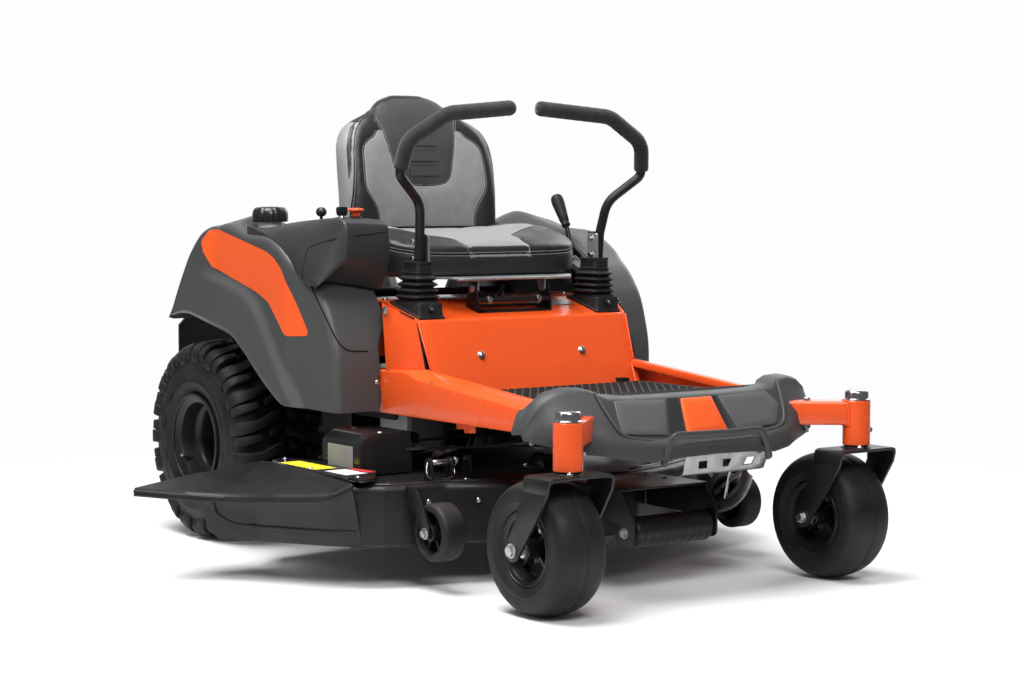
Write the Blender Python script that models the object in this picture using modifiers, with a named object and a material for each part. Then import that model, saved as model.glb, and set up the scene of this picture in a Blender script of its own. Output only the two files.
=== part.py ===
"""Residential zero turn mower with a 48 inch side-discharge deck.

Machine frame while modelling: X = 0 on the centre line with +X to the
operator's left, Y = 0 on the rear axle with the nose towards -Y, and Z = 0 on
the ground.  Every object hangs from one empty that shifts this frame so that
the finished part's origin is the middle of its footprint.  Lengths in metres.
"""
import math

import bpy
import bmesh
from mathutils import Matrix, Vector

# ---------------------------------------------------------------- dimensions
WHEELBASE = 1.2988          # rear axle to front wheel axle
REAR_R = 0.244              # rear tyre, about 20x10-8
REAR_W = 0.250
REAR_TRACK_X = 0.375
REAR_BEAD_R = 0.1020
FRONT_R = 0.1397            # front tyre, 11x6-5
FRONT_W = 0.122
CASTER_X = 0.396            # kingpin axis
CASTER_Y = -1.376
FRONT_X = 0.3933            # front wheel centre
TUBE_R = 0.030
TUBE_Z = (0.301, 0.399)
KINGPIN_R = 0.0130
RAIL_X = (0.287, 0.331)     # inner lip and outer face of the side rails
SHEET = 0.004
DECK_Z = (0.090, 0.223)     # skirt edge and top of the deck shell
DECK_HALF = 0.620
SPINDLE_X = 0.385
SPINDLE_SIDE_Y = -0.620
SPINDLE_MID_Y = -0.780
BLADE_LEN = 0.408
CHUTE_HINGE = (-0.557, -0.64, 0.243)
SEAT_HINGE = (0.0, -0.632, 0.628)
LEVER_X = 0.254             # boot and lever column
LEVER_Y = -0.620
LEVER_PIVOT_Z = 0.545       # fore and aft pivot
LEVER_SWING_Z = 0.600       # outward swing pivot
PANEL_TOP_Z = 0.562
FENDER_X = 0.500            # outer face of the fenders
FENDER_IN = 0.310
TANK_NECK = (-0.400, -0.215)
CRANK_Y = 0.150
GAP = 0.0004                # running gap between touching pieces

# footprint limits in the machine frame, for the final origin
X_MIN, X_MAX = -0.8802, 0.6195
Y_MIN, Y_MAX = -1.4378, 0.4200
ORIGIN = Vector((-(X_MIN + X_MAX) / 2, -(Y_MIN + Y_MAX) / 2, 0.0))

# -------------------------------------------------------------------- set-up
for ob in list(bpy.data.objects):
    bpy.data.objects.remove(ob, do_unlink=True)

parts = bpy.data.collections.new("zero_turn_mower")
cutters = bpy.data.collections.new("cutters")
bpy.context.scene.collection.children.link(parts)
bpy.context.scene.collection.children.link(cutters)


def material(name, color, rough, metal=0.0):
    mat = bpy.data.materials.new(name)
    mat.use_nodes = True
    node = mat.node_tree.nodes["Principled BSDF"]
    node.inputs["Base Color"].default_value = (*color, 1.0)
    node.inputs["Roughness"].default_value = rough
    node.inputs["Metallic"].default_value = metal
    return mat


ORANGE = material("orange_paint", (0.84, 0.12, 0.02), 0.35)
BLACK = material("black_paint", (0.012, 0.012, 0.013), 0.35)
GREY = material("fender_plastic", (0.075, 0.075, 0.078), 0.5)
MIDGREY = material("footrest_plastic", (0.11, 0.11, 0.115), 0.55)
VINYL = material("seat_vinyl", (0.05, 0.05, 0.053), 0.55)
FABRIC = material("seat_fabric", (0.18, 0.18, 0.18), 0.9)
RUBBER = material("rubber", (0.018, 0.018, 0.018), 0.75)
FOAM = material("grip_foam", (0.022, 0.022, 0.022), 0.9)
CHROME = material("chrome", (0.8, 0.8, 0.8), 0.08, 1.0)
ZINC = material("zinc", (0.6, 0.6, 0.6), 0.32, 1.0)
ALU = material("cast_aluminium", (0.45, 0.45, 0.46), 0.45, 1.0)
KNOB = material("orange_plastic", (0.85, 0.10, 0.02), 0.4)
PLASTIC = material("black_plastic", (0.02, 0.02, 0.02), 0.5)


def empty(name, location, parent=None):
    ob = bpy.data.objects.new(name, None)
    ob.empty_display_size = 0.05
    parts.objects.link(ob)
    ob.parent = parent
    base = machine_place(parent)
    ob.location = Vector(location) - base
    ob["place"] = list(location)
    return ob


def machine_place(ob):
    return Vector((0, 0, 0)) if ob is None or ob is ROOT else Vector(ob["place"])


ROOT = None
ROOT = bpy.data.objects.new("machine_origin", None)
parts.objects.link(ROOT)
ROOT.location = ORIGIN
ROOT["place"] = [0.0, 0.0, 0.0]


def attach(ob, holder, mat):
    """Hang an object, made at machine coordinates, from its joint's empty."""
    ob.parent = holder
    ob.location = ob.location - machine_place(holder)
    if mat is not None:
        ob.data.materials.clear()
        ob.data.materials.append(mat)
    return ob


def add_object(name, data, where=None):
    ob = bpy.data.objects.new(name, data)
    (where or parts).objects.link(ob)
    return ob


def smooth(ob, angle=35.0):
    ob.data.shade_smooth()
    ob.data.set_sharp_from_angle(angle=math.radians(angle))
    return ob


def bevel(ob, width, segments=1, angle=30.0):
    mod = ob.modifiers.new("Bevel", 'BEVEL')
    mod.width = width
    mod.segments = segments
    mod.limit_method = 'ANGLE'
    mod.angle_limit = math.radians(angle)
    return ob


def box(name, lo, hi, width=0.0, segments=1, where=None):
    bm = bmesh.new()
    bmesh.ops.create_cube(bm, size=1.0)
    lo, hi = Vector(lo), Vector(hi)
    size = hi - lo
    bmesh.ops.scale(bm, vec=size, verts=bm.verts)
    me = bpy.data.meshes.new(name)
    bm.to_mesh(me)
    bm.free()
    ob = add_object(name, me, where)
    ob.location = (lo + hi) / 2
    if width:
        bevel(ob, width, segments)
    return ob


def rod(name, start, end, radius, segments=24, radius2=None, where=None):
    """A straight round bar, or a cone when radius2 is given."""
    start, end = Vector(start), Vector(end)
    bm = bmesh.new()
    bmesh.ops.create_cone(bm, cap_ends=True, cap_tris=False, segments=segments,
                          radius1=radius, radius2=radius if radius2 is None else radius2,
                          depth=(end - start).length)
    turn = Vector((0, 0, 1)).rotation_difference((end - start).normalized())
    bmesh.ops.rotate(bm, cent=(0, 0, 0), matrix=turn.to_matrix(), verts=bm.verts)
    me = bpy.data.meshes.new(name)
    bm.to_mesh(me)
    bm.free()
    ob = add_object(name, me, where)
    ob.location = (start + end) / 2
    smooth(ob)
    return ob


def turned(name, profile, centre, axis='Z', steps=32, flip=False):
    """A closed (radius, height) profile swept about an axis by Screw."""
    area = 0.0
    for (r0, h0), (r1, h1) in zip(profile, profile[1:] + profile[:1]):
        area += r0 * h1 - r1 * h0
    pts = profile if area < 0 else profile[::-1]
    bm = bmesh.new()
    verts = [bm.verts.new((r, 0.0, -h if flip else h)) for r, h in (pts[::-1] if flip else pts)]
    for a, b in zip(verts, verts[1:] + verts[:1]):
        bm.edges.new((a, b))
    me = bpy.data.meshes.new(name)
    bm.to_mesh(me)
    bm.free()
    ob = add_object(name, me)
    mod = ob.modifiers.new("Screw", 'SCREW')
    mod.axis = 'Z'
    mod.angle = 2 * math.pi
    mod.steps = steps
    mod.render_steps = steps
    mod.use_merge_vertices = True
    mod.merge_threshold = 0.00005
    mod.use_smooth_shade = False
    ob.location = centre
    if axis == 'X':
        ob.rotation_euler = (0, math.pi / 2, 0)
    elif axis == 'Y':
        ob.rotation_euler = (-math.pi / 2, 0, 0)
    return ob


def baked(ob):
    """Swap an object for its evaluated mesh, welded, at the same place."""
    bpy.context.view_layer.update()
    deps = bpy.context.evaluated_depsgraph_get()
    me = bpy.data.meshes.new_from_object(ob.evaluated_get(deps))
    bm = bmesh.new()
    bm.from_mesh(me)
    bmesh.ops.remove_doubles(bm, verts=bm.verts, dist=0.00002)
    bmesh.ops.recalc_face_normals(bm, faces=bm.faces)
    bm.to_mesh(me)
    bm.free()
    name = ob.name
    new = bpy.data.objects.new(name + "_m", me)
    for col in ob.users_collection:
        col.objects.link(new)
    new.matrix_world = ob.matrix_world
    bpy.data.objects.remove(ob, do_unlink=True)
    new.name = name
    return new


PLANES = {
    'YZ': ((math.pi / 2, 0, math.pi / 2), lambda lo, hi: ((lo + hi) / 2, 0, 0)),
    'XY': ((0, 0, 0), lambda lo, hi: (0, 0, (lo + hi) / 2)),
    'XZ': ((math.pi / 2, 0, 0), lambda lo, hi: (0, (lo + hi) / 2, 0)),
}


def plate(name, outline, plane, lo, hi, where=None):
    """A flat outline with a thickness, from a filled 2D curve, as a mesh."""
    cu = bpy.data.curves.new(name, 'CURVE')
    cu.dimensions = '2D'
    cu.fill_mode = 'BOTH'
    cu.extrude = abs(hi - lo) / 2
    sp = cu.splines.new('POLY')
    sp.points.add(len(outline) - 1)
    for p, (a, b) in zip(sp.points, outline):
        p.co = (a, b, 0, 1)
    sp.use_cyclic_u = True
    ob = add_object(name, cu, where)
    rot, place = PLANES[plane]
    ob.rotation_euler = rot
    ob.location = place(lo, hi)
    return baked(ob)


def sheet(name, rows, thickness, offset=-1.0, even=True):
    """A bent sheet: a grid of points skinned and thickened by Solidify."""
    bm = bmesh.new()
    grid = [[bm.verts.new(p) for p in row] for row in rows]
    for r0, r1 in zip(grid, grid[1:]):
        for a, b, c, d in zip(r0, r0[1:], r1[1:], r1):
            bm.faces.new((a, b, c, d))
    me = bpy.data.meshes.new(name)
    bm.to_mesh(me)
    bm.free()
    ob = add_object(name, me)
    mod = ob.modifiers.new("Solidify", 'SOLIDIFY')
    mod.thickness = thickness
    mod.offset = offset
    mod.use_even_offset = even
    return ob


def tube(name, points, radius, resolution=2):
    cu = bpy.data.curves.new(name, 'CURVE')
    cu.dimensions = '3D'
    cu.bevel_depth = radius
    cu.bevel_resolution = resolution
    cu.use_fill_caps = True
    sp = cu.splines.new('POLY')
    sp.points.add(len(points) - 1)
    for p, q in zip(sp.points, points):
        p.co = (*q, 1)
    return baked(add_object(name, cu))


def rounded(points, radius, steps=4):
    """Replace each inner corner of a path by a short arc."""
    pts = [Vector(p) for p in points]
    out = [pts[0]]
    for a, b, c in zip(pts, pts[1:], pts[2:]):
        u, v = (a - b), (c - b)
        r = min(radius, u.length * 0.45, v.length * 0.45)
        p, q = b + u.normalized() * r, b + v.normalized() * r
        for i in range(steps + 1):
            t = i / steps
            out.append(p * (1 - t) ** 2 + b * 2 * t * (1 - t) + q * t * t)
    out.append(pts[-1])
    return out


def join(ob, other):
    """Weld another solid onto this one."""
    mod = ob.modifiers.new("Union", 'BOOLEAN')
    mod.operation = 'UNION'
    mod.object = other
    hide(other)
    return ob


def cut(ob, other):
    mod = ob.modifiers.new("Cut", 'BOOLEAN')
    mod.operation = 'DIFFERENCE'
    mod.object = other
    hide(other)
    return ob


def hide(ob):
    ob.hide_render = True
    ob.display_type = 'WIRE'
    for col in list(ob.users_collection):
        col.objects.unlink(ob)
    cutters.objects.link(ob)
    ob.parent = None


def weld(name, pieces, cuts=()):
    """Join overlapping solids into one body and drill it."""
    base = baked(pieces[0])
    base.name = name
    for p in pieces[1:]:
        join(base, baked(p))
    for c in cuts:
        cut(base, baked(c))
    done = baked(base)
    for ob in list(cutters.objects):
        bpy.data.objects.remove(ob, do_unlink=True)
    done.name = name
    return done


# ------------------------------------------------------------ front structure
def rail(side):
    """C-channel side rail, deep at the front panel and shallow at the nose."""
    name = ("left" if side > 0 else "right") + "_rail"
    xi, xo = RAIL_X[0] * side, RAIL_X[1] * side
    stations = [(-0.400, 0.440, 0.350), (-0.600, 0.452, 0.350), (-0.715, 0.452, 0.350),
                (-0.950, 0.432, 0.350), (-1.190, 0.411, 0.350)]
    rows = []
    for y, top, low in stations:
        row = [(xi, y, top), (xo, y, top), (xo, y, low), (xi, y, low)]
        rows.append(row if side > 0 else row[::-1])
    ob = sheet(name, rows, SHEET, offset=1.0)
    return attach(baked(ob), ROOT, ORANGE)


def front_axle():
    """Cross beam with an angled arm and an upright kingpin tube each side."""
    z0, z1 = 0.345, 0.397
    pieces = [box("front_axle", (-0.270, -1.262, z0), (0.270, -1.214, z1))]
    for s in (1, -1):
        a, b = Vector((0.236 * s, -1.238, 0)), Vector((0.392 * s, -1.371, 0))
        n = Vector((-(b - a).y, (b - a).x, 0)).normalized() * 0.021
        pieces.append(plate("arm", [tuple((a + n)[:2]), tuple((b + n)[:2]),
                                    tuple((b - n)[:2]), tuple((a - n)[:2])], 'XY', z0 + 0.0006, z1 - 0.0006))
        pieces.append(rod("tube", (CASTER_X * s, CASTER_Y, TUBE_Z[0]),
                          (CASTER_X * s, CASTER_Y, TUBE_Z[1]), TUBE_R, 24))
    cuts = [rod("bore", (CASTER_X * s, CASTER_Y, TUBE_Z[0] - 0.01),
                (CASTER_X * s, CASTER_Y, TUBE_Z[1] + 0.01), KINGPIN_R + 0.0012, 20) for s in (1, -1)]
    return attach(weld("front_axle", pieces, cuts), ROOT, ORANGE)


def caster_cap(side):
    """Chromed dust cap over the top kingpin bearing."""
    name = ("left" if side > 0 else "right") + "_caster_cap"
    z = TUBE_Z[1] + GAP
    prof = [(0.0264, z), (0.0264, z + 0.018), (0.0235, z + 0.0220), (0.006, z + 0.0226), (0.006, z + 0.0196),
            (0.0225, z + 0.0186), (0.0225, z)]
    ob = turned(name, prof, (CASTER_X * side, CASTER_Y, 0), steps=20)
    ob = baked(ob)
    return attach(ob, ROOT, CHROME)


def ledge_z(y):
    """Top of the sloping ledge that carries the boots and the seat bracket."""
    return PANEL_TOP_Z + (y + 0.688) / 0.128 * 0.035


def front_panel():
    """Folded orange panel: face, sloping ledge, seat riser and side cheeks."""
    bm = bmesh.new()
    P = {}
    for s in (1, -1):
        for key, (x, y, z) in {"a": (0.283, -0.762, 0.380), "b": (0.283, -0.731, 0.457), "c": (0.292, -0.688, PANEL_TOP_Z),
                               "d": (0.327, -0.613, 0.586), "e": (0.327, -0.613, 0.457),
                               "f": (0.292, -0.560, ledge_z(-0.560)), "g": (0.284, -0.430, 0.604),
                               "h": (0.284, -0.410, 0.462)}.items():
            P[key, s] = bm.verts.new((x * s, y, z))
    for k0, k1 in ("ab", "bc", "cf", "fg", "gh"):
        bm.faces.new((P[k0, -1], P[k0, 1], P[k1, 1], P[k1, -1]))
    for s in (1, -1):
        bm.faces.new((P["c", s], P["d", s], P["f", s]))
        bm.faces.new((P["b", s], P["e", s], P["d", s], P["c", s]))
    bmesh.ops.recalc_face_normals(bm, faces=bm.faces)
    face = next(f for f in bm.faces if abs(f.calc_center_median().z - 0.5795) < 0.003 and
                abs(f.calc_center_median().x) < 0.01)
    if face.normal.z < 0:
        bmesh.ops.reverse_faces(bm, faces=bm.faces)
    me = bpy.data.meshes.new("front_panel")
    bm.to_mesh(me)
    bm.free()
    ob = add_object("front_panel", me)
    mod = ob.modifiers.new("Solidify", 'SOLIDIFY')
    mod.thickness = SHEET
    mod.offset = -1.0
    mod.use_even_offset = True
    cuts = [box("post_hole", (LEVER_X * s - 0.022, LEVER_Y - 0.024, 0.55), (LEVER_X * s + 0.022, LEVER_Y + 0.024, 0.62))
            for s in (1, -1)]
    return attach(weld("front_panel", [ob], cuts), ROOT, ORANGE)


def footrest():
    """Moulded foot board with a raised bumper across its nose."""
    # (y, z, half width, outer half width, outer z) from the heel end to the lip
    run = [(-0.790, 0.404, 0.266, 0.274, 0.402), (-1.146, 0.404, 0.266, 0.274, 0.402),
           (-1.176, 0.436, 0.272, 0.280, 0.428), (-1.196, 0.446, 0.292, 0.384, 0.424),
           (-1.224, 0.451, 0.298, 0.390, 0.418), (-1.262, 0.440, 0.290, 0.372, 0.410),
           (-1.287, 0.416, 0.256, 0.268, 0.412), (-1.330, 0.352, 0.222, 0.232, 0.348),
           (-1.374, 0.296, 0.160, 0.166, 0.294)]
    rows = []
    for y, z, w, wo, zo in run[::-1]:
        rows.append([(-wo, y, zo), (-w, y, z), (0, y, z), (w, y, z), (wo, y, zo)])
    pieces = [sheet("footrest", rows, 0.005, offset=-1.0)]
    return attach(weld("footrest", pieces), ROOT, MIDGREY)


def step_plate():
    """Zinc step below the bumper with three slots, on a bent brace."""
    rows = [[(x, y, z) for x in (-0.050, 0.070, 0.190)] for y, z in
            ((-1.268, 0.336), (-1.328, 0.300), (-1.316, 0.262))]
    ob = sheet("step_plate", rows, 0.004, offset=-1.0)
    brace = plate("brace", [(-1.322, 0.264), (-1.300, 0.263), (-1.216, 0.3440), (-1.236, 0.3440), (-1.300, 0.290)],
                  'YZ', 0.020, 0.026)
    cuts = [box("slot", (x - 0.012, -1.345, 0.268), (x + 0.012, -1.300, 0.288)) for x in (0.005, 0.070, 0.135)]
    return attach(weld("step_plate", [ob, brace], cuts), ROOT, ZINC)


# -------------------------------------------------------------------- casters
def caster(side):
    name = "left" if side > 0 else "right"
    swivel = empty(name + "_caster_axis", (CASTER_X * side, CASTER_Y, 0.30), ROOT)
    axle = (FRONT_X * side, -WHEELBASE, FRONT_R)
    spin = empty(name + "_front_wheel_axis", axle, swivel)
    cx = FRONT_X * side

    # bent strip: stations (x offset, z, y centre, half length)
    half = [(0.0775, 0.124, -1.2988, 0.019), (0.0775, 0.160, -1.302, 0.020),
            (0.0770, 0.228, -1.334, 0.026), (0.0690, 0.262, -1.350, 0.044), (0.0480, 0.284, -1.356, 0.058),
            (0.0240, 0.2868, -1.360, 0.062)]
    path = [(-x, z, y, h) for x, z, y, h in half] + [(x, z, y, h) for x, z, y, h in reversed(half)]
    rows = [[(cx + x, y - h, z), (cx + x, y + h, z)] for x, z, y, h in path]
    strip = sheet("strip", rows[::-1], 0.006, offset=1.0)
    pin = rod("kingpin", (CASTER_X * side, CASTER_Y, 0.2885), (CASTER_X * side, CASTER_Y, 0.3970), KINGPIN_R, 20)
    seat = rod("bearing_seat", (CASTER_X * side, CASTER_Y, 0.2885), (CASTER_X * side, CASTER_Y, 0.3000), 0.024, 20)
    bolt = rod("axle_bolt", (cx - 0.0945, -WHEELBASE, FRONT_R), (cx + 0.0945, -WHEELBASE, FRONT_R), 0.0075, 12)
    nuts = [rod("nut", (cx + a, -WHEELBASE, FRONT_R), (cx + b, -WHEELBASE, FRONT_R), 0.0125, 6)
            for a, b in ((0.080, 0.090), (-0.090, -0.080))]
    fork = weld(name + "_fork", [strip, seat, pin, bolt] + nuts)
    attach(fork, swivel, BLACK)

    tyre = [(0.0705, -0.044), (0.0705, 0.044), (0.0790, 0.0446), (0.0880, 0.0570), (0.1080, 0.0610),
            (0.1260, 0.0570), (0.1350, 0.0420), (FRONT_R, 0.0150), (FRONT_R, -0.0150), (0.1350, -0.0420),
            (0.1260, -0.0570), (0.1080, -0.0610), (0.0880, -0.0570), (0.0790, -0.0446)]
    ob = baked(turned(name + "_front_tyre", tyre, axle, 'X', 30))
    attach(ob, spin, RUBBER)
    rim = [(0.0775, 0.0449), (0.0775, 0.0500), (0.0680, 0.0500), (0.0620, 0.0120), (0.0240, 0.0120),
           (0.0240, 0.0560), (0.0090, 0.0560), (0.0090, -0.0560), (0.0240, -0.0560), (0.0240, 0.0060),
           (0.0600, 0.0060), (0.0660, -0.0500), (0.0775, -0.0500), (0.0775, -0.0449), (0.0700, -0.0440),
           (0.0700, 0.0440)]
    ob = baked(turned(name + "_front_rim", rim, axle, 'X', 22))
    attach(ob, spin, BLACK)


# ---------------------------------------------------------------- rear wheels
def rear_wheel(side):
    name = "left" if side > 0 else "right"
    centre = (REAR_TRACK_X * side, 0.0, REAR_R)
    spin = empty(name + "_rear_wheel_axis", centre, ROOT)
    b = REAR_BEAD_R
    tyre = [(b, -0.1120), (b, 0.1120), (0.1160, 0.1126), (0.1400, 0.1220), (0.1750, 0.1250),
            (0.2220, 0.1170), (0.2400, 0.0850), (REAR_R, 0.0450), (REAR_R, -0.0450), (0.2400, -0.0850),
            (0.2220, -0.1170), (0.1750, -0.1250), (0.1400, -0.1220), (0.1160, -0.1126)]
    attach(baked(turned(name + "_rear_tyre", tyre, centre, 'X', 36)), spin, RUBBER)
    # the disc sits towards the inner face, where the axle hub is
    s = side
    rim = [(0.1147, 0.1131), (0.1147, 0.1190), (0.0980, 0.1190), (0.0940, 0.0400), (0.0700, -0.0500),
           (0.0142, -0.0500), (0.0142, -0.0900), (0.0330, -0.0900), (0.0340, -0.0580), (0.0740, -0.0560),
           (0.0970, 0.0100), (0.0970, -0.1190), (0.1147, -0.1190), (0.1147, -0.1131),
           (0.1012, -0.1120), (0.1012, 0.1120)]
    rim = [(r, h * s) for r, h in rim]
    attach(baked(turned(name + "_rear_rim", rim, centre, 'X', 26)), spin, BLACK)


# ------------------------------------------------------------- rear structure
def rear_frame():
    """Engine platform with side flanges, cross member and rear guard plate."""
    pieces = [box("rear_frame", (-0.236, -0.452, 0.398), (0.236, 0.414, 0.404))]
    for s in (1, -1):
        pieces.append(box("flange", (min(0.230 * s, 0.2362 * s), -0.450, 0.350),
                          (max(0.230 * s, 0.2362 * s), 0.412, 0.4035)))
    pieces.append(box("cross", (-0.286, -0.4300, 0.352), (0.286, -0.396, 0.4037)))
    pieces.append(plate("guard", [(-0.290, 0.335), (0.290, 0.335), (0.315, 0.360), (0.315, 0.500),
                                  (0.270, 0.545), (0.150, 0.545), (0.120, 0.500), (-0.120, 0.500),
                                  (-0.150, 0.545), (-0.270, 0.545), (-0.315, 0.500), (-0.315, 0.360)],
                        'XZ', 0.412, 0.420))
    cuts = [rod("crank_hole", (0, CRANK_Y, 0.38), (0, CRANK_Y, 0.42), 0.022, 20)]
    for x in (-0.20, 0.20):
        cuts.append(rod("hole", (x, 0.39, 0.40), (x, 0.44, 0.40), 0.0085, 12))
    return attach(weld("rear_frame", pieces, cuts), ROOT, BLACK)


def transaxle(side):
    """Hydrostatic drive: cast case, cooling fan pulley and the axle shaft."""
    name = ("left" if side > 0 else "right") + "_transaxle"
    z = REAR_R
    x0, x1 = sorted((0.085 * side, 0.205 * side))
    pieces = [box(name, (x0, -0.085, z - 0.070), (x1, 0.075, z + 0.072), 0.018, 2),
              rod("boss", (0.200 * side, 0, z), (0.240 * side, 0, z), 0.040, 24),
              rod("axle", (0.238 * side, 0, z), (0.343 * side, 0, z), 0.0127, 16),
              rod("hub", (0.2395 * side, 0, z), (0.2820 * side, 0, z), 0.0260, 20),
              rod("input_shaft", (0.145 * side, -0.005, z + 0.070), (0.145 * side, -0.005, z + 0.092), 0.009, 12),
              rod("input_pulley", (0.145 * side, -0.005, z + 0.088), (0.145 * side, -0.005, z + 0.104), 0.052, 24)]
    return attach(weld(name, pieces), ROOT, ALU)


def engine():
    y = CRANK_Y
    pieces = [rod("engine_block", (0, y, 0.4045), (0, y, 0.5200), 0.118, 24)]
    for a in (40, 140):
        ang = math.radians(a)
        d = Vector((math.cos(ang), math.sin(ang), 0))
        n = Vector((-d.y, d.x, 0)) * 0.055
        p, q = Vector((0, y, 0)) + d * 0.06, Vector((0, y, 0)) + d * 0.186
        pieces.append(plate("cylinder", [tuple((p + n)[:2]), tuple((q + n)[:2]), tuple((q - n)[:2]),
                                         tuple((p - n)[:2])], 'XY', 0.415, 0.512))
    attach(weld("engine_block", pieces), ROOT, ALU)
    z = 0.5206
    shroud = [(0.172, z), (0.176, z + 0.060), (0.160, z + 0.110), (0.105, z + 0.128), (0.050, z + 0.130),
              (0.050, z + 0.125), (0.103, z + 0.123), (0.156, z + 0.105), (0.171, z + 0.060), (0.167, z)]
    attach(baked(turned("engine_shroud", shroud, (0, y, 0), steps=24)), ROOT, PLASTIC)
    muff = [rod("muffler", (-0.135, 0.366, 0.465), (0.135, 0.366, 0.465), 0.040, 20),
            rod("tail", (0.110, 0.366, 0.465), (0.110, 0.366, 0.555), 0.014, 12)]
    attach(bevel(weld("muffler", muff), 0.006, 1, 50), ROOT, ZINC)
    crank = empty("crank_axis", (0, y, 0.330), ROOT)
    prof = [(0.0125, 0.398), (0.0125, 0.357), (0.066, 0.357), (0.066, 0.352), (0.050, 0.344), (0.066, 0.336),
            (0.066, 0.331), (0.0040, 0.331), (0.0040, 0.398)]
    attach(baked(turned("crank_pulley", prof, (0, y, 0), steps=20)), crank, ZINC)


def fuel_tank():
    x, y = TANK_NECK
    pieces = [box("fuel_tank", (-0.468, -0.345, 0.520), (-0.330, -0.085, 0.680), 0.02, 2),
              rod("neck", (x, y, 0.670), (x, y, 0.7780), 0.0290, 20),
              rod("drip_tray", (x, y, 0.7400), (x, y, 0.7450), 0.0440, 20)]
    attach(weld("fuel_tank", pieces), ROOT, PLASTIC)
    turn = empty("fuel_cap_axis", (x, y, 0.800), ROOT)
    z = 0.7800
    cap = [(0.0425, z), (0.0425, z + 0.014), (0.0400, z + 0.019), (0.0250, z + 0.024), (0.0240, z + 0.032),
           (0.0050, z + 0.034), (0.0050, z + 0.004), (0.0330, z + 0.003), (0.0340, z)]
    attach(baked(turned("fuel_cap", cap, (x, y, 0), steps=20)), turn, PLASTIC)


def battery():
    pieces = [box("battery", (-0.098, -0.385, 0.4045), (0.098, -0.255, 0.550), 0.003),
              box("lid", (-0.101, -0.388, 0.548), (0.101, -0.252, 0.566), 0.003)]
    for x in (-0.075, 0.075):
        pieces.append(rod("terminal", (x, -0.36, 0.564), (x, -0.36, 0.580), 0.008, 12))
    attach(weld("battery", pieces), ROOT, PLASTIC)


# -------------------------------------------------------------------- fenders
FENDER_TOP = [(-0.598, 0.355), (-0.598, 0.490), (-0.560, 0.593), (-0.505, 0.655), (-0.430, 0.702),
              (-0.385, 0.730), (-0.325, 0.752), (-0.240, 0.775), (-0.130, 0.794), (-0.080, 0.778),
              (-0.036, 0.744), (0.006, 0.706), (0.054, 0.639), (0.120, 0.538)]
FENDER_LOW = [(0.025, 0.550), (-0.186, 0.509), (-0.205, 0.494), (-0.382, 0.363), (-0.430, 0.3625)]
FENDER_KNEE = 4             # index in FENDER_TOP above the last low point, where the plan starts to taper


def fender_x(y):
    """Half width of the fender's side, tapering in plan towards its nose."""
    t = 0.005
    return FENDER_X - t - max(0.0, (-0.430 - y) / 0.168) * 0.078


def fender(side):
    """Moulded shell: side, crest and inner apron, arched over the rear wheel."""
    name = ("left" if side > 0 else "right") + "_fender"
    bm = bmesh.new()
    t = 0.005
    ring = [bm.verts.new((fender_x(y) * side, y, z)) for y, z in FENDER_TOP]
    low = [bm.verts.new((fender_x(y) * side, y, z)) for y, z in FENDER_LOW]
    bm.faces.new(ring[FENDER_KNEE:] + low)
    bm.faces.new(ring[:FENDER_KNEE + 1] + [low[-1]])
    crest, apron = [], []
    for y, z in FENDER_TOP:
        drop = 0.030 * max(0.0, min(1.0, (z - 0.66) / 0.10))
        crest.append(bm.verts.new(((fender_x(y) - 0.030) * side, y, z)))
        inner = FENDER_IN if z > 0.53 else RAIL_X[1] + 0.007
        apron.append(bm.verts.new((inner * side, y, z - drop)))
    for a, b in ((ring, crest), (crest, apron)):
        for i in range(len(a) - 1):
            bm.faces.new((a[i], b[i], b[i + 1], a[i + 1]))
    bmesh.ops.recalc_face_normals(bm, faces=bm.faces)
    outer = max(bm.faces, key=lambda f: f.calc_area())
    if outer.normal.x * side < 0:
        bmesh.ops.reverse_faces(bm, faces=bm.faces)
    me = bpy.data.meshes.new(name)
    bm.to_mesh(me)
    bm.free()
    ob = add_object(name, me)
    mod = ob.modifiers.new("Solidify", 'SOLIDIFY')
    mod.thickness = t
    mod.offset = 1.0
    mod.use_even_offset = True
    cuts = []
    if side < 0:
        cuts.append(rod("neck_hole", (TANK_NECK[0], TANK_NECK[1], 0.70), (TANK_NECK[0], TANK_NECK[1], 0.86),
                        0.0462, 24))
    else:
        cuts.append(box("lever_slot", (0.338, -0.470, 0.60), (0.362, -0.320, 0.86)))
    ob = weld(name, [ob], cuts)
    return attach(ob, ROOT, GREY)


def control_console():
    """Raised pod on the right fender carrying throttle, key and clutch knob."""
    out = [(-0.300, 0.7740), (-0.300, 0.7880), (-0.520, 0.7950), (-0.560, 0.7930), (-0.576, 0.7820), (-0.578, 0.6900),
           (-0.566, 0.6300), (-0.5450, 0.6300), (-0.5000, 0.6720), (-0.4280, 0.7160), (-0.3820, 0.7440)]
    pod = plate("control_console", out, 'YZ', -0.420, -0.300)
    cuts = [rod("bore", (-0.345, y, 0.740), (-0.345, y, 0.83), r, 16) for y, r in ((-0.450, 0.0110), (-0.510, 0.0085))]
    cuts.append(box("throttle_slot", (-0.356, -0.405, 0.7650), (-0.348, -0.335, 0.83)))
    ob = weld("control_console", [pod], cuts)
    return attach(ob, ROOT, GREY)


def console_top(y):
    """Height of the console's top face at y."""
    return 0.7880 + (y + 0.300) / (-0.520 + 0.300) * (0.7950 - 0.7880)


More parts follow.
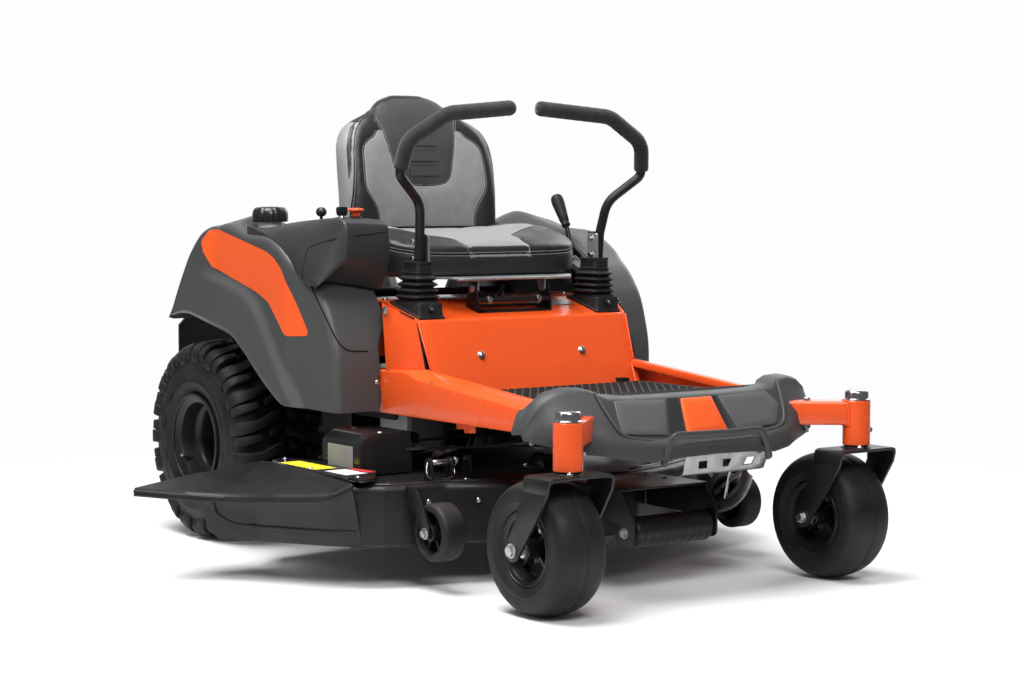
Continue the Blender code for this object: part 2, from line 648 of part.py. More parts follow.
def console_controls():
    y = -0.370
    z = console_top(y)
    axis = empty("throttle_axis", (-0.352, y, 0.775), ROOT)
    arm = [box("throttle_lever", (-0.3540, y - 0.005, 0.7680), (-0.3500, y + 0.005, z + 0.020)),
           rod("tip", (-0.352, y - 0.009, z + 0.022), (-0.352, y + 0.009, z + 0.022), 0.009, 12)]
    attach(weld("throttle_lever", arm), axis, PLASTIC)
    y = -0.450
    z = console_top(y)
    axis = empty("key_axis", (-0.345, y, z), ROOT)
    key = [rod("ignition_key", (-0.345, y, z - 0.026), (-0.345, y, z + 0.003), 0.0085, 16),
           rod("collar", (-0.345, y, z + 0.002), (-0.345, y, z + 0.007), 0.0135, 16),
           box("bow", (-0.3475, y - 0.011, z + 0.005), (-0.3425, y + 0.011, z + 0.024))]
    attach(weld("ignition_key", key), axis, PLASTIC)
    y = -0.510
    z = console_top(y)
    axis = empty("clutch_knob_axis", (-0.345, y, z), ROOT)
    knob = [rod("clutch_knob", (-0.345, y, z - 0.026), (-0.345, y, z + 0.008), 0.0055, 12),
            rod("neck", (-0.345, y, z + 0.004), (-0.345, y, z + 0.014), 0.010, 16),
            rod("head", (-0.345, y, z + 0.012), (-0.345, y, z + 0.022), 0.019, 20)]
    attach(weld("clutch_knob", knob), axis, KNOB)


def height_lever():
    """Deck height lever with a ball-ended grip, left of the seat."""
    axis = empty("height_lever_axis", (0.350, -0.430, 0.560), ROOT)
    pts = [(0.350, -0.430, 0.560), (0.350, -0.412, 0.700), (0.350, -0.392, 0.764)]
    stem = tube("height_lever", pts, 0.006)
    d = (Vector((0.350, -0.345, 0.834)) - Vector(pts[-1])).normalized()
    a = Vector(pts[-1]) - d * 0.004
    grip = [rod("grip", a, a + d * 0.045, 0.0115, 16, 0.0165),
            rod("grip_end", a + d * 0.044, a + d * 0.082, 0.0165, 16, 0.0120)]
    hub = rod("hub", (0.341, -0.430, 0.560), (0.359, -0.430, 0.560), 0.020, 20)
    attach(weld("height_lever", [hub, stem] + grip), axis, PLASTIC)


# ----------------------------------------------------------------------- seat
def seat():
    hinge = empty("seat_hinge_axis", SEAT_HINGE, ROOT)
    y, z = SEAT_HINGE[1], SEAT_HINGE[2]
    # fixed bracket: base, two ears and a back strap on the panel's riser
    g = 0.0005
    base = plate("seat_bracket", [(-0.654, ledge_z(-0.654) + g), (-0.612, ledge_z(-0.612) + g), (-0.612, 0.5990),
                                  (-0.654, 0.5990)], 'YZ', -0.108, 0.108)
    pieces = [base]
    for s in (1, -1):
        x0, x1 = sorted((0.102 * s, 0.108 * s))
        pieces.append(box("ear", (x0, y - 0.0145, 0.5980), (x1, y + 0.0145, z + 0.0140)))
        pieces.append(rod("pin", (0.104 * s, y, z), (0.116 * s, y, z), 0.0065, 12))
    cuts = [box("window", (-0.086, -0.665, 0.5850), (0.086, -0.622, 0.610))]
    attach(weld("seat_bracket", pieces, cuts), ROOT, BLACK)
    outline = [(-0.165, -0.655), (0.165, -0.655), (0.205, -0.600), (0.205, -0.165), (-0.205, -0.165), (-0.205, -0.600)]
    pan = plate("seat_plate", outline, 'XY', 0.6500, 0.6550)
    tabs = []
    for s in (1, -1):
        x0, x1 = sorted((0.094 * s, 0.0995 * s))
        tabs.append(box("tab", (x0, y - 0.010, z - 0.011), (x1, y + 0.010, 0.6510)))
    attach(weld("seat_plate", [pan] + tabs), hinge, ZINC)
    # cushion: side profile with a falling front edge, corners cut in plan
    side = [(-0.246, 0.6554), (-0.246, 0.7600), (-0.400, 0.7570), (-0.520, 0.7480), (-0.585, 0.7280), (-0.602, 0.7050),
            (-0.602, 0.6554)]
    ob = plate("seat_cushion", side, 'YZ', -0.272, 0.272)
    tools = []
    for s in (1, -1):
        tools.append(plate("corner", [(0.205 * s, -0.65), (0.205 * s, -0.603), (0.238 * s, -0.573), (0.2725 * s, -0.530),
                                      (0.300 * s, -0.530), (0.300 * s, -0.65)], 'XY', 0.60, 0.80))
        tools.append(plate("heel", [(0.240 * s, -0.20), (0.240 * s, -0.2455), (0.2725 * s, -0.290),
                                    (0.300 * s, -0.290), (0.300 * s, -0.20)], 'XY', 0.60, 0.80))
    ob = weld("seat_cushion", [ob], tools)
    attach(baked(bevel(ob, 0.014, 2, 50)), hinge, VINYL)
    back = [(-0.300, 0.7612), (-0.292, 0.860), (-0.262, 0.980), (-0.215, 1.080), (-0.195, 1.093), (-0.170, 1.091),
            (-0.166, 1.060), (-0.196, 0.930), (-0.208, 0.800), (-0.208, 0.6556), (-0.2450, 0.6556),
            (-0.2450, 0.7612)]
    ob = plate("seat_back", back, 'YZ', -0.222, 0.222)
    # shoulders round in to the headrest
    tools = []
    for s in (1, -1):
        tools.append(plate("shoulder", [(0.230 * s, 0.90), (0.2215 * s, 0.95), (0.205 * s, 0.995), (0.160 * s, 1.030),
                                        (0.105 * s, 1.048), (0.085 * s, 1.065), (0.078 * s, 1.094), (0.078 * s, 1.15),
                                        (0.300 * s, 1.15), (0.300 * s, 0.90)], 'XZ', -0.45, 0.05))
    ob = weld("seat_back", [ob], tools)
    attach(baked(bevel(ob, 0.010, 1, 50)), hinge, VINYL)


# --------------------------------------------------------------------- levers
def lap_bar(side):
    name = "left" if side > 0 else "right"
    s = side
    x, y = LEVER_X * s, LEVER_Y
    pivot = empty(name + "_lever_pivot_axis", (x, y, LEVER_PIVOT_Z), ROOT)
    swing = empty(name + "_lever_swing_axis", (x, y, LEVER_SWING_Z), pivot)
    # fixed skirt of the boot: a ring on the panel's ledge
    g = 0.0005
    ring = plate(name + "_boot_base", [(-0.6870, ledge_z(-0.6870) + g), (-0.5650, ledge_z(-0.5650) + g),
                                       (-0.5650, 0.6000), (-0.6850, 0.6000), (-0.6880, 0.5970)],
                 'YZ', x - 0.037, x + 0.037)
    hole = box("opening", (x - 0.029, -0.6790, 0.55), (x + 0.029, -0.5700, 0.62))
    attach(weld(name + "_boot_base", [ring], [hole]), ROOT, RUBBER)
    post = box(name + "_pivot_post", (x - 0.013, y - 0.013, 0.5720), (x + 0.013, y + 0.013, 0.5960), 0.003)
    attach(baked(post), pivot, ZINC)
    # flexible boot and its collar, hollow for the lever
    rings = [(0.6200, 0.0240, 0.0370), (0.6280, 0.0330, 0.0470), (0.6330, 0.0290, 0.0430), (0.6400, 0.0330, 0.0460),
             (0.6460, 0.0280, 0.0420), (0.6550, 0.0320, 0.0450), (0.6610, 0.0270, 0.0390), (0.6680, 0.0230, 0.0330),
             (0.6930, 0.0220, 0.0310)]
    bm = bmesh.new()
    loops = []
    for z, hx, hy in rings:
        loops.append([bm.verts.new((x + a * hx, y - 0.008 + b * hy, z)) for a, b in
                      ((-1, -0.6), (-0.6, -1), (0.6, -1), (1, -0.6), (1, 0.6), (0.6, 1), (-0.6, 1), (-1, 0.6))])
    for l0, l1 in zip(loops, loops[1:]):
        for i in range(8):
            j = (i + 1) % 8
            bm.faces.new((l0[i], l0[j], l1[j], l1[i]))
    bm.faces.new(loops[0][::-1])
    bm.faces.new(loops[-1])
    me = bpy.data.meshes.new(name + "_boot")
    bm.to_mesh(me)
    bm.free()
    boot = add_object(name + "_boot", me)
    x0, x1 = sorted((x - 0.0160 * s, x + 0.0175 * s))
    well = box("well", (x0, y - 0.0370, 0.600), (x1, y + 0.0105, 0.70))
    attach(weld(name + "_boot", [boot], [well]), swing, RUBBER)
    # lever: flat lug between two bolts, then a bent tube
    lug = plate("lug", [(-0.652, 0.6030), (-0.614, 0.6030), (-0.614, 0.7500), (-0.620, 0.7560), (-0.646, 0.7560),
                        (-0.652, 0.7500)], 'YZ', x - 0.0065 * s - 0.003, x - 0.0065 * s + 0.003)
    path = [(x + 0.0045 * s, -0.6380, 0.6600), (x + 0.0045 * s, -0.6440, 0.7500), (0.268 * s, -0.660, 0.826),
            (0.346 * s, -0.693, 0.889), (0.333 * s, -0.710, 0.966), (0.230 * s, -0.719, 1.026),
            (0.037 * s, -0.694, 1.043)]
    lower = rounded(path[:4] + [tuple((Vector(path[3]) + Vector(path[4])) / 2)], 0.05, 3)
    stem = tube("stem", lower, 0.0110)
    bolts = [rod("bolt", (x - 0.0142 * s, -0.6325, zz), (x + 0.0030 * s, -0.6325, zz), 0.0056, 8) for zz in (0.7011, 0.7392)]
    attach(weld(name + "_lever", [stem, lug] + bolts), swing, BLACK)
    mid = Vector(path[3]) * 0.82 + Vector(path[4]) * 0.18
    full = rounded([tuple(mid)] + path[4:], 0.055, 4)
    grip = tube(name + "_grip", full, 0.0172, 3)
    # the tube runs up inside the foam, so the foam is bored for it
    inner = tube("inner", rounded(path[:4] + [tuple((Vector(path[3]) + Vector(path[4])) / 2 +
                                                    (Vector(path[4]) - Vector(path[3])) * 0.02)], 0.05, 3), 0.01145)
    attach(weld(name + "_grip", [grip], [inner]), swing, FOAM)


# ----------------------------------------------------------------------- deck
DECK = empty("deck_lift_axis", (0, -0.64, 0.16), ROOT)
DECK_PLAN = [(-0.553, -0.420), (-0.553, -0.820), (-0.500, -0.862), (-0.430, -0.884), (-0.360, -0.890),
             (-0.235, -0.955), (-0.080, -1.010), (0.080, -1.010), (0.235, -0.955), (0.360, -0.890), (0.430, -0.884),
             (0.540, -0.850), (0.600, -0.770), (0.6195, -0.660), (0.6195, -0.460), (0.560, -0.365), (0.300, -0.335), (-0.300, -0.335), (-0.500, -0.360)]


def deck_shell():
    """Stamped shell, open below and on its discharge side."""
    bm = bmesh.new()
    top = [bm.verts.new((x, y, DECK_Z[1])) for x, y in DECK_PLAN]
    low = [bm.verts.new((x, y, DECK_Z[0])) for x, y in DECK_PLAN]
    bm.faces.new(top)
    n = len(top)
    for i in range(n):
        j = (i + 1) % n
        if i == 0:
            continue                     # discharge opening
        bm.faces.new((top[i], low[i], low[j], top[j]))
    bmesh.ops.recalc_face_normals(bm, faces=bm.faces)
    me = bpy.data.meshes.new("deck_shell")
    bm.to_mesh(me)
    bm.free()
    shell = add_object("deck_shell", me)
    mod = shell.modifiers.new("Solidify", 'SOLIDIFY')
    mod.thickness = SHEET
    mod.offset = -1.0
    mod.use_even_offset = True
    pieces = [shell]
    spots = ((-SPINDLE_X, SPINDLE_SIDE_Y), (0.0, SPINDLE_MID_Y), (SPINDLE_X, SPINDLE_SIDE_Y))
    for x, y in spots:
        pieces.append(rod("spindle_housing", (x, y, 0.190), (x, y, 0.252), 0.048, 16, 0.034))
    # anti-scalp wheel brackets: an ear ahead of the skirt on each side
    for s in (1, -1):
        x0, x1 = sorted((0.4520 * s, 0.4580 * s))
        pieces.append(plate("ear", [(-0.864, 0.130), (-0.864, 0.216), (-0.940, 0.216), (-0.985, 0.150),
                                    (-0.985, 0.115), (-0.950, 0.108)], 'YZ', x0, x1))
        a, b = sorted((0.3835 * s, 0.4540 * s))
        pieces.append(rod("axle", (a, -0.960, 0.130), (b, -0.960, 0.130), 0.0060, 12))
    # front roller bracket: top plate and two cheeks
    pieces.append(box("roller_top", (-0.118, -1.205, 0.2185), (0.118, -0.995, 0.2225)))
    for s in (1, -1):
        x0, x1 = sorted((0.1130 * s, 0.1182 * s))
        pieces.append(plate("cheek", [(-1.000, 0.150), (-1.000, 0.2215), (-1.195, 0.2215), (-1.238, 0.165),
                                      (-1.238, 0.105), (-1.190, 0.105), (-1.150, 0.150)], 'YZ', x0, x1))
    pieces.append(rod("roller_pin", (-0.116, -1.210, 0.131), (0.116, -1.210, 0.131), 0.0060, 12))
    cuts = [rod("bore", (x, y, 0.15), (x, y, 0.27), 0.0165, 12) for x, y in spots]
    return attach(weld("deck_shell", pieces, cuts), DECK, BLACK)


def pulley_cover(side):
    """Folded cover over the outer deck pulley."""
    name = ("left" if side > 0 else "right") + "_pulley_cover"
    s = side
    rows = []
    for x, z in ((0.298, 0.286), (0.300, 0.305), (0.322, 0.314), (0.430, 0.314), (0.454, 0.296), (0.456, 0.2236)):
        row = [(x * s, y, z) for y in (-0.700, -0.545)]
        rows.append(row if s < 0 else row[::-1])
    ob = sheet(name, rows, 0.003, offset=-1.0)
    return attach(baked(ob), DECK, PLASTIC)


def spindle(name, x, y):
    spin = empty(name + "_spin_axis", (x, y, 0.20), DECK)
    shaft = [(0.0125, 0.296), (0.0125, 0.288), (0.056, 0.288), (0.056, 0.284), (0.044, 0.2775), (0.056, 0.271),
             (0.056, 0.267), (0.0125, 0.267), (0.0125, 0.189), (0.024, 0.189),
             (0.024, 0.114), (0.0030, 0.114), (0.0030, 0.296)]
    a = turned(name, shaft, (x, y, 0), steps=16)
    half = BLADE_LEN / 2
    blade = box("blade", (x - half, y - 0.030, 0.1100), (x + half, y + 0.030, 0.1150))
    attach(weld(name, [a, blade]), spin, ZINC)


def deck_belt():
    """V belt around the three deck pulleys, in their grooves."""
    r0, r1 = 0.0506, 0.0580
    centres = [Vector((-SPINDLE_X, SPINDLE_SIDE_Y)), Vector((0.0, SPINDLE_MID_Y)), Vector((SPINDLE_X, SPINDLE_SIDE_Y))]

    def loop(r):
        pts = []
        order = [centres[0], centres[1], centres[2]]
        for i, c in enumerate(order):
            before, after = order[i - 1], order[(i + 1) % 3]
            d0, d1 = (c - before).normalized(), (after - c).normalized()
            a0 = math.atan2(-d0.x, d0.y)
            a1 = math.atan2(-d1.x, d1.y)
            while a1 < a0:
                a1 += 2 * math.pi
            steps = max(2, int((a1 - a0) / 0.35))
            for k in range(steps + 1):
                a = a0 + (a1 - a0) * k / steps - math.pi
                pts.append((c.x - math.cos(a) * r, c.y - math.sin(a) * r))
        return pts
    outer = plate("deck_belt", loop(r1), 'XY', 0.2750, 0.2800)
    inner = plate("inner", loop(r0), 'XY', 0.270, 0.285)
    return attach(weld("deck_belt", [outer], [inner]), DECK, RUBBER)


def chute():
    """Hinged discharge chute: sloping roof, front wall and trailing wing."""
    hinge = empty("chute_hinge_axis", CHUTE_HINGE, DECK)
    bm = bmesh.new()
    hx = CHUTE_HINGE[0] - 0.006
    P = {k: bm.verts.new(v) for k, v in {
        "a": (hx, -0.430, 0.238), "b": (hx, -0.640, 0.240), "c": (hx, -0.838, 0.230),
        "d": (-0.600, -0.800, 0.205), "e": (-0.655, -0.705, 0.196), "f": (-0.735, -0.572, 0.190),
        "g": (-0.8800, -0.450, 0.204), "h": (-0.740, -0.425, 0.218), "i": (-0.640, -0.425, 0.228),
        "dl": (-0.572, -0.790, 0.092), "el": (-0.630, -0.690, 0.092), "fl": (-0.700, -0.548, 0.092),
        "cl": (hx, -0.820, 0.092)}.items()}
    faces = [("b", "c", "d"), ("b", "d", "e"), ("b", "e", "f"), ("b", "f", "i"), ("a", "b", "i"), ("f", "h", "i"),
             ("f", "g", "h"), ("c", "cl", "dl", "d"), ("d", "dl", "el", "e"), ("e", "el", "fl", "f")]
    for f in faces:
        bm.faces.new([P[k] for k in f])
    bmesh.ops.recalc_face_normals(bm, faces=bm.faces)
    me = bpy.data.meshes.new("discharge_chute")
    bm.to_mesh(me)
    bm.free()
    ob = add_object("discharge_chute", me)
    mod = ob.modifiers.new("Solidify", 'SOLIDIFY')
    mod.thickness = 0.005
    mod.offset = 0.0
    mod.use_even_offset = True
    return attach(baked(ob), hinge, PLASTIC)


def scalp_wheel(side):
    name = ("left" if side > 0 else "right") + "_scalp_wheel"
    c = (0.4185 * side, -0.960, 0.130)
    spin = empty(name + "_axis", c, DECK)
    prof = [(0.0075, 0.030), (0.018, 0.030), (0.018, 0.018), (0.046, 0.018), (0.046, 0.030), (0.056, 0.030),
            (0.0625, 0.022), (0.0625, -0.022), (0.056, -0.030), (0.046, -0.030), (0.046, -0.018),
            (0.018, -0.018), (0.018, -0.030), (0.0075, -0.030)]
    attach(baked(turned(name, prof, c, 'X', 20)), spin, PLASTIC)


def front_roller():
    c = (0.0, -1.210, 0.131)
    spin = empty("front_roller_axis", c, DECK)
    prof = [(0.0072, 0.108), (0.026, 0.108), (0.033, 0.100), (0.033, -0.100), (0.026, -0.108), (0.0072, -0.108)]
    attach(baked(turned("front_roller", prof, c, 'X', 18)), spin, PLASTIC)


# ---------------------------------------------------------------------- build
for side in (1, -1):
    rail(side)
front_axle()
for side in (1, -1):
    caster_cap(side)
front_panel()
footrest()
step_plate()
for side in (1, -1):
    caster(side)
    rear_wheel(side)
    transaxle(side)
    fender(side)
    lap_bar(side)
rear_frame()
engine()
fuel_tank()
battery()
control_console()
console_controls()
height_lever()
seat()
deck_shell()
for side in (1, -1):
    pulley_cover(side)
    scalp_wheel(side)
spindle("right_blade_spindle", -SPINDLE_X, SPINDLE_SIDE_Y)
spindle("centre_blade_spindle", 0.0, SPINDLE_MID_Y)
spindle("left_blade_spindle", SPINDLE_X, SPINDLE_SIDE_Y)
deck_belt()
chute()
front_roller()
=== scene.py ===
"""Zero turn mower: the looks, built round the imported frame. Lengths in metres, +Z up, the machine drives towards -Y."""
import bpy
import bmesh
import math
import random
from mathutils import Vector, Matrix, noise
from mathutils.bvhtree import BVHTree


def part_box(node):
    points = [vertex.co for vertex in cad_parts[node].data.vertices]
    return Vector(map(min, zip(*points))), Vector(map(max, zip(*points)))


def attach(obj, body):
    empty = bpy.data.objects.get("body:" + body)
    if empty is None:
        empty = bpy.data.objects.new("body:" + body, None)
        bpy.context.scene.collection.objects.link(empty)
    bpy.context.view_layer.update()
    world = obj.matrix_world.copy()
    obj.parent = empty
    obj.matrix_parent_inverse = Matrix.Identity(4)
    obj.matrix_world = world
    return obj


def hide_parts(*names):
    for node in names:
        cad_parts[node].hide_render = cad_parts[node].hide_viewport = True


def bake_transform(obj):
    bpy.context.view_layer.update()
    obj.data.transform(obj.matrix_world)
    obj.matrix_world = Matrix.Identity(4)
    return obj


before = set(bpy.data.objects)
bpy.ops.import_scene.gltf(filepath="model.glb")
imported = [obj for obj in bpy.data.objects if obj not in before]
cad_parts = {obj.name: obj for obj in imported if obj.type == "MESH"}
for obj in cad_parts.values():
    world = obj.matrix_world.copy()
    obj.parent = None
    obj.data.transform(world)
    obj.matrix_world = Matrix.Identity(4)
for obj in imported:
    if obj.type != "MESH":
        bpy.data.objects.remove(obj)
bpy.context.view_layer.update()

_l, _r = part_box("left_rear_tyre"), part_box("right_rear_tyre")
# machine origin: on the ground below the middle of the rear axle
O = Vector(((_l[1][0] + _r[0][0]) / 2, (_l[0][1] + _l[1][1]) / 2, 0.0))
random.seed(7)
scene = bpy.context.scene


# ------------------------------------------------------------------ materials
def mat(name, color, rough, metal=0.0, coat=0.0, coat_rough=0.08, spec=0.5, mottle=(6.0, 0.06), rvar=0.05,
        bumps=((350.0, 0.05, 0.0006),), sheen=0.0, speck=None, dust=None, aniso=0.0, stretch=None):
    """A Principled material with colour drift, roughness drift and layered bump from noise in object space."""
    m = bpy.data.materials.new(name)
    m.use_nodes = True
    nt = m.node_tree
    N, L = nt.nodes, nt.links
    p = N["Principled BSDF"]
    p.inputs["Roughness"].default_value = rough
    p.inputs["Metallic"].default_value = metal
    p.inputs["Specular IOR Level"].default_value = spec
    p.inputs["Coat Weight"].default_value = coat
    p.inputs["Coat Roughness"].default_value = coat_rough
    if sheen:
        p.inputs["Sheen Weight"].default_value = sheen
        p.inputs["Sheen Roughness"].default_value = 0.5
    if aniso:
        p.inputs["Anisotropic"].default_value = aniso
    tc = N.new("ShaderNodeTexCoord")
    vec = tc.outputs["Object"]
    if stretch:
        mp = N.new("ShaderNodeMapping")
        mp.inputs["Scale"].default_value = stretch
        L.new(vec, mp.inputs["Vector"])
        fine = mp.outputs["Vector"]
    else:
        fine = vec

    def tex(scale, detail=3.0, src=vec):
        t = N.new("ShaderNodeTexNoise")
        t.inputs["Scale"].default_value = scale
        t.inputs["Detail"].default_value = detail
        L.new(src, t.inputs["Vector"])
        return t.outputs["Fac"]

    ramp = N.new("ShaderNodeValToRGB")
    c = Vector(color[:3])
    k = mottle[1]
    lo, hi = c * (1 - k), c * (1 + k) + Vector((0.002, 0.002, 0.002)) * (k * 10)
    ramp.color_ramp.elements[0].position = 0.3
    ramp.color_ramp.elements[0].color = (*lo, 1)
    ramp.color_ramp.elements[1].position = 0.7
    ramp.color_ramp.elements[1].color = (*[min(1, v) for v in hi], 1)
    L.new(tex(mottle[0], 5.0), ramp.inputs["Fac"])
    out = ramp.outputs["Color"]
    if speck:
        # fine flecks: (scale, threshold, colour)
        t = tex(speck[0], 2.0)
        mr = N.new("ShaderNodeMapRange")
        mr.inputs["From Min"].default_value = speck[1]
        mr.inputs["From Max"].default_value = speck[1] + 0.04
        L.new(t, mr.inputs["Value"])
        mx = N.new("ShaderNodeMix")
        mx.data_type = 'RGBA'
        L.new(mr.outputs["Result"], mx.inputs["Factor"])
        L.new(out, mx.inputs["A"])
        mx.inputs["B"].default_value = (*speck[2], 1)
        out = mx.outputs["Result"]
    if dust:
        # a thin dry film on what faces up: (colour, amount)
        geo = N.new("ShaderNodeNewGeometry")
        sep = N.new("ShaderNodeSeparateXYZ")
        L.new(geo.outputs["Normal"], sep.inputs["Vector"])
        mr = N.new("ShaderNodeMapRange")
        mr.inputs["From Min"].default_value = 0.35
        mr.inputs["From Max"].default_value = 1.0
        mr.inputs["To Max"].default_value = dust[1]
        L.new(sep.outputs["Z"], mr.inputs["Value"])
        ml = N.new("ShaderNodeMath")
        ml.operation = 'MULTIPLY'
        L.new(mr.outputs["Result"], ml.inputs[0])
        L.new(tex(14.0, 6.0), ml.inputs[1])
        mx = N.new("ShaderNodeMix")
        mx.data_type = 'RGBA'
        L.new(ml.outputs["Value"], mx.inputs["Factor"])
        L.new(out, mx.inputs["A"])
        mx.inputs["B"].default_value = (*dust[0], 1)
        out = mx.outputs["Result"]
    L.new(out, p.inputs["Base Color"])
    if rvar:
        mr = N.new("ShaderNodeMapRange")
        mr.inputs["From Min"].default_value = 0.3
        mr.inputs["From Max"].default_value = 0.7
        mr.inputs["To Min"].default_value = max(0.02, rough - rvar)
        mr.inputs["To Max"].default_value = min(1.0, rough + rvar)
        L.new(tex(22.0, 4.0, fine), mr.inputs["Value"])
        L.new(mr.outputs["Result"], p.inputs["Roughness"])
    normal = None
    for scale, strength, dist in bumps:
        b = N.new("ShaderNodeBump")
        b.inputs["Strength"].default_value = strength
        b.inputs["Distance"].default_value = dist
        L.new(tex(scale, 3.0, fine), b.inputs["Height"])
        if normal:
            L.new(normal, b.inputs["Normal"])
        normal = b.outputs["Normal"]
    if normal:
        L.new(normal, p.inputs["Normal"])
    m.diffuse_color = (*color[:3], 1)
    return m


def cells(m, scale, strength, dist, feature='F1', stretch=None):
    """Adds a pebbled or woven relief to a material made by mat()."""
    N, L = m.node_tree.nodes, m.node_tree.links
    p = N["Principled BSDF"]
    tc = next(n for n in N if n.type == 'TEX_COORD')
    v = N.new("ShaderNodeTexVoronoi")
    v.feature = feature
    v.inputs["Scale"].default_value = scale
    src = tc.outputs["Object"]
    if stretch:
        mp = N.new("ShaderNodeMapping")
        mp.inputs["Scale"].default_value = stretch
        L.new(src, mp.inputs["Vector"])
        src = mp.outputs["Vector"]
    L.new(src, v.inputs["Vector"])
    b = N.new("ShaderNodeBump")
    b.inputs["Strength"].default_value = strength
    b.inputs["Distance"].default_value = dist
    L.new(v.outputs["Distance"], b.inputs["Height"])
    old = p.inputs["Normal"].links[0].from_socket if p.inputs["Normal"].links else None
    if old:
        L.new(old, b.inputs["Normal"])
    L.new(b.outputs["Normal"], p.inputs["Normal"])
    return m


def weave(m, scale, strength, dist):
    """Adds a plain weave: two crossed sets of ribs."""
    N, L = m.node_tree.nodes, m.node_tree.links
    p = N["Principled BSDF"]
    tc = next(n for n in N if n.type == 'TEX_COORD')
    waves = []
    for d in ('X', 'Z'):
        w = N.new("ShaderNodeTexWave")
        w.bands_direction = d
        w.inputs["Scale"].default_value = scale
        w.inputs["Distortion"].default_value = 0.6
        w.inputs["Detail"].default_value = 1.0
        L.new(tc.outputs["Object"], w.inputs["Vector"])
        waves.append(w.outputs["Fac"])
    mx = N.new("ShaderNodeMath")
    mx.operation = 'MAXIMUM'
    L.new(waves[0], mx.inputs[0])
    L.new(waves[1], mx.inputs[1])
    b = N.new("ShaderNodeBump")
    b.inputs["Strength"].default_value = strength
    b.inputs["Distance"].default_value = dist
    L.new(mx.outputs["Value"], b.inputs["Height"])
    old = p.inputs["Normal"].links[0].from_socket if p.inputs["Normal"].links else None
    if old:
        L.new(old, b.inputs["Normal"])
    L.new(b.outputs["Normal"], p.inputs["Normal"])
    return m


DUST = (0.30, 0.29, 0.27)
ORANGE = mat("orange_paint", (0.86, 0.095, 0.012), 0.30, coat=0.55, coat_rough=0.10, mottle=(3.0, 0.035), rvar=0.04,
             bumps=((420.0, 0.05, 0.0004), (60.0, 0.02, 0.0008)))
DECAL = mat("orange_film", (0.86, 0.105, 0.016), 0.36, coat=0.2, mottle=(4.0, 0.03), bumps=((700.0, 0.04, 0.0002),))
BLACK = mat("black_powder_coat", (0.0062, 0.0062, 0.0067), 0.42, coat=0.10, coat_rough=0.22, spec=0.30, mottle=(9.0, 0.12), rvar=0.06,
            bumps=((520.0, 0.12, 0.0004), (90.0, 0.04, 0.0008)))
GREY = cells(mat("fender_plastic", (0.058, 0.059, 0.060), 0.42, spec=0.45, mottle=(5.0, 0.07), rvar=0.05,
                 bumps=((900.0, 0.10, 0.0003),)), 700.0, 0.10, 0.0002)
DGREY = cells(mat("console_plastic", (0.0255, 0.0255, 0.0268), 0.44, spec=0.45, mottle=(5.0, 0.07), rvar=0.05,
                  bumps=((900.0, 0.10, 0.0003),)), 700.0, 0.10, 0.0002)
BUMPER = cells(mat("bumper_plastic", (0.050, 0.050, 0.052), 0.48, spec=0.42, mottle=(7.0, 0.06), rvar=0.05,
                   bumps=((800.0, 0.10, 0.0003),)), 620.0, 0.12, 0.00025)
PANEL = cells(mat("bumper_panel", (0.092, 0.093, 0.092), 0.46, spec=0.45, mottle=(7.0, 0.04), rvar=0.04,
                  bumps=((900.0, 0.08, 0.0003),)), 800.0, 0.08, 0.0002)
MAT = cells(mat("foot_mat", (0.0240, 0.0240, 0.0248), 0.72, spec=0.30, mottle=(9.0, 0.1), bumps=((300.0, 0.25, 0.0008),)),
            150.0, 0.5, 0.0016)
PLASTIC = cells(mat("black_plastic", (0.0062, 0.0062, 0.0067), 0.42, spec=0.34, mottle=(8.0, 0.12), rvar=0.07,
                    bumps=((650.0, 0.12, 0.0004),)), 520.0, 0.10, 0.0003)
GLOSSP = mat("gloss_black_plastic", (0.012, 0.012, 0.013), 0.22, spec=0.5, mottle=(8.0, 0.10), rvar=0.05,
             bumps=((300.0, 0.05, 0.0004),))
TYRE = mat("tyre_rubber", (0.0070, 0.0069, 0.0068), 0.56, spec=0.28, mottle=(11.0, 0.22), rvar=0.10,
           bumps=((260.0, 0.22, 0.0008), (1100.0, 0.15, 0.0003)), dust=((0.10, 0.098, 0.094), 0.35))
TREAD = mat("tread_rubber", (0.0077, 0.0076, 0.0075), 0.60, spec=0.25, mottle=(16.0, 0.25), rvar=0.10,
            bumps=((200.0, 0.28, 0.001), (900.0, 0.2, 0.0003)), dust=((0.08, 0.078, 0.072), 0.35))
RUBBER = cells(mat("boot_rubber", (0.0102, 0.0102, 0.0105), 0.55, spec=0.30, mottle=(12.0, 0.15), rvar=0.08,
                   bumps=((420.0, 0.2, 0.0006),)), 380.0, 0.12, 0.0004)
FOAM = cells(mat("grip_foam", (0.0147, 0.0147, 0.0154), 0.82, spec=0.30, sheen=0.25, mottle=(30.0, 0.2), rvar=0.06,
                 bumps=((700.0, 0.5, 0.0008),)), 900.0, 0.5, 0.0006)
VINYL = cells(mat("black_vinyl", (0.0176, 0.0176, 0.0188), 0.38, spec=0.42, mottle=(8.0, 0.16), rvar=0.08,
                  bumps=((45.0, 0.10, 0.002), (500.0, 0.18, 0.0006))), 420.0, 0.35, 0.0007)
VINYL2 = cells(mat("charcoal_vinyl", (0.0527, 0.0527, 0.0544), 0.44, spec=0.38, mottle=(8.0, 0.10), rvar=0.06,
                   bumps=((50.0, 0.08, 0.002), (500.0, 0.18, 0.0006))), 420.0, 0.32, 0.0007)
FABRIC = weave(mat("grey_seat_fabric", (0.225, 0.222, 0.228), 0.78, spec=0.3, sheen=0.35, mottle=(40.0, 0.08), rvar=0.05,
                   bumps=((60.0, 0.06, 0.002), (900.0, 0.25, 0.0005))), 160.0, 0.45, 0.0009)
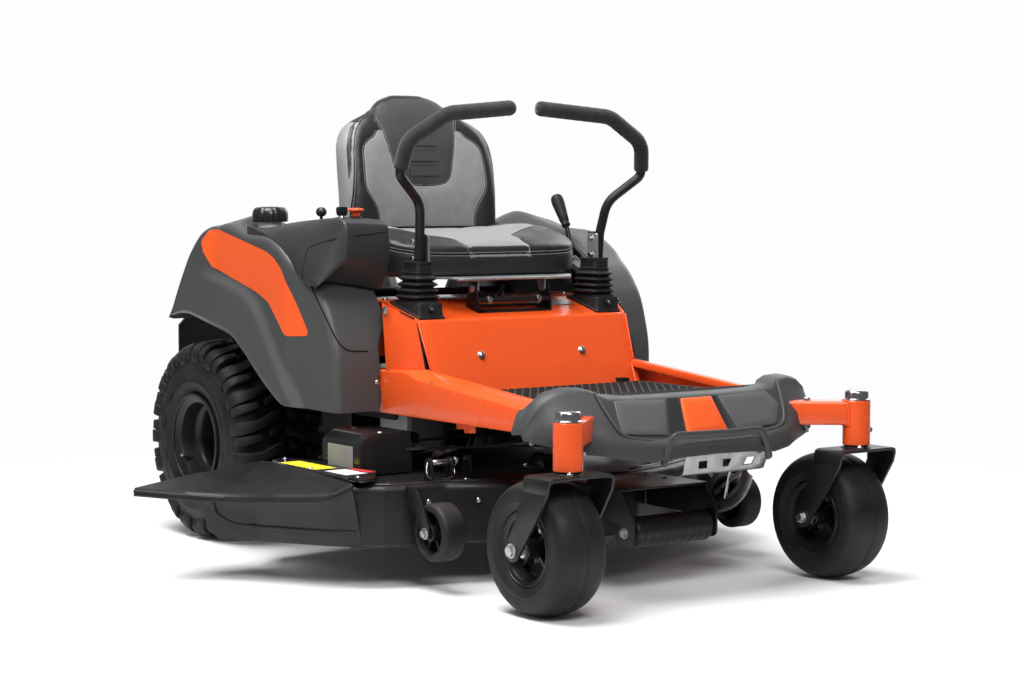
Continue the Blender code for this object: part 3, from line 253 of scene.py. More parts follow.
SIDEV = cells(mat("light_vinyl", (0.26, 0.26, 0.265), 0.50, spec=0.4, mottle=(12.0, 0.08), rvar=0.05,
                  bumps=((400.0, 0.15, 0.0005),)), 420.0, 0.25, 0.0006)
THREAD = mat("thread", (0.42, 0.42, 0.43), 0.75, sheen=0.3, mottle=(300.0, 0.15), bumps=((1500.0, 0.5, 0.0003),))
# dark material for tubes painted as the shadow in sewn seams and round the headrest bars
SEAM_SHADE = mat("seam_shadow", (0.008, 0.008, 0.008), 0.85, spec=0.2, mottle=(60.0, 0.2), bumps=((900.0, 0.3, 0.0003),))
CHROME = mat("chrome", (0.46, 0.46, 0.47), 0.20, metal=1.0, mottle=(5.0, 0.02), rvar=0.03, bumps=((150.0, 0.01, 0.0004),))
ZINC = mat("zinc_plate", (0.46, 0.46, 0.465), 0.28, metal=1.0, mottle=(60.0, 0.12), rvar=0.12,
           bumps=((500.0, 0.12, 0.0004),))
SILVER = mat("galvanised_plate", (0.50, 0.51, 0.51), 0.36, metal=0.85, mottle=(25.0, 0.10), rvar=0.10,
             bumps=((260.0, 0.10, 0.0005),), stretch=(1.0, 3.0, 3.0))
ALU = mat("cast_aluminium", (0.40, 0.40, 0.405), 0.46, metal=0.9, mottle=(22.0, 0.16), rvar=0.10,
          bumps=((240.0, 0.45, 0.001), (70.0, 0.12, 0.0015)))
STEEL = mat("ground_steel", (0.33, 0.33, 0.34), 0.36, metal=1.0, mottle=(30.0, 0.18), rvar=0.12,
            bumps=((320.0, 0.15, 0.0005),), stretch=(6.0, 1.0, 1.0))
HOT = mat("heat_tinted_steel", (0.24, 0.215, 0.20), 0.46, metal=0.9, mottle=(9.0, 0.30), rvar=0.14,
          bumps=((200.0, 0.2, 0.0008),), speck=(55.0, 0.62, (0.20, 0.09, 0.045)))
BELT = weave(mat("belt_cord", (0.020, 0.020, 0.021), 0.78, mottle=(40.0, 0.2), bumps=((500.0, 0.3, 0.0005),)),
             220.0, 0.5, 0.0007)
WHITEP = mat("translucent_neck", (0.66, 0.66, 0.63), 0.38, mottle=(18.0, 0.05), bumps=((400.0, 0.08, 0.0004),))
KNOB = mat("orange_plastic", (0.88, 0.075, 0.012), 0.28, spec=0.5, coat=0.15, mottle=(12.0, 0.04),
           bumps=((500.0, 0.06, 0.0003),))
YELLOW = mat("yellow_label", (0.82, 0.72, 0.03), 0.42, mottle=(20.0, 0.05), bumps=((600.0, 0.05, 0.0002),))
WHITE = mat("white_label", (0.74, 0.74, 0.73), 0.42, mottle=(20.0, 0.04), bumps=((600.0, 0.05, 0.0002),))
RED = mat("red_label", (0.62, 0.04, 0.035), 0.42, mottle=(20.0, 0.05), bumps=((600.0, 0.05, 0.0002),))
# dark material for fills painted as the shade in gaps, shut lines, seams, slots and holes
HOLE_SHADE = mat("shadow_slot", (0.005, 0.005, 0.005), 0.8, spec=0.2, mottle=(40.0, 0.2), bumps=((300.0, 0.1, 0.0004),))


# -------------------------------------------------------------- mesh building
def V(*a):
    return Vector(a)


def finish(name, bm, mats, body, stands=(), smooth=35.0, bevel=0.0, segs=2, angle=30.0, sub=0, solid=None,
           recalc=True, weld=1e-5):
    """Turns a bmesh in machine coordinates into a placed, smooth-shaded piece riding on a body."""
    if weld:
        bmesh.ops.remove_doubles(bm, verts=bm.verts, dist=weld)
    if recalc:
        bmesh.ops.recalc_face_normals(bm, faces=bm.faces)
    bmesh.ops.translate(bm, verts=bm.verts, vec=O)
    me = bpy.data.meshes.new(name)
    bm.to_mesh(me)
    bm.free()
    ob = bpy.data.objects.new(name, me)
    scene.collection.objects.link(ob)
    for m in (mats if isinstance(mats, (list, tuple)) else [mats]):
        me.materials.append(m)
    if solid:
        mod = ob.modifiers.new("Solidify", 'SOLIDIFY')
        mod.thickness, mod.offset = solid
        mod.use_even_offset = True
        mod.use_quality_normals = True
    if bevel:
        mod = ob.modifiers.new("Bevel", 'BEVEL')
        mod.width, mod.segments = bevel, segs
        mod.limit_method = 'ANGLE'
        mod.angle_limit = math.radians(angle)
        mod.use_clamp_overlap = True
        mod.miter_outer = 'MITER_ARC'
    if sub:
        mod = ob.modifiers.new("Subdivision", 'SUBSURF')
        mod.levels = mod.render_levels = sub
    if solid or bevel or sub:
        dg = bpy.context.evaluated_depsgraph_get()
        new = bpy.data.meshes.new_from_object(ob.evaluated_get(dg))
        ob.modifiers.clear()
        old = ob.data
        ob.data = new
        bpy.data.meshes.remove(old)
        new.name = name
    ob.data.shade_smooth()
    ob.data.set_sharp_from_angle(angle=math.radians(smooth))
    if body:
        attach(ob, body)
    if stands:
        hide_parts(*([stands] if isinstance(stands, str) else stands))
    return ob


def prism(bm, pts, vec, mi=0):
    a = [bm.verts.new(Vector(p)) for p in pts]
    b = [bm.verts.new(Vector(p) + Vector(vec)) for p in pts]
    fs = [bm.faces.new(a[::-1]), bm.faces.new(b)]
    n = len(a)
    for i in range(n):
        j = (i + 1) % n
        fs.append(bm.faces.new((a[i], a[j], b[j], b[i])))
    for f in fs:
        f.material_index = mi
    return fs


def plate(bm, outline, plane, lo, hi, mi=0):
    """A flat outline in plane YZ, XZ or XY, extruded from lo to hi along the third axis."""
    if plane == 'YZ':
        return prism(bm, [(lo, a, b) for a, b in outline], (hi - lo, 0, 0), mi)
    if plane == 'XZ':
        return prism(bm, [(a, lo, b) for a, b in outline], (0, hi - lo, 0), mi)
    return prism(bm, [(a, b, lo) for a, b in outline], (0, 0, hi - lo), mi)


def box(bm, lo, hi, mi=0):
    (x0, y0, z0), (x1, y1, z1) = lo, hi
    return prism(bm, [(x0, y0, z0), (x1, y0, z0), (x1, y1, z0), (x0, y1, z0)], (0, 0, z1 - z0), mi)


def ringframe(n):
    n = Vector(n).normalized()
    u = n.cross(Vector((0, 0, 1)))
    if u.length < 1e-4:
        u = Vector((1, 0, 0))
    u.normalize()
    return u, n.cross(u).normalized(), n


def loft(bm, rings, caps=True, cyclic=False, mi=0, closed=True):
    vs = [[bm.verts.new(Vector(p)) for p in r] for r in rings]
    m = len(vs[0])
    pairs = list(zip(vs, vs[1:])) + ([(vs[-1], vs[0])] if cyclic else [])
    out = []
    for a, b in pairs:
        for i in range(m if closed else m - 1):
            j = (i + 1) % m
            out.append(bm.faces.new((a[i], a[j], b[j], b[i])))
    if caps and not cyclic and closed:
        out.append(bm.faces.new(vs[0][::-1]))
        out.append(bm.faces.new(vs[-1]))
    for f in out:
        f.material_index = mi
    return out


def lathe(bm, prof, c, axis, n=48, mi=0, cyclic=True):
    """Turns a profile of (radius, height along axis) about a centre."""
    u, v, w = ringframe(axis)
    c = Vector(c)
    cols = []
    for k in range(n):
        a = 2 * math.pi * k / n
        d = u * math.cos(a) + v * math.sin(a)
        cols.append([c + d * r + w * h for r, h in prof])
    m = len(prof)
    verts = []
    for i in range(m):
        if prof[i][0] < 1e-6:
            q = bm.verts.new(cols[0][i])
            verts.append([q] * n)
        else:
            verts.append([bm.verts.new(cols[k][i]) for k in range(n)])
    rng = range(m) if cyclic else range(m - 1)
    for i in rng:
        j = (i + 1) % m
        for k in range(n):
            l = (k + 1) % n
            q = []
            for x in (verts[i][k], verts[i][l], verts[j][l], verts[j][k]):
                if x not in q:
                    q.append(x)
            if len(q) > 2:
                f = bm.faces.new(q)
                f.material_index = mi


def rod(bm, a, b, r, n=24, ch=0.0, mi=0):
    """A round bar with chamfered ends."""
    a, b = Vector(a), Vector(b)
    h = (b - a).length
    ch = min(ch, r * 0.6, h * 0.4)
    prof = [(0, 0), (r - ch, 0), (r, ch), (r, h - ch), (r - ch, h), (0, h)] if ch else [(0, 0), (r, 0), (r, h), (0, h)]
    lathe(bm, prof, a, b - a, n, mi, cyclic=False)


def smooth_path(pts, k=6):
    """Catmull-Rom through the points."""
    P = [Vector(p) for p in pts]
    if len(P) < 3:
        return P
    Q = [P[0] * 2 - P[1]] + P + [P[-1] * 2 - P[-2]]
    out = []
    for i in range(1, len(Q) - 2):
        for j in range(k):
            t = j / k
            a, b, c, d = Q[i - 1], Q[i], Q[i + 1], Q[i + 2]
            out.append(0.5 * ((2 * b) + (c - a) * t + (2 * a - 5 * b + 4 * c - d) * t * t + (3 * b - a - 3 * c + d) * t ** 3))
    out.append(P[-1])
    return out


def fillet(pts, radius, k=6):
    """A polyline with its inner corners rounded to a radius."""
    P = [Vector(p) for p in pts]
    out = [P[0]]
    for i in range(1, len(P) - 1):
        a, b, c = P[i - 1], P[i], P[i + 1]
        u, v = (a - b), (c - b)
        r = radius[i] if isinstance(radius, (list, tuple)) else radius
        ang = u.angle(v)
        if ang > math.pi - 1e-3:
            out.append(b)
            continue
        d = min(r / math.tan(ang / 2), u.length * 0.48, v.length * 0.48)
        p, q = b + u.normalized() * d, b + v.normalized() * d
        for j in range(k + 1):
            t = j / k
            out.append(p * (1 - t) ** 2 + b * 2 * t * (1 - t) + q * t * t)
    out.append(P[-1])
    return out


def round_poly(pts, r, k=5):
    """Closed 2D polygon with rounded corners."""
    P = [Vector((*p, 0)) for p in pts]
    n = len(P)
    out = []
    for i in range(n):
        a, b, c = P[i - 1], P[i], P[(i + 1) % n]
        rr = r[i] if isinstance(r, (list, tuple)) else r
        u, v = a - b, c - b
        ang = u.angle(v)
        if rr <= 0 or ang > math.pi - 1e-3:
            out.append((b.x, b.y))
            continue
        d = min(rr / math.tan(ang / 2), u.length * 0.45, v.length * 0.45)
        p, q = b + u.normalized() * d, b + v.normalized() * d
        for j in range(k + 1):
            t = j / k
            w = p * (1 - t) ** 2 + b * 2 * t * (1 - t) + q * t * t
            out.append((w.x, w.y))
    return out


def tube(bm, pts, r, n=14, caps=True, mi=0, cyclic=False, ry=None, up=None, rounded=False):
    """Sweeps a circle, or an ellipse, along points; r may be a list."""
    P = [Vector(p) for p in pts]
    m = len(P)
    T = []
    for i in range(m):
        if cyclic:
            t = P[(i + 1) % m] - P[i - 1]
        else:
            t = P[min(i + 1, m - 1)] - P[max(i - 1, 0)]
        T.append(t.normalized())
    ref = Vector(up) if up else (Vector((0, 0, 1)) if abs(T[0].z) < 0.9 else Vector((1, 0, 0)))
    N = (ref - T[0] * ref.dot(T[0])).normalized()
    rings = []
    for i in range(m):
        if i:
            N = (N - T[i] * N.dot(T[i]))
            N.normalize()
        B = T[i].cross(N)
        ra = r[i] if isinstance(r, (list, tuple)) else r
        rb = ra if ry is None else ry
        rings.append([P[i] + N * (math.cos(2 * math.pi * k / n) * ra) + B * (math.sin(2 * math.pi * k / n) * rb)
                      for k in range(n)])
    if rounded:
        def cap_ring(i, sgn):
            extra = []
            ra = r[i] if isinstance(r, (list, tuple)) else r
            for f, o in ((0.92, 0.35), (0.7, 0.65), (0.35, 0.85)):
                extra.append([P[i] + (q - P[i]) * f + T[i] * sgn * ra * o * 0.6 for q in rings[i]])
            return extra
        rings = cap_ring(0, -1)[::-1] + rings + cap_ring(m - 1, 1)
    loft(bm, rings, caps=caps, cyclic=cyclic, mi=mi)


def hexhead(bm, c, n, r, h, washer=0.0, mi=0):
    """A hex head standing on c, facing n, with a domed top and an optional washer."""
    u, v, w = ringframe(n)
    c = Vector(c)
    base = 0.0
    if washer:
        lathe(bm, [(0, 0), (washer, 0), (washer, r * 0.14), (0, r * 0.14)], c, w, 20, mi, cyclic=False)
        base = r * 0.14
    rings = []
    for f, z in ((1, base), (1, base + h * 0.82), (0.86, base + h)):
        rings.append([c + w * z + (u * math.cos(math.pi / 3 * k) + v * math.sin(math.pi / 3 * k)) * (r * f) for k in range(6)])
    loft(bm, rings, mi=mi)


def dome(bm, c, n, r, h, mi=0, steps=5, k=20):
    prof = [(r * math.cos(math.pi / 2 * i / steps), h * math.sin(math.pi / 2 * i / steps)) for i in range(steps + 1)]
    prof[-1] = (0.0, h)
    lathe(bm, [(0, -0.0008), (r, -0.0008)] + prof, c, n, k, mi, cyclic=False)


def grid(bm, rows, mi=0, flip=False):
    vs = [[bm.verts.new(Vector(p)) for p in r] for r in rows]
    out = []
    for a, b in zip(vs, vs[1:]):
        for i in range(len(a) - 1):
            q = (a[i], a[i + 1], b[i + 1], b[i])
            f = bm.faces.new(q[::-1] if flip else q)
            f.material_index = mi
            out.append(f)
    return out


def lerp(a, b, t):
    return a + (b - a) * t


def sstep(a, b, x):
    t = max(0.0, min(1.0, (x - a) / (b - a)))
    return t * t * (3 - 2 * t)


def interp(table, x):
    """Piecewise linear table of (x, value...)."""
    if x <= table[0][0]:
        return table[0][1:] if len(table[0]) > 2 else table[0][1]
    for p, q in zip(table, table[1:]):
        if x <= q[0]:
            t = (x - p[0]) / (q[0] - p[0])
            v = [lerp(a, b, t) for a, b in zip(p[1:], q[1:])]
            return v if len(v) > 1 else v[0]
    return table[-1][1:] if len(table[-1]) > 2 else table[-1][1]


def paint(node, *mats):
    """Gives a carried-over CAD node a finished material."""
    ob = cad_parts[node]
    ob.data.materials.clear()
    for m in mats:
        ob.data.materials.append(m)
    return ob


def soften(node, width=0.0012, segs=2, angle=28.0):
    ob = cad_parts[node]
    mod = ob.modifiers.new("Bevel", 'BEVEL')
    mod.width, mod.segments = width, segs
    mod.limit_method = 'ANGLE'
    mod.angle_limit = math.radians(angle)
    mod.use_clamp_overlap = True
    return ob


SIDES = ((1, "left"), (-1, "right"))


# --------------------------------------------------------------- front wheels
WB, FR, FX = 1.2988, 0.1397, 0.3933
CX, CY = 0.396, -1.376


def front_wheel(s, side):
    c = (FX * s, -WB, FR)
    ax = (s, 0, 0)
    body = side + "_front_wheel"
    # tyre: rounded crown with a mould line, shoulder rib, bulged wall with moulded rings and a bead
    half = [(0.1397, 0.0), (0.1397, 0.0004), (0.1392, 0.0012), (0.1396, 0.0022), (0.1392, 0.012), (0.1380, 0.024),
            (0.1356, 0.036), (0.1322, 0.046), (0.1278, 0.0532), (0.1245, 0.0566), (0.1212, 0.0590), (0.1180, 0.0601),
            (0.1168, 0.0600), (0.1160, 0.0606), (0.1140, 0.0611), (0.1040, 0.0614), (0.0990, 0.0611), (0.0982, 0.0616),
            (0.0966, 0.0617), (0.0958, 0.0609), (0.0890, 0.0592), (0.0835, 0.0562), (0.0812, 0.0548), (0.0806, 0.0552),
            (0.0796, 0.0550), (0.0786, 0.0530), (0.0772, 0.0500), (0.0700, 0.0485), (0.0660, 0.0440)]
    half[0] = (0.1386, 0.0)
    prof = half + [(r, -h) for r, h in half[::-1][:-1]]
    bm = bmesh.new()
    lathe(bm, prof, c, ax, 112)
    rng = random.Random(11 + s)
    # moulding vents on the shoulder
    for k in range(34):
        a = 2 * math.pi * (k + rng.random() * 0.5) / 34
        for h in (0.0590, -0.0590):
            p = Vector(c) + Vector((h, math.cos(a) * 0.1218, math.sin(a) * 0.1218))
            n = Vector((0.8 * (1 if h > 0 else -1), math.cos(a) * 0.6, math.sin(a) * 0.6))
            dome(bm, p, n, 0.0007, 0.0009, steps=2, k=6)
    finish(body + "_tyre_skin", bm, TYRE, body, side + "_front_tyre", smooth=32)
    bm = bmesh.new()
    # split rim: flange, bead seat, drop centre and web
    out = [(0.0180, 0.0040), (0.0400, 0.0042), (0.0440, 0.0060), (0.0500, 0.0060), (0.0600, 0.0100), (0.0630, 0.0160),
           (0.0645, 0.0330), (0.0660, 0.0380), (0.0665, 0.0445), (0.0690, 0.0478), (0.0745, 0.0490), (0.0766, 0.0508),
           (0.0770, 0.0532), (0.0755, 0.0548), (0.0733, 0.0542), (0.0722, 0.0522), (0.0700, 0.0510)]
    inn = [(0.0655, 0.0495), (0.0632, 0.0450), (0.0622, 0.0390), (0.0600, 0.0340), (0.0590, 0.0180), (0.0560, 0.0135)]
    prof = [(0.0180, 0.0)] + out + inn[::1] + [(0.0480, 0.0100), (0.0430, 0.0095), (0.0400, 0.0080), (0.0180, 0.0078)]
    for sg in (1, -1):
        p2 = [(r, h * sg) for r, h in out + inn + [(0.0500, 0.0105), (0.0440, 0.0100), (0.0400, 0.0085), (0.0180, 0.0082)]]
        lathe(bm, p2, c, ax, 72)
    # hub tube with bearings
    lathe(bm, [(0.0110, -0.0560), (0.0190, -0.0560), (0.0205, -0.0545), (0.0205, 0.0545), (0.0190, 0.0560), (0.0110, 0.0560)],
          c, ax, 36)
    for k in range(4):
        a = math.pi / 4 + k * math.pi / 2
        d = Vector((0, math.cos(a), math.sin(a)))
        u = d.cross(Vector((1, 0, 0)))
        for sg in (1, -1):
            q = Vector(c) + Vector((sg * 0.008, 0, 0))
            prism(bm, [q + d * 0.020 + u * 0.003, q + d * 0.020 - u * 0.003, q + d * 0.058 - u * 0.003,
                       q + d * 0.058 + u * 0.003], (sg * 0.020, 0, 0))
    finish(body + "_rim_shell", bm, BLACK, body, side + "_front_rim", smooth=30)
    bm = bmesh.new()
    for sg in (1, -1):
        q = Vector(c) + Vector((sg * 0.0560, 0, 0))
        lathe(bm, [(0.0082, 0), (0.0165, 0), (0.0170, 0.0010), (0.0165, 0.0035), (0.0120, 0.0045), (0.0082, 0.0045)], q,
              (sg, 0, 0), 28)
        for k in range(5):
            a = 2 * math.pi * k / 5 + 0.3
            q = Vector(c) + Vector((sg * 0.0080, math.cos(a) * 0.0340, math.sin(a) * 0.0340))
            hexhead(bm, q, (sg, 0, 0), 0.0062, 0.0050, washer=0.0085)
    # valve stem
    q = Vector(c) + Vector((s * 0.0170, 0.0, 0.0560))
    tube(bm, [q, q + Vector((s * 0.016, 0, -0.004)), q + Vector((s * 0.027, 0, -0.006))], 0.0032, 10)
    finish(body + "_hub_hardware", bm, ZINC, body)


def caster_fork(s, side):
    body = side + "_caster"
    k = s
    bm = bmesh.new()
    ax, ay, az = FX * s, -WB, FR
    xo, xi = 0.0835, 0.0773
    # crown: a pressed top with rounded bends into the two legs
    R = 0.012
    sec = []
    top = 0.2945
    th = xo - xi
    path = [(-xo, 0.262), (-xo, top - R), (-xo + R * 0.3, top - R * 0.3), (-xo + R, top), (xo - R, top),
            (xo - R * 0.3, top - R * 0.3), (xo, top - R), (xo, 0.262)]
    inner = [(xi, 0.262), (xi, top - R), (xi - R * 0.2, top - th - R * 0.2), (xi - R * 0.8, top - th), (-xi + R * 0.8, top - th),
             (-xi + R * 0.2, top - th - R * 0.2), (-xi, top - R), (-xi, 0.262)]
    # front edge leans forward at the top, rear edge follows the leg
    y_f, y_r = -1.424, -1.334

    def yy(z, front):
        t = (top - z) / (top - 0.262)
        return lerp(y_f + 0.004, y_f + 0.012, t) if front else lerp(y_r, y_r - 0.001, t)
    a, b = [], []
    for x, z in path + inner:
        a.append((ax + x, yy(z, True), z))
        b.append((ax + x, yy(z, False), z))
    loft(bm, [a, b], caps=True)
    # legs taper to a rounded eye round the axle
    def leg_outline():
        pts = [(y_f + 0.012, 0.2625), (-1.3765, 0.2050), (-1.3180, 0.1290)]
        cy, cz, rr = -WB, FR - 0.0005, 0.0225
        for i in range(9):
            t = math.radians(205 + i * 17)
            pts.append((cy + math.cos(t) * rr, cz + math.sin(t) * rr))
        pts += [(-1.2775, 0.1480), (-1.3100, 0.2040), (-1.3352, 0.2625)]
        return pts
    for sg in (1, -1):
        lo, hi = sorted((ax + xi * sg, ax + xo * sg))
        plate(bm, leg_outline(), 'YZ', lo, hi)
        # stiffening dimple ring at the eye
        lathe(bm, [(0.0125, 0), (0.0195, 0), (0.0185, 0.0012), (0.0135, 0.0012)], (ax + xo * sg, ay, az), (sg, 0, 0), 28)
    finish(side + "_fork_pressing", bm, BLACK, body, side + "_fork", smooth=40, bevel=0.0016, segs=2, angle=35)
    bm = bmesh.new()
    # kingpin boss, thrust washer and weld collar under the tube
    lathe(bm, [(0.0, 0.2946), (0.0330, 0.2946), (0.0335, 0.2958), (0.0310, 0.2976), (0.0250, 0.2990), (0.0250, 0.3008),
               (0.0, 0.3008)], (CX * s, CY, 0), (0, 0, 1), 40, cyclic=False)
    rod(bm, (CX * s, CY, 0.300), (CX * s, CY, 0.3985), 0.0128, 28, 0.001)
    finish(side + "_kingpin_collar", bm, BLACK, body, smooth=30)
    bm = bmesh.new()
    for sg in (1, -1):
        n = (sg, 0, 0)
        p = (ax + (xo + 0.0012) * sg, ay, az)
        hexhead(bm, p, n, 0.0118, 0.0078, washer=0.0150)
        if sg > 0:
            rod(bm, Vector(p) + Vector((sg * 0.006, 0, 0)), Vector(p) + Vector((sg * 0.0115, 0, 0)), 0.0062, 16, 0.001)
    rod(bm, (ax - 0.085, ay, az), (ax + 0.085, ay, az), 0.0078, 20)
    for sg in (1, -1):
        rod(bm, (ax + 0.0605 * sg, ay, az), (ax + 0.0770 * sg, ay, az), 0.0120, 24, 0.001)
    # grease fitting and its nut beside the collar
    q = Vector((CX * s - 0.018, CY - 0.030, 0.2946))
    hexhead(bm, q, (0, 0, 1), 0.0068, 0.0048, washer=0.0088)
    rod(bm, q + Vector((0, 0, 0.005)), q + Vector((0, 0, 0.0085)), 0.0032, 12, 0.0008)
    finish(side + "_fork_hardware", bm, ZINC, body, smooth=30)


for s, side in SIDES:
    front_wheel(s, side)
    caster_fork(s, side)


# ---------------------------------------------------------------- rear wheels
def lug(bm, c, sg, a0, stations):
    """One moulded tread lug: stations of (x, angle, half width, base radius, top x, top radius)."""
    rings = []
    for x, da, hw, rb, xt, rt in stations:
        a = a0 + da
        mid = (rb + rt) / 2
        wb, wt = (hw + 0.0022) / mid, (hw - 0.0006) / mid

        def P(xx, r, aa):
            return (c[0] + sg * xx, c[1] + math.cos(aa) * r, c[2] + math.sin(aa) * r)
        rm = lerp(rb, rt, 0.72)
        xm = lerp(x, xt, 0.72)
        wm = lerp(wb, wt, 0.6)
        rings.append([P(x, rb, a - wb), P(xm, rm, a - wm), P(xt, rt, a - wt), P(xt, rt, a + wt), P(xm, rm, a + wm),
                      P(x, rb, a + wb)])
    loft(bm, rings)


def rear_wheel(s, side):
    c = Vector((0.375 * s, 0, 0.244))
    ax = (s, 0, 0)
    body = side + "_rear_wheel"
    half = [(0.2225, 0.0), (0.2225, 0.040), (0.2215, 0.070), (0.2185, 0.092), (0.2130, 0.1060), (0.2050, 0.1125),
            (0.1960, 0.1148), (0.1925, 0.1165), (0.1910, 0.1178), (0.1880, 0.1186), (0.1850, 0.1184), (0.1835, 0.1190),
            (0.1720, 0.1215), (0.1700, 0.1222), (0.1680, 0.1219), (0.1560, 0.1226), (0.1460, 0.1216), (0.1445, 0.1222),
            (0.1420, 0.1220), (0.1405, 0.1210), (0.1310, 0.1180), (0.1270, 0.1160), (0.1262, 0.1166), (0.1235, 0.1164),
            (0.1205, 0.1140), (0.1160, 0.1090), (0.1050, 0.1080), (0.1000, 0.1010)]
    bm = bmesh.new()
    lathe(bm, half + [(r, -h) for r, h in half[::-1][:-1]], c, ax, 128)
    rng = random.Random(5 + s)
    for k in range(40):
        a = 2 * math.pi * (k + rng.random() * 0.4) / 40
        for h in (1, -1):
            p = c + Vector((h * 0.1218, math.cos(a) * 0.1620, math.sin(a) * 0.1620))
            dome(bm, p, (h, 0, 0), 0.0011, 0.0014, steps=2, k=6)
    # raised plain bars round the wall where a size mark would be
    for k in range(12):
        a0 = 2 * math.pi * k / 12 + 0.1
        ring = []
        for i in range(5):
            a = a0 + i * 0.045
            ring.append([c + Vector((s * hx, math.cos(a) * r, math.sin(a) * r)) for r, hx in
                         ((0.1545, 0.1222), (0.1545, 0.1236), (0.1500, 0.1236), (0.1500, 0.1216))])
        loft(bm, ring)
    finish(body + "_tyre_carcass", bm, TYRE, body, side + "_rear_tyre", smooth=32)
    bm = bmesh.new()
    n = 19
    long_lug = [(0.006, 0.000, 0.0095, 0.2205, 0.006, 0.2425), (0.020, 0.012, 0.0105, 0.2210, 0.020, 0.2438),
                (0.040, 0.050, 0.0105, 0.2205, 0.040, 0.2438), (0.060, 0.092, 0.0110, 0.2190, 0.061, 0.2430),
                (0.078, 0.112, 0.0125, 0.2160, 0.080, 0.2412), (0.096, 0.122, 0.0145, 0.2110, 0.1000, 0.2375),
                (0.1075, 0.126, 0.0150, 0.2030, 0.1140, 0.2290), (0.1120, 0.128, 0.0145, 0.1960, 0.1215, 0.2170),
                (0.1135, 0.129, 0.0130, 0.1900, 0.1238, 0.2040), (0.1150, 0.129, 0.0110, 0.1870, 0.1205, 0.1925)]
    short_lug = [(0.062, 0.000, 0.0085, 0.2190, 0.063, 0.2425), (0.080, 0.008, 0.0090, 0.2150, 0.082, 0.2405),
                 (0.096, 0.018, 0.0100, 0.2110, 0.1000, 0.2370), (0.1075, 0.024, 0.0105, 0.2030, 0.1130, 0.2280),
                 (0.1118, 0.026, 0.0100, 0.1980, 0.1200, 0.2160), (0.1130, 0.026, 0.0085, 0.1940, 0.1200, 0.2060)]
    knob = [(-0.012, -0.020, 0.0075, 0.2205, -0.012, 0.2415), (0.000, 0.000, 0.0085, 0.2208, 0.000, 0.2432),
            (0.012, 0.020, 0.0075, 0.2205, 0.012, 0.2415)]
    for k in range(n):
        a0 = 2 * math.pi * k / n
        for sg in (1, -1):
            off = 0 if sg > 0 else math.pi / n
            lug(bm, c, sg, a0 + off, long_lug)
            lug(bm, c, sg, a0 + off + 0.2350, short_lug)
            lug(bm, c, sg, a0 + off + 0.175, [(x + 0.030, a, w * 0.9, rb, xt + 0.030, rt - 0.001) for x, a, w, rb, xt, rt in knob])
    finish(body + "_tread_lugs", bm, TREAD, body, smooth=28, bevel=0.0014, segs=2, angle=40)
    bm = bmesh.new()
    # deep-dish rim: outer flange, bead seat, drop centre, back wall and hub plate
    prof = [(0.0000, 0.0190), (0.0300, 0.0190), (0.0320, 0.0170), (0.0330, 0.0110), (0.0380, 0.0080), (0.0600, 0.0075),
            (0.0680, 0.0095), (0.0745, 0.0160), (0.0775, 0.0300), (0.0790, 0.0480), (0.0805, 0.0560), (0.0850, 0.0620),
            (0.0905, 0.0640), (0.0930, 0.0665), (0.0942, 0.0720), (0.0950, 0.0980), (0.0965, 0.1030), (0.1000, 0.1060),
            (0.1050, 0.1075), (0.1110, 0.1090), (0.1140, 0.1120), (0.1150, 0.1160), (0.1142, 0.1196), (0.1118, 0.1214),
            (0.1085, 0.1208), (0.1070, 0.1188), (0.1078, 0.1150), (0.1050, 0.1125), (0.0980, 0.1105), (0.0925, 0.1060),
            (0.0905, 0.0990), (0.0895, 0.0740), (0.0880, 0.0700), (0.0830, 0.0675), (0.0780, 0.0640), (0.0750, 0.0570),
            (0.0735, 0.0480), (0.0720, 0.0320), (0.0695, 0.0215), (0.0650, 0.0160), (0.0600, 0.0145)]
    face = prof[:23]
    # outward surface is the inside of the dish: mirror the order for a closed shell
    shell = [(0.0000, 0.0100)] + [(r, h) for r, h in prof[1:2]]
    outer = prof[5:24]
    inner = prof[24:]
    lathe(bm, outer + inner, c, ax, 96)
    # hub plate with its raised centre
    lathe(bm, [(0.0, 0.0145), (0.0255, 0.0145), (0.0262, 0.0135), (0.0270, 0.0110), (0.0300, 0.0100), (0.0655, 0.0158),
               (0.0655, 0.0098), (0.0, 0.0040)], c, ax, 64, cyclic=False)
    # inner half of the rim
    lathe(bm, [(r, -h) for r, h in [(0.0900, -0.060), (0.0950, 0.0000), (0.0950, 0.0980), (0.0965, 0.1030), (0.1050, 0.1075),
                                    (0.1140, 0.1120), (0.1150, 0.1160), (0.1118, 0.1206), (0.1070, 0.1188), (0.1050, 0.1125),
                                    (0.0925, 0.1060), (0.0905, 0.0990), (0.0900, 0.0000)]], c, ax, 96)
    finish(body + "_rim_shell", bm, BLACK, body, side + "_rear_rim", smooth=32)
    bm = bmesh.new()
    for k in range(4):
        a = math.pi / 4 + k * math.pi / 2 + 0.2
        q = c + Vector((s * 0.0125, math.cos(a) * 0.0480, math.sin(a) * 0.0480))
        lathe(bm, [(0, 0), (0.0125, 0), (0.0108, 0.0040), (0, 0.0040)], q, ax, 20, cyclic=False)
        hexhead(bm, q + Vector((s * 0.003, 0, 0)), ax, 0.0098, 0.0120)
        rod(bm, q, q + Vector((s * 0.0200, 0, 0)), 0.0052, 14, 0.001)
    hexhead(bm, c + Vector((s * 0.0145, 0, 0)), ax, 0.0150, 0.0120, washer=0.0210)
    q = c + Vector((s * 0.100, 0.072, -0.052))
    tube(bm, [q + Vector((-s * 0.012, 0, 0)), q, q + Vector((s * 0.014, -0.008, 0.006)), q + Vector((s * 0.022, -0.013, 0.010))],
         0.0038, 10)
    finish(body + "_wheel_nuts", bm, ZINC, body, smooth=30)


for s, side in SIDES:
    rear_wheel(s, side)


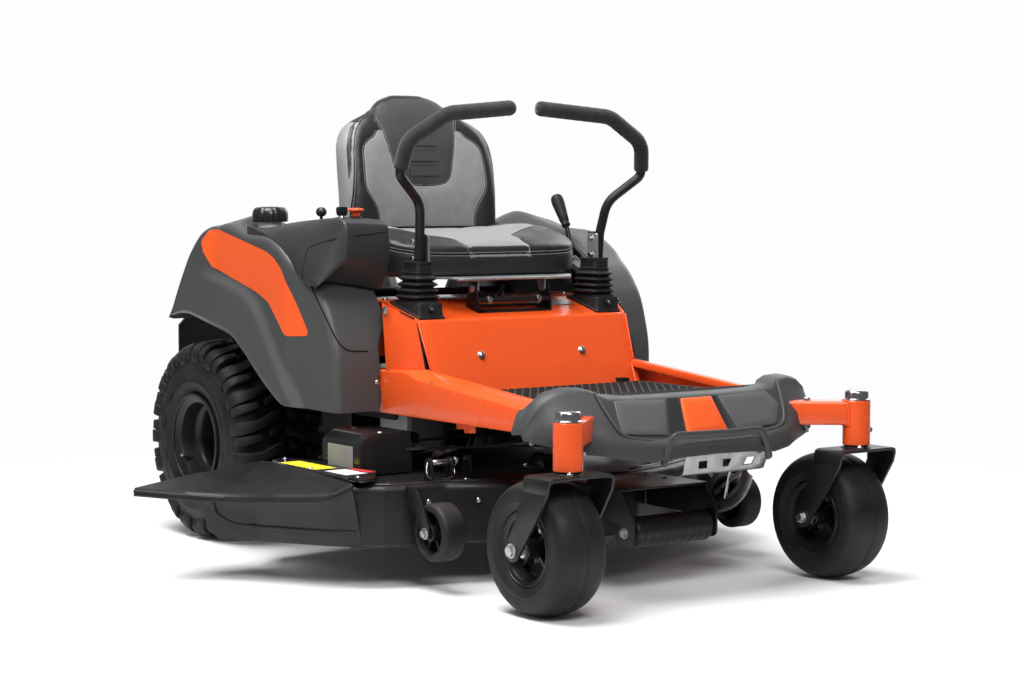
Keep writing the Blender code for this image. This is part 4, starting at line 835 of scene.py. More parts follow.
# ------------------------------------------------------- caster tubes and arms
bm = bmesh.new()
bz0, bz1 = 0.345, 0.397
sec = [(-1.262, bz0), (-1.214, bz0), (-1.214, bz1), (-1.262, bz1)]
plate(bm, sec, 'YZ', -0.262, 0.262)
for s in (1, -1):
    a, b = Vector((0.228 * s, -1.2310, 0)), Vector((0.3905 * s, -1.3700, 0))
    n = Vector((-(b - a).y, (b - a).x, 0)).normalized() * 0.0245
    prism(bm, [(*(a + n).to_2d(), bz0), (*(b + n).to_2d(), bz0), (*(b - n).to_2d(), bz0), (*(a - n).to_2d(), bz0)],
          (0, 0, bz1 - bz0))
finish("front_beam_and_arms", bm, ORANGE, "frame", "front_axle", smooth=35, bevel=0.0055, segs=3, angle=40)
bm = bmesh.new()
for s in (1, -1):
    lathe(bm, [(0.0142, 0.3025), (0.0148, 0.3012), (0.0288, 0.3012), (0.0302, 0.3026), (0.0302, 0.3970), (0.0290, 0.3988),
               (0.0150, 0.3988), (0.0142, 0.3970)], (CX * s, CY, 0), (0, 0, 1), 64)
finish("caster_tubes", bm, ORANGE, "frame", smooth=30)
bm = bmesh.new()
for s in (1, -1):
    # weld beads where the arm meets the tube
    d = Vector((0.0, 0.0, 0)) + (Vector((0.228 * s, -1.2310, 0)) - Vector((0.3905 * s, -1.3700, 0))).normalized()
    n = Vector((-d.y, d.x, 0))
    for z in (bz0 - 0.0005, bz1 + 0.0005):
        pts = []
        for i in range(22):
            t = -1 + 2 * i / 21
            p = Vector((CX * s, CY, z)) + n * (t * 0.0245) + d * math.sqrt(max(0, 0.0302 ** 2 - (t * 0.0245) ** 2))
            pts.append(p)
        tube(bm, pts, [0.0024 + 0.0006 * math.sin(i * 2.1) for i in range(22)], 8)
    for t in (-1, 1):
        pts = [Vector((CX * s, CY, lerp(bz0, bz1, i / 21))) + n * (t * 0.0243) + d * 0.0180 for i in range(22)]
        tube(bm, pts, [0.0026 + 0.0006 * math.sin(i * 2.3) for i in range(22)], 8)
finish("caster_weld_beads", bm, ORANGE, "frame", smooth=60)
for s, side in SIDES:
    bm = bmesh.new()
    lathe(bm, [(0.0, 0.4212), (0.0190, 0.4210), (0.0228, 0.4200), (0.0246, 0.4184), (0.0256, 0.4165), (0.0260, 0.4140),
               (0.0260, 0.4030), (0.0276, 0.4016), (0.0296, 0.4008), (0.0298, 0.3996), (0.0290, 0.3990), (0.0, 0.3990)],
          (CX * s, CY, 0), (0, 0, 1), 64, cyclic=False)
    finish(side + "_chrome_cap", bm, CHROME, "frame", side + "_caster_cap", smooth=30)


# ----------------------------------------------------------- rails and panel
def rail_top(y):
    return interp([(-1.20, 0.4105), (-0.715, 0.4545), (-0.40, 0.4400)], y)


for s, side in SIDES:
    bm = bmesh.new()
    t = 0.003
    rings = []
    for y in (-1.192, -1.10, -0.95, -0.85, -0.735, -0.715, -0.690, -0.640, -0.600, -0.500, -0.402):
        zt = rail_top(y)
        ch = 0.0175 * sstep(-0.69, -0.73, y) if y > -0.73 else 0.0175
        ch = max(ch, 0.004)
        # web, chamfer, top flange with a down-turned lip, bottom flange
        out = [(0.3010, 0.350), (0.3310, 0.350), (0.3330, 0.352), (0.3330, zt - ch - 0.004), (0.3325, zt - ch),
               (0.3060 if ch > 0.01 else 0.329, zt - 0.0008), (0.3040 if ch > 0.01 else 0.327, zt), (0.2875, zt), (0.2852, zt - 0.002), (0.2852, zt - 0.016)]
        inn = [(0.2880, zt - 0.016), (0.2880, zt - 0.004), (0.2890, zt - t), (0.3040 if ch > 0.01 else 0.324, zt - t),
               (0.3292, zt - ch - 0.002), (0.3298, zt - ch - 0.005), (0.3298, 0.355), (0.3280, 0.3532), (0.3010, 0.3532)]
        rings.append([(x * s, y, z) for x, z in out + inn])
    loft(bm, rings)
    # side panel that rises behind the fender's edge, and the cheek leaning in to the front face
    cheek = [(0.3330, -0.617, 0.449), (0.3330, -0.600, 0.601), (0.2975, -0.6905, 0.5635), (0.3010, -0.7275, 0.4525)]
    n = Vector((0.9, -0.35, 0.1)).normalized()
    p3 = [Vector((x * s, y, z)) for x, y, z in cheek]
    prism(bm, p3, (-0.003 * s, 0.0012, 0))
    # turned-in top edge of the cheek
    a, b = Vector((0.3330 * s, -0.600, 0.601)), Vector((0.2975 * s, -0.6905, 0.5635))
    prism(bm, [a, b, b + Vector((-0.010 * s, 0.004, 0.001)), a + Vector((-0.014 * s, 0.006, 0.001))], (0, 0, -0.003))
    tabs = ((-0.945, -0.905), (-0.900, -0.862)) if s < 0 else ((-0.95, -0.862),)
    for k, (y0, y1) in enumerate(tabs):
        x0, x1 = sorted(((0.316 - 0.010 * k) * s, (0.3190 - 0.010 * k) * s))
        plate(bm, round_poly([(y0, 0.3505), (y0, 0.3330 + 0.004 * k), (y1, 0.3300 + 0.004 * k), (y1, 0.3505)], [0, 0.005, 0.005, 0]),
              'YZ', x0, x1)
    finish(side + "_rail_pressing", bm, ORANGE, "frame", side + "_rail", smooth=35, bevel=0.0012, segs=2, angle=38)
    # gusset from the front face to the rail
    bm = bmesh.new()
    prism(bm, [(0.2840 * s, -0.700, 0.4530), (0.2840 * s, -0.700, 0.3560), (0.2840 * s, -0.772, 0.3560),
               (0.2840 * s, -0.748, 0.4200), (0.2840 * s, -0.733, 0.4520)], (-0.0030 * s, 0, 0))
    prism(bm, [(0.2820 * s, -0.764, 0.386), (0.2820 * s, -0.733, 0.4545), (0.2990 * s, -0.7275, 0.4550),
               (0.3000 * s, -0.7560, 0.386)], (0, 0.0028, 0))
    finish(side + "_corner_gusset", bm, ORANGE, "frame", smooth=30, bevel=0.0006, segs=1)

# front panel: face, rolled top edge, ledge, riser
FACE = [(-0.7640, 0.3760), (-0.7330, 0.4550), (-0.6940, 0.5560), (-0.6925, 0.5595), (-0.6890, 0.5625), (-0.6840, 0.5640),
        (-0.6300, 0.5785), (-0.5640, 0.5966), (-0.5600, 0.5985), (-0.4900, 0.6020), (-0.4330, 0.6045), (-0.4300, 0.6020),
        (-0.4120, 0.4640)]
bm = bmesh.new()
rows = []
for y, z in FACE:
    w = interp([(0.37, 0.2830), (0.456, 0.2895), (0.560, 0.2965), (0.5985, 0.2965), (0.61, 0.2900)], z)
    rows.append([(w * (-1 + 2 * i / 24), y, z) for i in range(25)])
grid(bm, rows)
ob = finish("front_panel_sheet", bm, ORANGE, "frame", "front_panel", smooth=30, solid=(0.0028, -1.0), bevel=0.0008, segs=2,
            angle=40)
bm = bmesh.new()
for s in (1, -1):
    # folded side edge of the face
    pts = [(0.2905 * s, -0.7345, 0.4560), (0.2975 * s, -0.6945, 0.5585)]
    tube(bm, [Vector(p) for p in pts], 0.0022, 10, rounded=True)
finish("panel_folds", bm, ORANGE, "frame", smooth=60)
bm = bmesh.new()
for s in (1, -1):
    # painted shadow in the gap between face and cheek, and a dark box painted as the shade in the notch at the corner
    tube(bm, [(0.2998 * s, -0.7300, 0.4560), (0.2990 * s, -0.6935, 0.5570)], 0.0016, 8)
    tube(bm, [(0.3010 * s, -0.6850, 0.5672), (0.3150 * s, -0.6480, 0.5820)], 0.0017, 8)
    box(bm, (0.236 * s - 0.012, -0.7725, 0.4030), (0.236 * s + 0.012, -0.7480, 0.4130))
finish("panel_shadow_gaps", bm, HOLE_SHADE, "frame", smooth=60)
FN = Vector((0, -0.932, 0.362)).normalized()
bm = bmesh.new()
for s in (1, -1):
    c = Vector((0.144 * s, -0.7225, 0.4800))
    lathe(bm, [(0, 0), (0.0105, 0), (0.0105, 0.0010), (0.0094, 0.0018)] +
          [(0.0094 * math.cos(t), 0.0018 + 0.0060 * math.sin(t)) for t in [math.radians(a) for a in (15, 30, 45, 60, 75)]] +
          [(0, 0.0078)], c + FN * 0.0005, FN, 28, cyclic=False)
    hexhead(bm, (0.3335 * s, -0.6155, 0.5830), (s, 0, 0), 0.0078, 0.0052, washer=0.0100)
    hexhead(bm, (0.3300 * s, -0.7950, 0.4250), (-s * 1.0, 0, 0), 0.0070, 0.0050, washer=0.0092)
    hexhead(bm, (0.3300 * s, -1.0100, 0.4020), (-s * 1.0, 0, 0), 0.0070, 0.0050, washer=0.0092)
    dome(bm, (0.2600 * s, -0.5000, 0.6025), (0, 0, 1), 0.0075, 0.0045)
    dome(bm, (0.1550 * s, -0.5100, 0.6025), (0, 0, 1), 0.0075, 0.0045)
    # arm bolts
    q = (0.3150 * s, -1.3050, 0.3970)
    hexhead(bm, q, (0, 0, 1), 0.0078, 0.0052, washer=0.0100)
    q = (0.3150 * s, -1.3050, 0.3450)
    hexhead(bm, q, (0, 0, -1), 0.0088, 0.0070, washer=0.0118)
    rod(bm, (0.3150 * s, -1.3050, 0.340), (0.3150 * s, -1.3050, 0.3270), 0.0046, 14, 0.0012)
    # bolts under the bumper wings
    q = (0.3560 * s, -1.2000, 0.3540)
    hexhead(bm, q, (0, 0, -1), 0.0095, 0.0075, washer=0.0135)
    rod(bm, q, (0.3560 * s, -1.2000, 0.3330), 0.0046, 14, 0.0012)
    q = (CX * s + 0.0290 * s * 0 + 0.0270, CY - 0.012, 0.3330)
    hexhead(bm, q, (1, -0.3, 0), 0.0058, 0.0050, washer=0.0075)
finish("front_frame_fasteners", bm, ZINC, "frame", smooth=30)


# ------------------------------------------------------------------ footrest
bm = bmesh.new()
# floor pan with a kicked-up front, textured mat laid on it
rows = []
for y, z in ((-0.782, 0.4050), (-0.90, 0.4050), (-1.10, 0.4055), (-1.150, 0.4065), (-1.185, 0.4120), (-1.215, 0.4215),
             (-1.240, 0.4290), (-1.2520, 0.4312)):
    rows.append([(x, y, z) for x in [0.281 * (-1 + 2 * i / 20) for i in range(21)]])
grid(bm, rows)
finish("floor_pan", bm, BUMPER, "frame", smooth=40, solid=(0.004, -1.0))
bm = bmesh.new()
rows = []
for y, z in ((-0.800, 0.4075), (-0.90, 0.4075), (-1.10, 0.4080), (-1.152, 0.4092), (-1.187, 0.4148), (-1.217, 0.4243),
             (-1.2480, 0.4335), (-1.2540, 0.4338), (-1.2575, 0.4300)):
    rows.append([(x, y, z) for x in [0.246 * (-1 + 2 * i / 60) for i in range(61)]])
grid(bm, rows)
# rows of moulded pips along the mat
for j in range(30):
    y = -0.815 - j * 0.0140
    z = interp([(-1.2480, 0.4335), (-1.217, 0.4243), (-1.187, 0.4148), (-1.152, 0.4092), (-1.10, 0.4080), (-0.8, 0.4075)], y)
    for i in range(23):
        x = -0.2310 + i * 0.0210 + (0.0105 if j % 2 else 0)
        if abs(x) > 0.236:
            continue
        prism(bm, [(x - 0.0060, y - 0.0018, z), (x + 0.0060, y - 0.0018, z), (x + 0.0060, y + 0.0018, z),
                   (x - 0.0060, y + 0.0018, z)], (0, 0, 0.0022))
finish("foot_mat", bm, MAT, "frame", smooth=35)

# bumper: sections across the machine from the middle out to each wing
def bumper_section(x):
    """Outline of the bumper in (y, z) at half width x, from the rear of the crest round the nose to the lower lip."""
    T = [
        # x, crest y, z, nose top y, z, nose y, z, low y, z, lip y, z
        (0.000, -1.2560, 0.4300, -1.2900, 0.4225, -1.3400, 0.3440, -1.3620, 0.3300, -1.3700, 0.3080),
        (0.090, -1.2560, 0.4300, -1.2895, 0.4225, -1.3395, 0.3440, -1.3610, 0.3300, -1.3690, 0.3060),
        (0.170, -1.2550, 0.4310, -1.2885, 0.4235, -1.3370, 0.3460, -1.3560, 0.3300, -1.3620, 0.3000),
        (0.222, -1.2500, 0.4360, -1.2860, 0.4270, -1.3310, 0.3560, -1.3470, 0.3360, -1.3480, 0.3060),
        (0.240, -1.2400, 0.4440, -1.2840, 0.4330, -1.3270, 0.3620, -1.3410, 0.3370, -1.3400, 0.3110),
        (0.262, -1.2280, 0.4500, -1.2700, 0.4440, -1.3090, 0.3820, -1.3300, 0.3370, -1.3270, 0.3150),
        (0.300, -1.2220, 0.4515, -1.2560, 0.4470, -1.2880, 0.3960, -1.3090, 0.3400, -1.3060, 0.3200),
        (0.335, -1.2200, 0.4450, -1.2480, 0.4390, -1.2760, 0.3920, -1.2900, 0.3440, -1.2880, 0.3260),
        (0.362, -1.2180, 0.4290, -1.2400, 0.4220, -1.2600, 0.3860, -1.2700, 0.3500, -1.2680, 0.3360),
        (0.380, -1.2160, 0.4000, -1.2290, 0.3950, -1.2420, 0.3720, -1.2480, 0.3520, -1.2460, 0.3420),
        (0.392, -1.2140, 0.3660, -1.2200, 0.3640, -1.2260, 0.3560, -1.2280, 0.3500, -1.2270, 0.3460),
    ]
    v = interp(T, x)
    return [(v[i], v[i + 1]) for i in range(0, 10, 2)]


bm = bmesh.new()
rings = []
XS = [0.392, 0.388, 0.380, 0.372, 0.362, 0.350, 0.335, 0.318, 0.300, 0.280, 0.262, 0.250, 0.240, 0.231, 0.222, 0.205, 0.170,
      0.130, 0.090, 0.045]
XS = [-x for x in XS] + [0.0] + XS[::-1]
for x in XS:
    ax = abs(x)
    crest, top, nose, low, lip = bumper_section(ax)
    # the back drops to the floor on the wings
    wing = sstep(0.225, 0.270, ax)
    back = [(lerp(-1.2500, -1.1780, wing), lerp(0.4230, 0.4060, wing)),
            (lerp(-1.2500, -1.1950, wing), lerp(0.4250, lerp(0.4280, 0.3720, sstep(0.33, 0.392, ax)), wing))]
    back0 = (back[0][0], min(back[0][1], crest[1] - 0.006))
    back1 = (back[1][0], min(back[1][1] + 0.010 * wing, crest[1] - 0.003))
    pts = [back0, back1, (crest[0] + 0.006, crest[1] - 0.0012), crest, (lerp(crest[0], top[0], 0.5), lerp(crest[1], top[1], 0.5) + 0.0015),
           top, (top[0] - 0.0032, top[1] - 0.0040)]
    for t in (0.2, 0.4, 0.6, 0.8):
        pts.append((lerp(top[0], nose[0], t), lerp(top[1], nose[1], t) - 0.0012))
    pts += [nose, (lerp(nose[0], low[0], 0.55), lerp(nose[1], low[1], 0.30)), low, (low[0] + 0.0015, lerp(low[1], lip[1], 0.5)), lip]
    # inner side, 5 mm in
    inner = [(lip[0] + 0.006, lip[1] + 0.001), (low[0] + 0.008, low[1] - 0.004), (nose[0] + 0.008, nose[1] - 0.006),
             (top[0] + 0.004, top[1] - 0.010), (crest[0] + 0.002, crest[1] - 0.008), (back0[0] - 0.004, back0[1] - 0.006)]
    rings.append([(x, y, z) for y, z in pts + inner])
loft(bm, rings)
finish("bumper_moulding", bm, BUMPER, "frame", ("footrest",), smooth=50, bevel=0.0015, segs=2, angle=48)


def on_face(x, t, off=0.0):
    """A point on the bumper's sloping face: t = 0 at its top, 1 at its foot."""
    crest, top, nose, low, lip = bumper_section(abs(x))
    d = Vector((0, nose[0] - top[0], nose[1] - top[1])).normalized()
    n = Vector((0, d.z, -d.y)) * (1 if d.z < 0 else -1)
    p = Vector((x, lerp(top[0], nose[0], t), lerp(top[1], nose[1], t)))
    n = Vector((0, -abs(n.y), abs(n.z)))
    return p + n * off


def face_panel(name, quad, m, lift=0.0032, sink=-0.004, rim=0.004):
    """A raised pad on the face: corners as (x, t)."""
    bm = bmesh.new()
    poly = round_poly(quad, [0.006] * len(quad), 4)
    cx, cy = sum(p[0] for p in poly) / len(poly), sum(p[1] for p in poly) / len(poly)
    rings = []
    for f, off in ((1.0, sink), (1.0, lift * 0.4), (0.992, lift * 0.85), (0.975, lift), (0.6, lift * 1.05), (0.2, lift * 1.08)):
        rings.append([on_face(cx + (x - cx) * f, cy + (t - cy) * f, off) for x, t in poly])
    loft(bm, rings)
    return finish(name, bm, m, "frame", smooth=50)


face_panel("bumper_pad_right", [(-0.212, 0.05), (-0.078, 0.05), (-0.106, 0.93), (-0.224, 0.97)], PANEL)
face_panel("bumper_pad_left", [(0.068, 0.05), (0.205, 0.05), (0.228, 0.50), (0.200, 0.95), (0.084, 0.93)], PANEL)
face_panel("bumper_badge_pad", [(-0.036, 0.05), (0.047, 0.05), (0.058, 0.93), (-0.054, 0.95)], DECAL, lift=0.0040)
bm = bmesh.new()
for quad in ([(-0.070, 0.02), (-0.041, 0.02), (-0.060, 0.97), (-0.100, 0.97)], [(0.051, 0.02), (0.062, 0.02), (0.074, 0.97), (0.062, 0.97)]):
    for x0, x1 in ((0, 1),):
        a, b, c_, d = quad
        pts = [on_face(*a, 0.0012), on_face(*b, 0.0012), on_face(*c_, 0.0012), on_face(*d, 0.0012)]
        prism(bm, pts, (0, 0.004, -0.004))
finish("bumper_channels", bm, DGREY, "frame", smooth=40)
# lower frame round the step opening: a raised rounded lip
bm = bmesh.new()
lip = [(-0.132, -1.3560, 0.2930), (-0.124, -1.3600, 0.3250), (-0.116, -1.3640, 0.3440), (-0.104, -1.3670, 0.3520),
       (-0.060, -1.3680, 0.3510), (0.040, -1.3680, 0.3495), (0.110, -1.3660, 0.3500), (0.128, -1.3640, 0.3460),
       (0.142, -1.3620, 0.3280), (0.154, -1.3580, 0.3000), (0.160, -1.3540, 0.2890)]
tube(bm, smooth_path(lip, 6), 0.0085, 14, ry=0.0055, rounded=True)
lip2 = [(-0.112, -1.3500, 0.3000), (-0.104, -1.3530, 0.3220), (-0.094, -1.3560, 0.3310), (0.060, -1.3570, 0.3320),
        (0.116, -1.3550, 0.3320), (0.130, -1.3530, 0.3220), (0.138, -1.3500, 0.3000)]
tube(bm, smooth_path(lip2, 6), 0.0050, 12, ry=0.0040, rounded=True)
finish("bumper_lower_frame", bm, BUMPER, "frame", smooth=60)
# crease lines on the wings
bm = bmesh.new()
for s in (1, -1):
    pts = []
    for x, t in ((0.252, -0.02), (0.246, 0.30), (0.238, 0.62), (0.228, 0.90), (0.214, 1.02)):
        pts.append(on_face(x * s, t, 0.0012))
    pts2 = [on_face(0.190 * s, 1.05, 0.001), on_face(0.150 * s, 1.05, 0.0005)]
    tube(bm, smooth_path(pts + pts2, 5), 0.0042, 10, rounded=True)
finish("bumper_face_rims", bm, BUMPER, "frame", smooth=60)

# step plate and its curved brace
bm = bmesh.new()
def strip(pts, x0, x1, th):
    rows = [[(x, y, z) for x in (x0, (x0 + x1) / 2, x1)] for y, z in pts]
    return rows
XA, XB = -0.060, 0.176
face = [(-1.3180, 0.3170), (-1.3330, 0.3090), (-1.3370, 0.3050), (-1.3360, 0.3000), (-1.3230, 0.2650), (-1.3200, 0.2610), (-1.3080, 0.2580)]
slots = ((-0.020, 0.003), (0.047, 0.070), (0.114, 0.137))
cols = [XA, slots[0][0], slots[0][1], slots[1][0], slots[1][1], slots[2][0], slots[2][1], XB]
fy = [(-1.3150, 0.3190), (-1.3330, 0.3090), (-1.3372, 0.3040), (-1.3330, 0.2900), (-1.3270, 0.2740), (-1.3225, 0.2640), (-1.3100, 0.2600)]
vs = [[bm.verts.new((x + (0.010 if j > 3 else 0) * (1 if x < 0.06 else -1) * 0.4, y, z)) for x in cols] for j, (y, z) in enumerate(fy)]
for j in range(len(fy) - 1):
    for i in range(len(cols) - 1):
        if i in (1, 3, 5) and j in (3,):
            continue
        bm.faces.new((vs[j][i], vs[j][i + 1], vs[j + 1][i + 1], vs[j + 1][i]))
finish("step_plate_pressing", bm, STEEL, "frame", ("step_plate",), smooth=30, solid=(0.0030, 1.0), bevel=0.0012, segs=2, angle=35)
bm = bmesh.new()
arc = []
for i in range(17):
    t = i / 16
    a = math.radians(8 + 92 * t)
    arc.append((-1.312 + 0.135 * (1 - math.cos(a)) * 0.98, 0.262 - 0.098 * math.sin(a)))
outer = arc
innerarc = [(y + 0.013 * (1 - i / 16) + 0.004, z + 0.016) for i, (y, z) in enumerate(arc)]
for x0, x1 in ((0.1400, 0.1435),):
    plate(bm, outer + innerarc[::-1], 'YZ', x0, x1)
    tube(bm, [((x0 + x1) / 2, y, z) for y, z in outer], 0.0038, 8, ry=0.013)
for (y0, z0), (y1, z1) in (((-1.300, 0.262), (-1.200, 0.196)), ((-1.255, 0.262), (-1.235, 0.188)), ((-1.300, 0.262), (-1.19, 0.262))):
    a, b = Vector((0.1418, y0, z0)), Vector((0.1418, y1, z1))
    tube(bm, [a, b], 0.0045, 8, ry=0.0022)
finish("step_brace", bm, STEEL, "frame", smooth=40)
bm = bmesh.new()
for x, z in ((-0.048, 0.325), (0.165, 0.322)):
    hexhead(bm, (x, -1.3180, z - 0.006), (0, -0.6, 0.8), 0.0075, 0.0055, washer=0.0095)
finish("step_bolts", bm, ZINC, "frame", smooth=30)


# ------------------------------------------------------------ draping on skins
def bvh_of(ob):
    me = ob.data
    return BVHTree.FromPolygons([v.co.copy() for v in me.vertices], [tuple(p.vertices) for p in me.polygons])


def drape(name, outline, axis, start, direction, tree, m, body, off=0.0009, step=0.012, thick=0.0, gap=0.06):
    """Lays a flat outline onto a skin: outline in the two axes other than `axis`, cast from `start` along `direction`."""
    bm = bmesh.new()
    a, b = [i for i in range(3) if i != axis]

    def at(p):
        v = Vector((0, 0, 0))
        v[a], v[b], v[axis] = p[0], p[1], start
        return v
    f = bm.faces.new([bm.verts.new(at(p)) for p in outline])
    for i in (0, 1):
        lo, hi = min(p[i] for p in outline), max(p[i] for p in outline)
        k = lo + step
        ax = a if i == 0 else b
        while k < hi - step * 0.3:
            co, no = Vector((0, 0, 0)), Vector((0, 0, 0))
            co[ax], no[ax] = k, 1.0
            bmesh.ops.bisect_plane(bm, geom=bm.verts[:] + bm.edges[:] + bm.faces[:], plane_co=co, plane_no=no, dist=1e-6)
            k += step
    d = Vector(direction).normalized()
    last = None
    for v in bm.verts:
        hit = tree.ray_cast(v.co + O, d)
        if hit[0] is not None:
            v.co = hit[0] - O - d * off
            last = v.co[axis]
        elif last is not None:
            v.co[axis] = last
    n = sum((f.normal * f.calc_area() for f in bm.faces), Vector((0, 0, 0)))
    bm.normal_update()
    n = sum((f.normal * f.calc_area() for f in bm.faces), Vector((0, 0, 0)))
    if n.dot(d) > 0:
        bmesh.ops.reverse_faces(bm, faces=bm.faces)
    return finish(name, bm, m, body, smooth=40, recalc=False, solid=(thick, 1.0) if thick else None)


def onto(tree, p, d, off=0.0):
    """A machine-frame point cast along d onto a skin."""
    d = Vector(d).normalized()
    hit = tree.ray_cast(Vector(p) + O, d)
    return (hit[0] - O - d * off) if hit[0] is not None else Vector(p)


# -------------------------------------------------------------------- fenders
EYE = Vector((-3.082, -4.884, 0.8603))


def sight(tree, p, off=0.0):
    """Where the straight line from the viewpoint through p meets a moulding."""
    e = EYE + O
    q = Vector(p) + O
    hit, nrm, _, _ = tree.ray_cast(e, (q - e).normalized())
    if hit is None:
        return None
    if nrm.dot(q - e) > 0:
        nrm = -nrm
    return hit + nrm * off - O


TOPLINE = [(-0.598, 0.355), (-0.598, 0.485), (-0.560, 0.593), (-0.505, 0.655), (-0.430, 0.702), (-0.385, 0.730),
           (-0.325, 0.752), (-0.240, 0.777), (-0.142, 0.802), (-0.085, 0.789), (-0.036, 0.744), (0.006, 0.706),
           (0.054, 0.639), (0.120, 0.538)]
LOWLINE = [(-0.430, 0.3625), (-0.402, 0.3690), (-0.345, 0.4000), (-0.300, 0.4300), (-0.255, 0.4640), (-0.225, 0.4840),
           (-0.186, 0.5090), (-0.130, 0.5220), (-0.060, 0.5360), (-0.020, 0.5440), (0.020, 0.5520), (0.045, 0.5540),
           (0.080, 0.5520), (0.112, 0.5440)]
RIDGE_T = [(0.300, 0.700), (0.050, 0.684), (-0.040, 0.676), (-0.083, 0.669), (-0.184, 0.652), (-0.266, 0.631), (-0.306, 0.608),
           (-0.348, 0.563), (-0.395, 0.503), (-0.443, 0.440), (-0.488, 0.385), (-0.530, 0.330), (-0.580, 0.260)]
RIDGE_B = [(0.300, 0.672), (0.050, 0.654), (-0.010, 0.646), (-0.050, 0.638), (-0.176, 0.616), (-0.252, 0.594), (-0.290, 0.566),
           (-0.336, 0.505), (-0.374, 0.455), (-0.424, 0.395), (-0.466, 0.340), (-0.520, 0.262)]


def dense(line, k, win=2):
    """Straight runs with softly rounded corners, k samples per run."""
    out = []
    for (ay, az), (by, bz) in zip(line, line[1:]):
        for j in range(k):
            out.append((lerp(ay, by, j / k), lerp(az, bz, j / k)))
    out.append(line[-1])
    n = len(out)
    res = []
    for i in range(n):
        w = min(win, i, n - 1 - i)
        seg = out[i - w:i + w + 1]
        res.append((sum(p[0] for p in seg) / len(seg), sum(p[1] for p in seg) / len(seg)))
    return res


def near_line(p, line):
    """Distance to a polyline, signed by side."""
    best = (1e9, 1)
    for (ax, ay), (bx, by) in zip(line, line[1:]):
        ex, ey = bx - ax, by - ay
        t = max(0.0, min(1.0, ((p[0] - ax) * ex + (p[1] - ay) * ey) / (ex * ex + ey * ey)))
        qx, qy = p[0] - ax - ex * t, p[1] - ay - ey * t
        d = math.hypot(qx, qy)
        if d < best[0] - 1e-9:
            best = (d, 1 if ex * qy - ey * qx < 0 else -1)
    return best[0] * best[1]


def fender_side_x(y):
    x = 0.4995 - sstep(-0.415, -0.470, y) * 0.006
    return x - max(0.0, (-0.430 - y) / 0.168) * 0.0225


NECK = Vector((-0.400, -0.215))
CREST = 1 if near_line((-0.24, 0.76), RIDGE_T) > 0 else -1


def sgn(v):
    return 1 if v > 0 else -1


def fender_skin(s, side):
    bm = bmesh.new()
    K = 7
    top, low = dense(TOPLINE, K), dense(LOWLINE, K)
    N = len(top)
    rows = []
    R = 0.017
    for i, ((y, z), (ly, lz)) in enumerate(zip(top, low)):
        d = Vector((ly - y, lz - (z - 0.023 * sstep(-0.350, -0.230, y) * (1 - sstep(-0.105, -0.045, y)))))
        Ln = d.length
        d.normalize()
        xs = fender_side_x(y)
        def skin_x(yy, zz):
            dT, dB = near_line((yy, zz), RIDGE_T), near_line((yy, zz), RIDGE_B)
            w = max(0.0, min(1.0, abs(dT) / max(1e-6, abs(dT) + abs(dB))))
            if sgn(dT) == CREST:
                w = 0.0
            elif sgn(dB) != CREST:
                w = 1.0
            w = sstep(0.12, 0.88, w)
            return fender_side_x(yy) - 0.0165 * sstep(-0.025, -0.110, yy) * (1 - w)
        zi = z
        z = z - 0.023 * sstep(-0.350, -0.230, y) * (1 - sstep(-0.105, -0.045, y))
        xc = skin_x(y, z)
        drop = 0.030 * max(0.0, min(1.0, (zi - 0.66) / 0.10))
        inner = lerp(0.338, 0.312, sstep(0.50, 0.56, z))
        row = []
        # inner flange turned down
        row.append((inner, y, zi - drop - 0.010))
        m = 26
        for j in range(m):
            t = j / (m - 1)
            x = lerp(inner, xc - R, t)
            zz = zi - drop * max(0.0, 1 - t / 0.5) ** 1.2 - (zi - z) * max(0.0, (t - 0.42) / 0.58)
            if s < 0:
                r = (Vector((-x, y)) - NECK).length
                if r < 0.066 and y > -0.31:
                    zz = min(zz, lerp(0.7440, zz, sstep(0.047, 0.064, r)))
            row.append((x, y, zz))
        for a in (18, 36, 54, 72, 90):
            a = math.radians(a)
            dd = min(R * (1 - math.cos(a)), Ln * 0.5)
            yy, zz = y + d.x * dd, z + d.y * dd
            row.append((skin_x(yy, zz) - R + R * math.sin(a), yy, zz))
        M = 40
        for j in range(1, M + 1):
            t = lerp(min(R / Ln, 0.5), 1.0, j / M)
            yy, zz = lerp(y, ly, t), lerp(z, lz, t)
            xx = skin_x(yy, zz)
            # the lower edge is turned in a little
            if j > M - 3:
                xx -= 0.0012 * (j - (M - 3)) ** 2
            row.append((xx, yy, zz))
        rows.append([(x * s, y_, z_) for x, y_, z_ in row])
    fs = grid(bm, rows)
    if s > 0:
        # slot for the height lever
        for v in list(bm.verts):
            pass
        doomed = [f for f in bm.faces if abs(f.calc_center_median().x - 0.350) < 0.011 and -0.466 < f.calc_center_median().y < -0.322
                  and f.calc_center_median().z > 0.64]
        bmesh.ops.delete(bm, geom=doomed, context='FACES')
    else:
        doomed = [f for f in bm.faces if (f.calc_center_median().to_2d() - NECK).length < 0.0415 and f.calc_center_median().z > 0.70]
        bmesh.ops.delete(bm, geom=doomed, context='FACES')
    bm.normal_update()
    big = max(bm.faces, key=lambda f: f.calc_area())
    if big.normal.x * s < 0:
        bmesh.ops.reverse_faces(bm, faces=bm.faces)
    return finish(side + "_fender_moulding", bm, GREY, "frame", side + "_fender", smooth=50, recalc=False,
                  solid=(0.0036, -1.0), weld=2e-5)


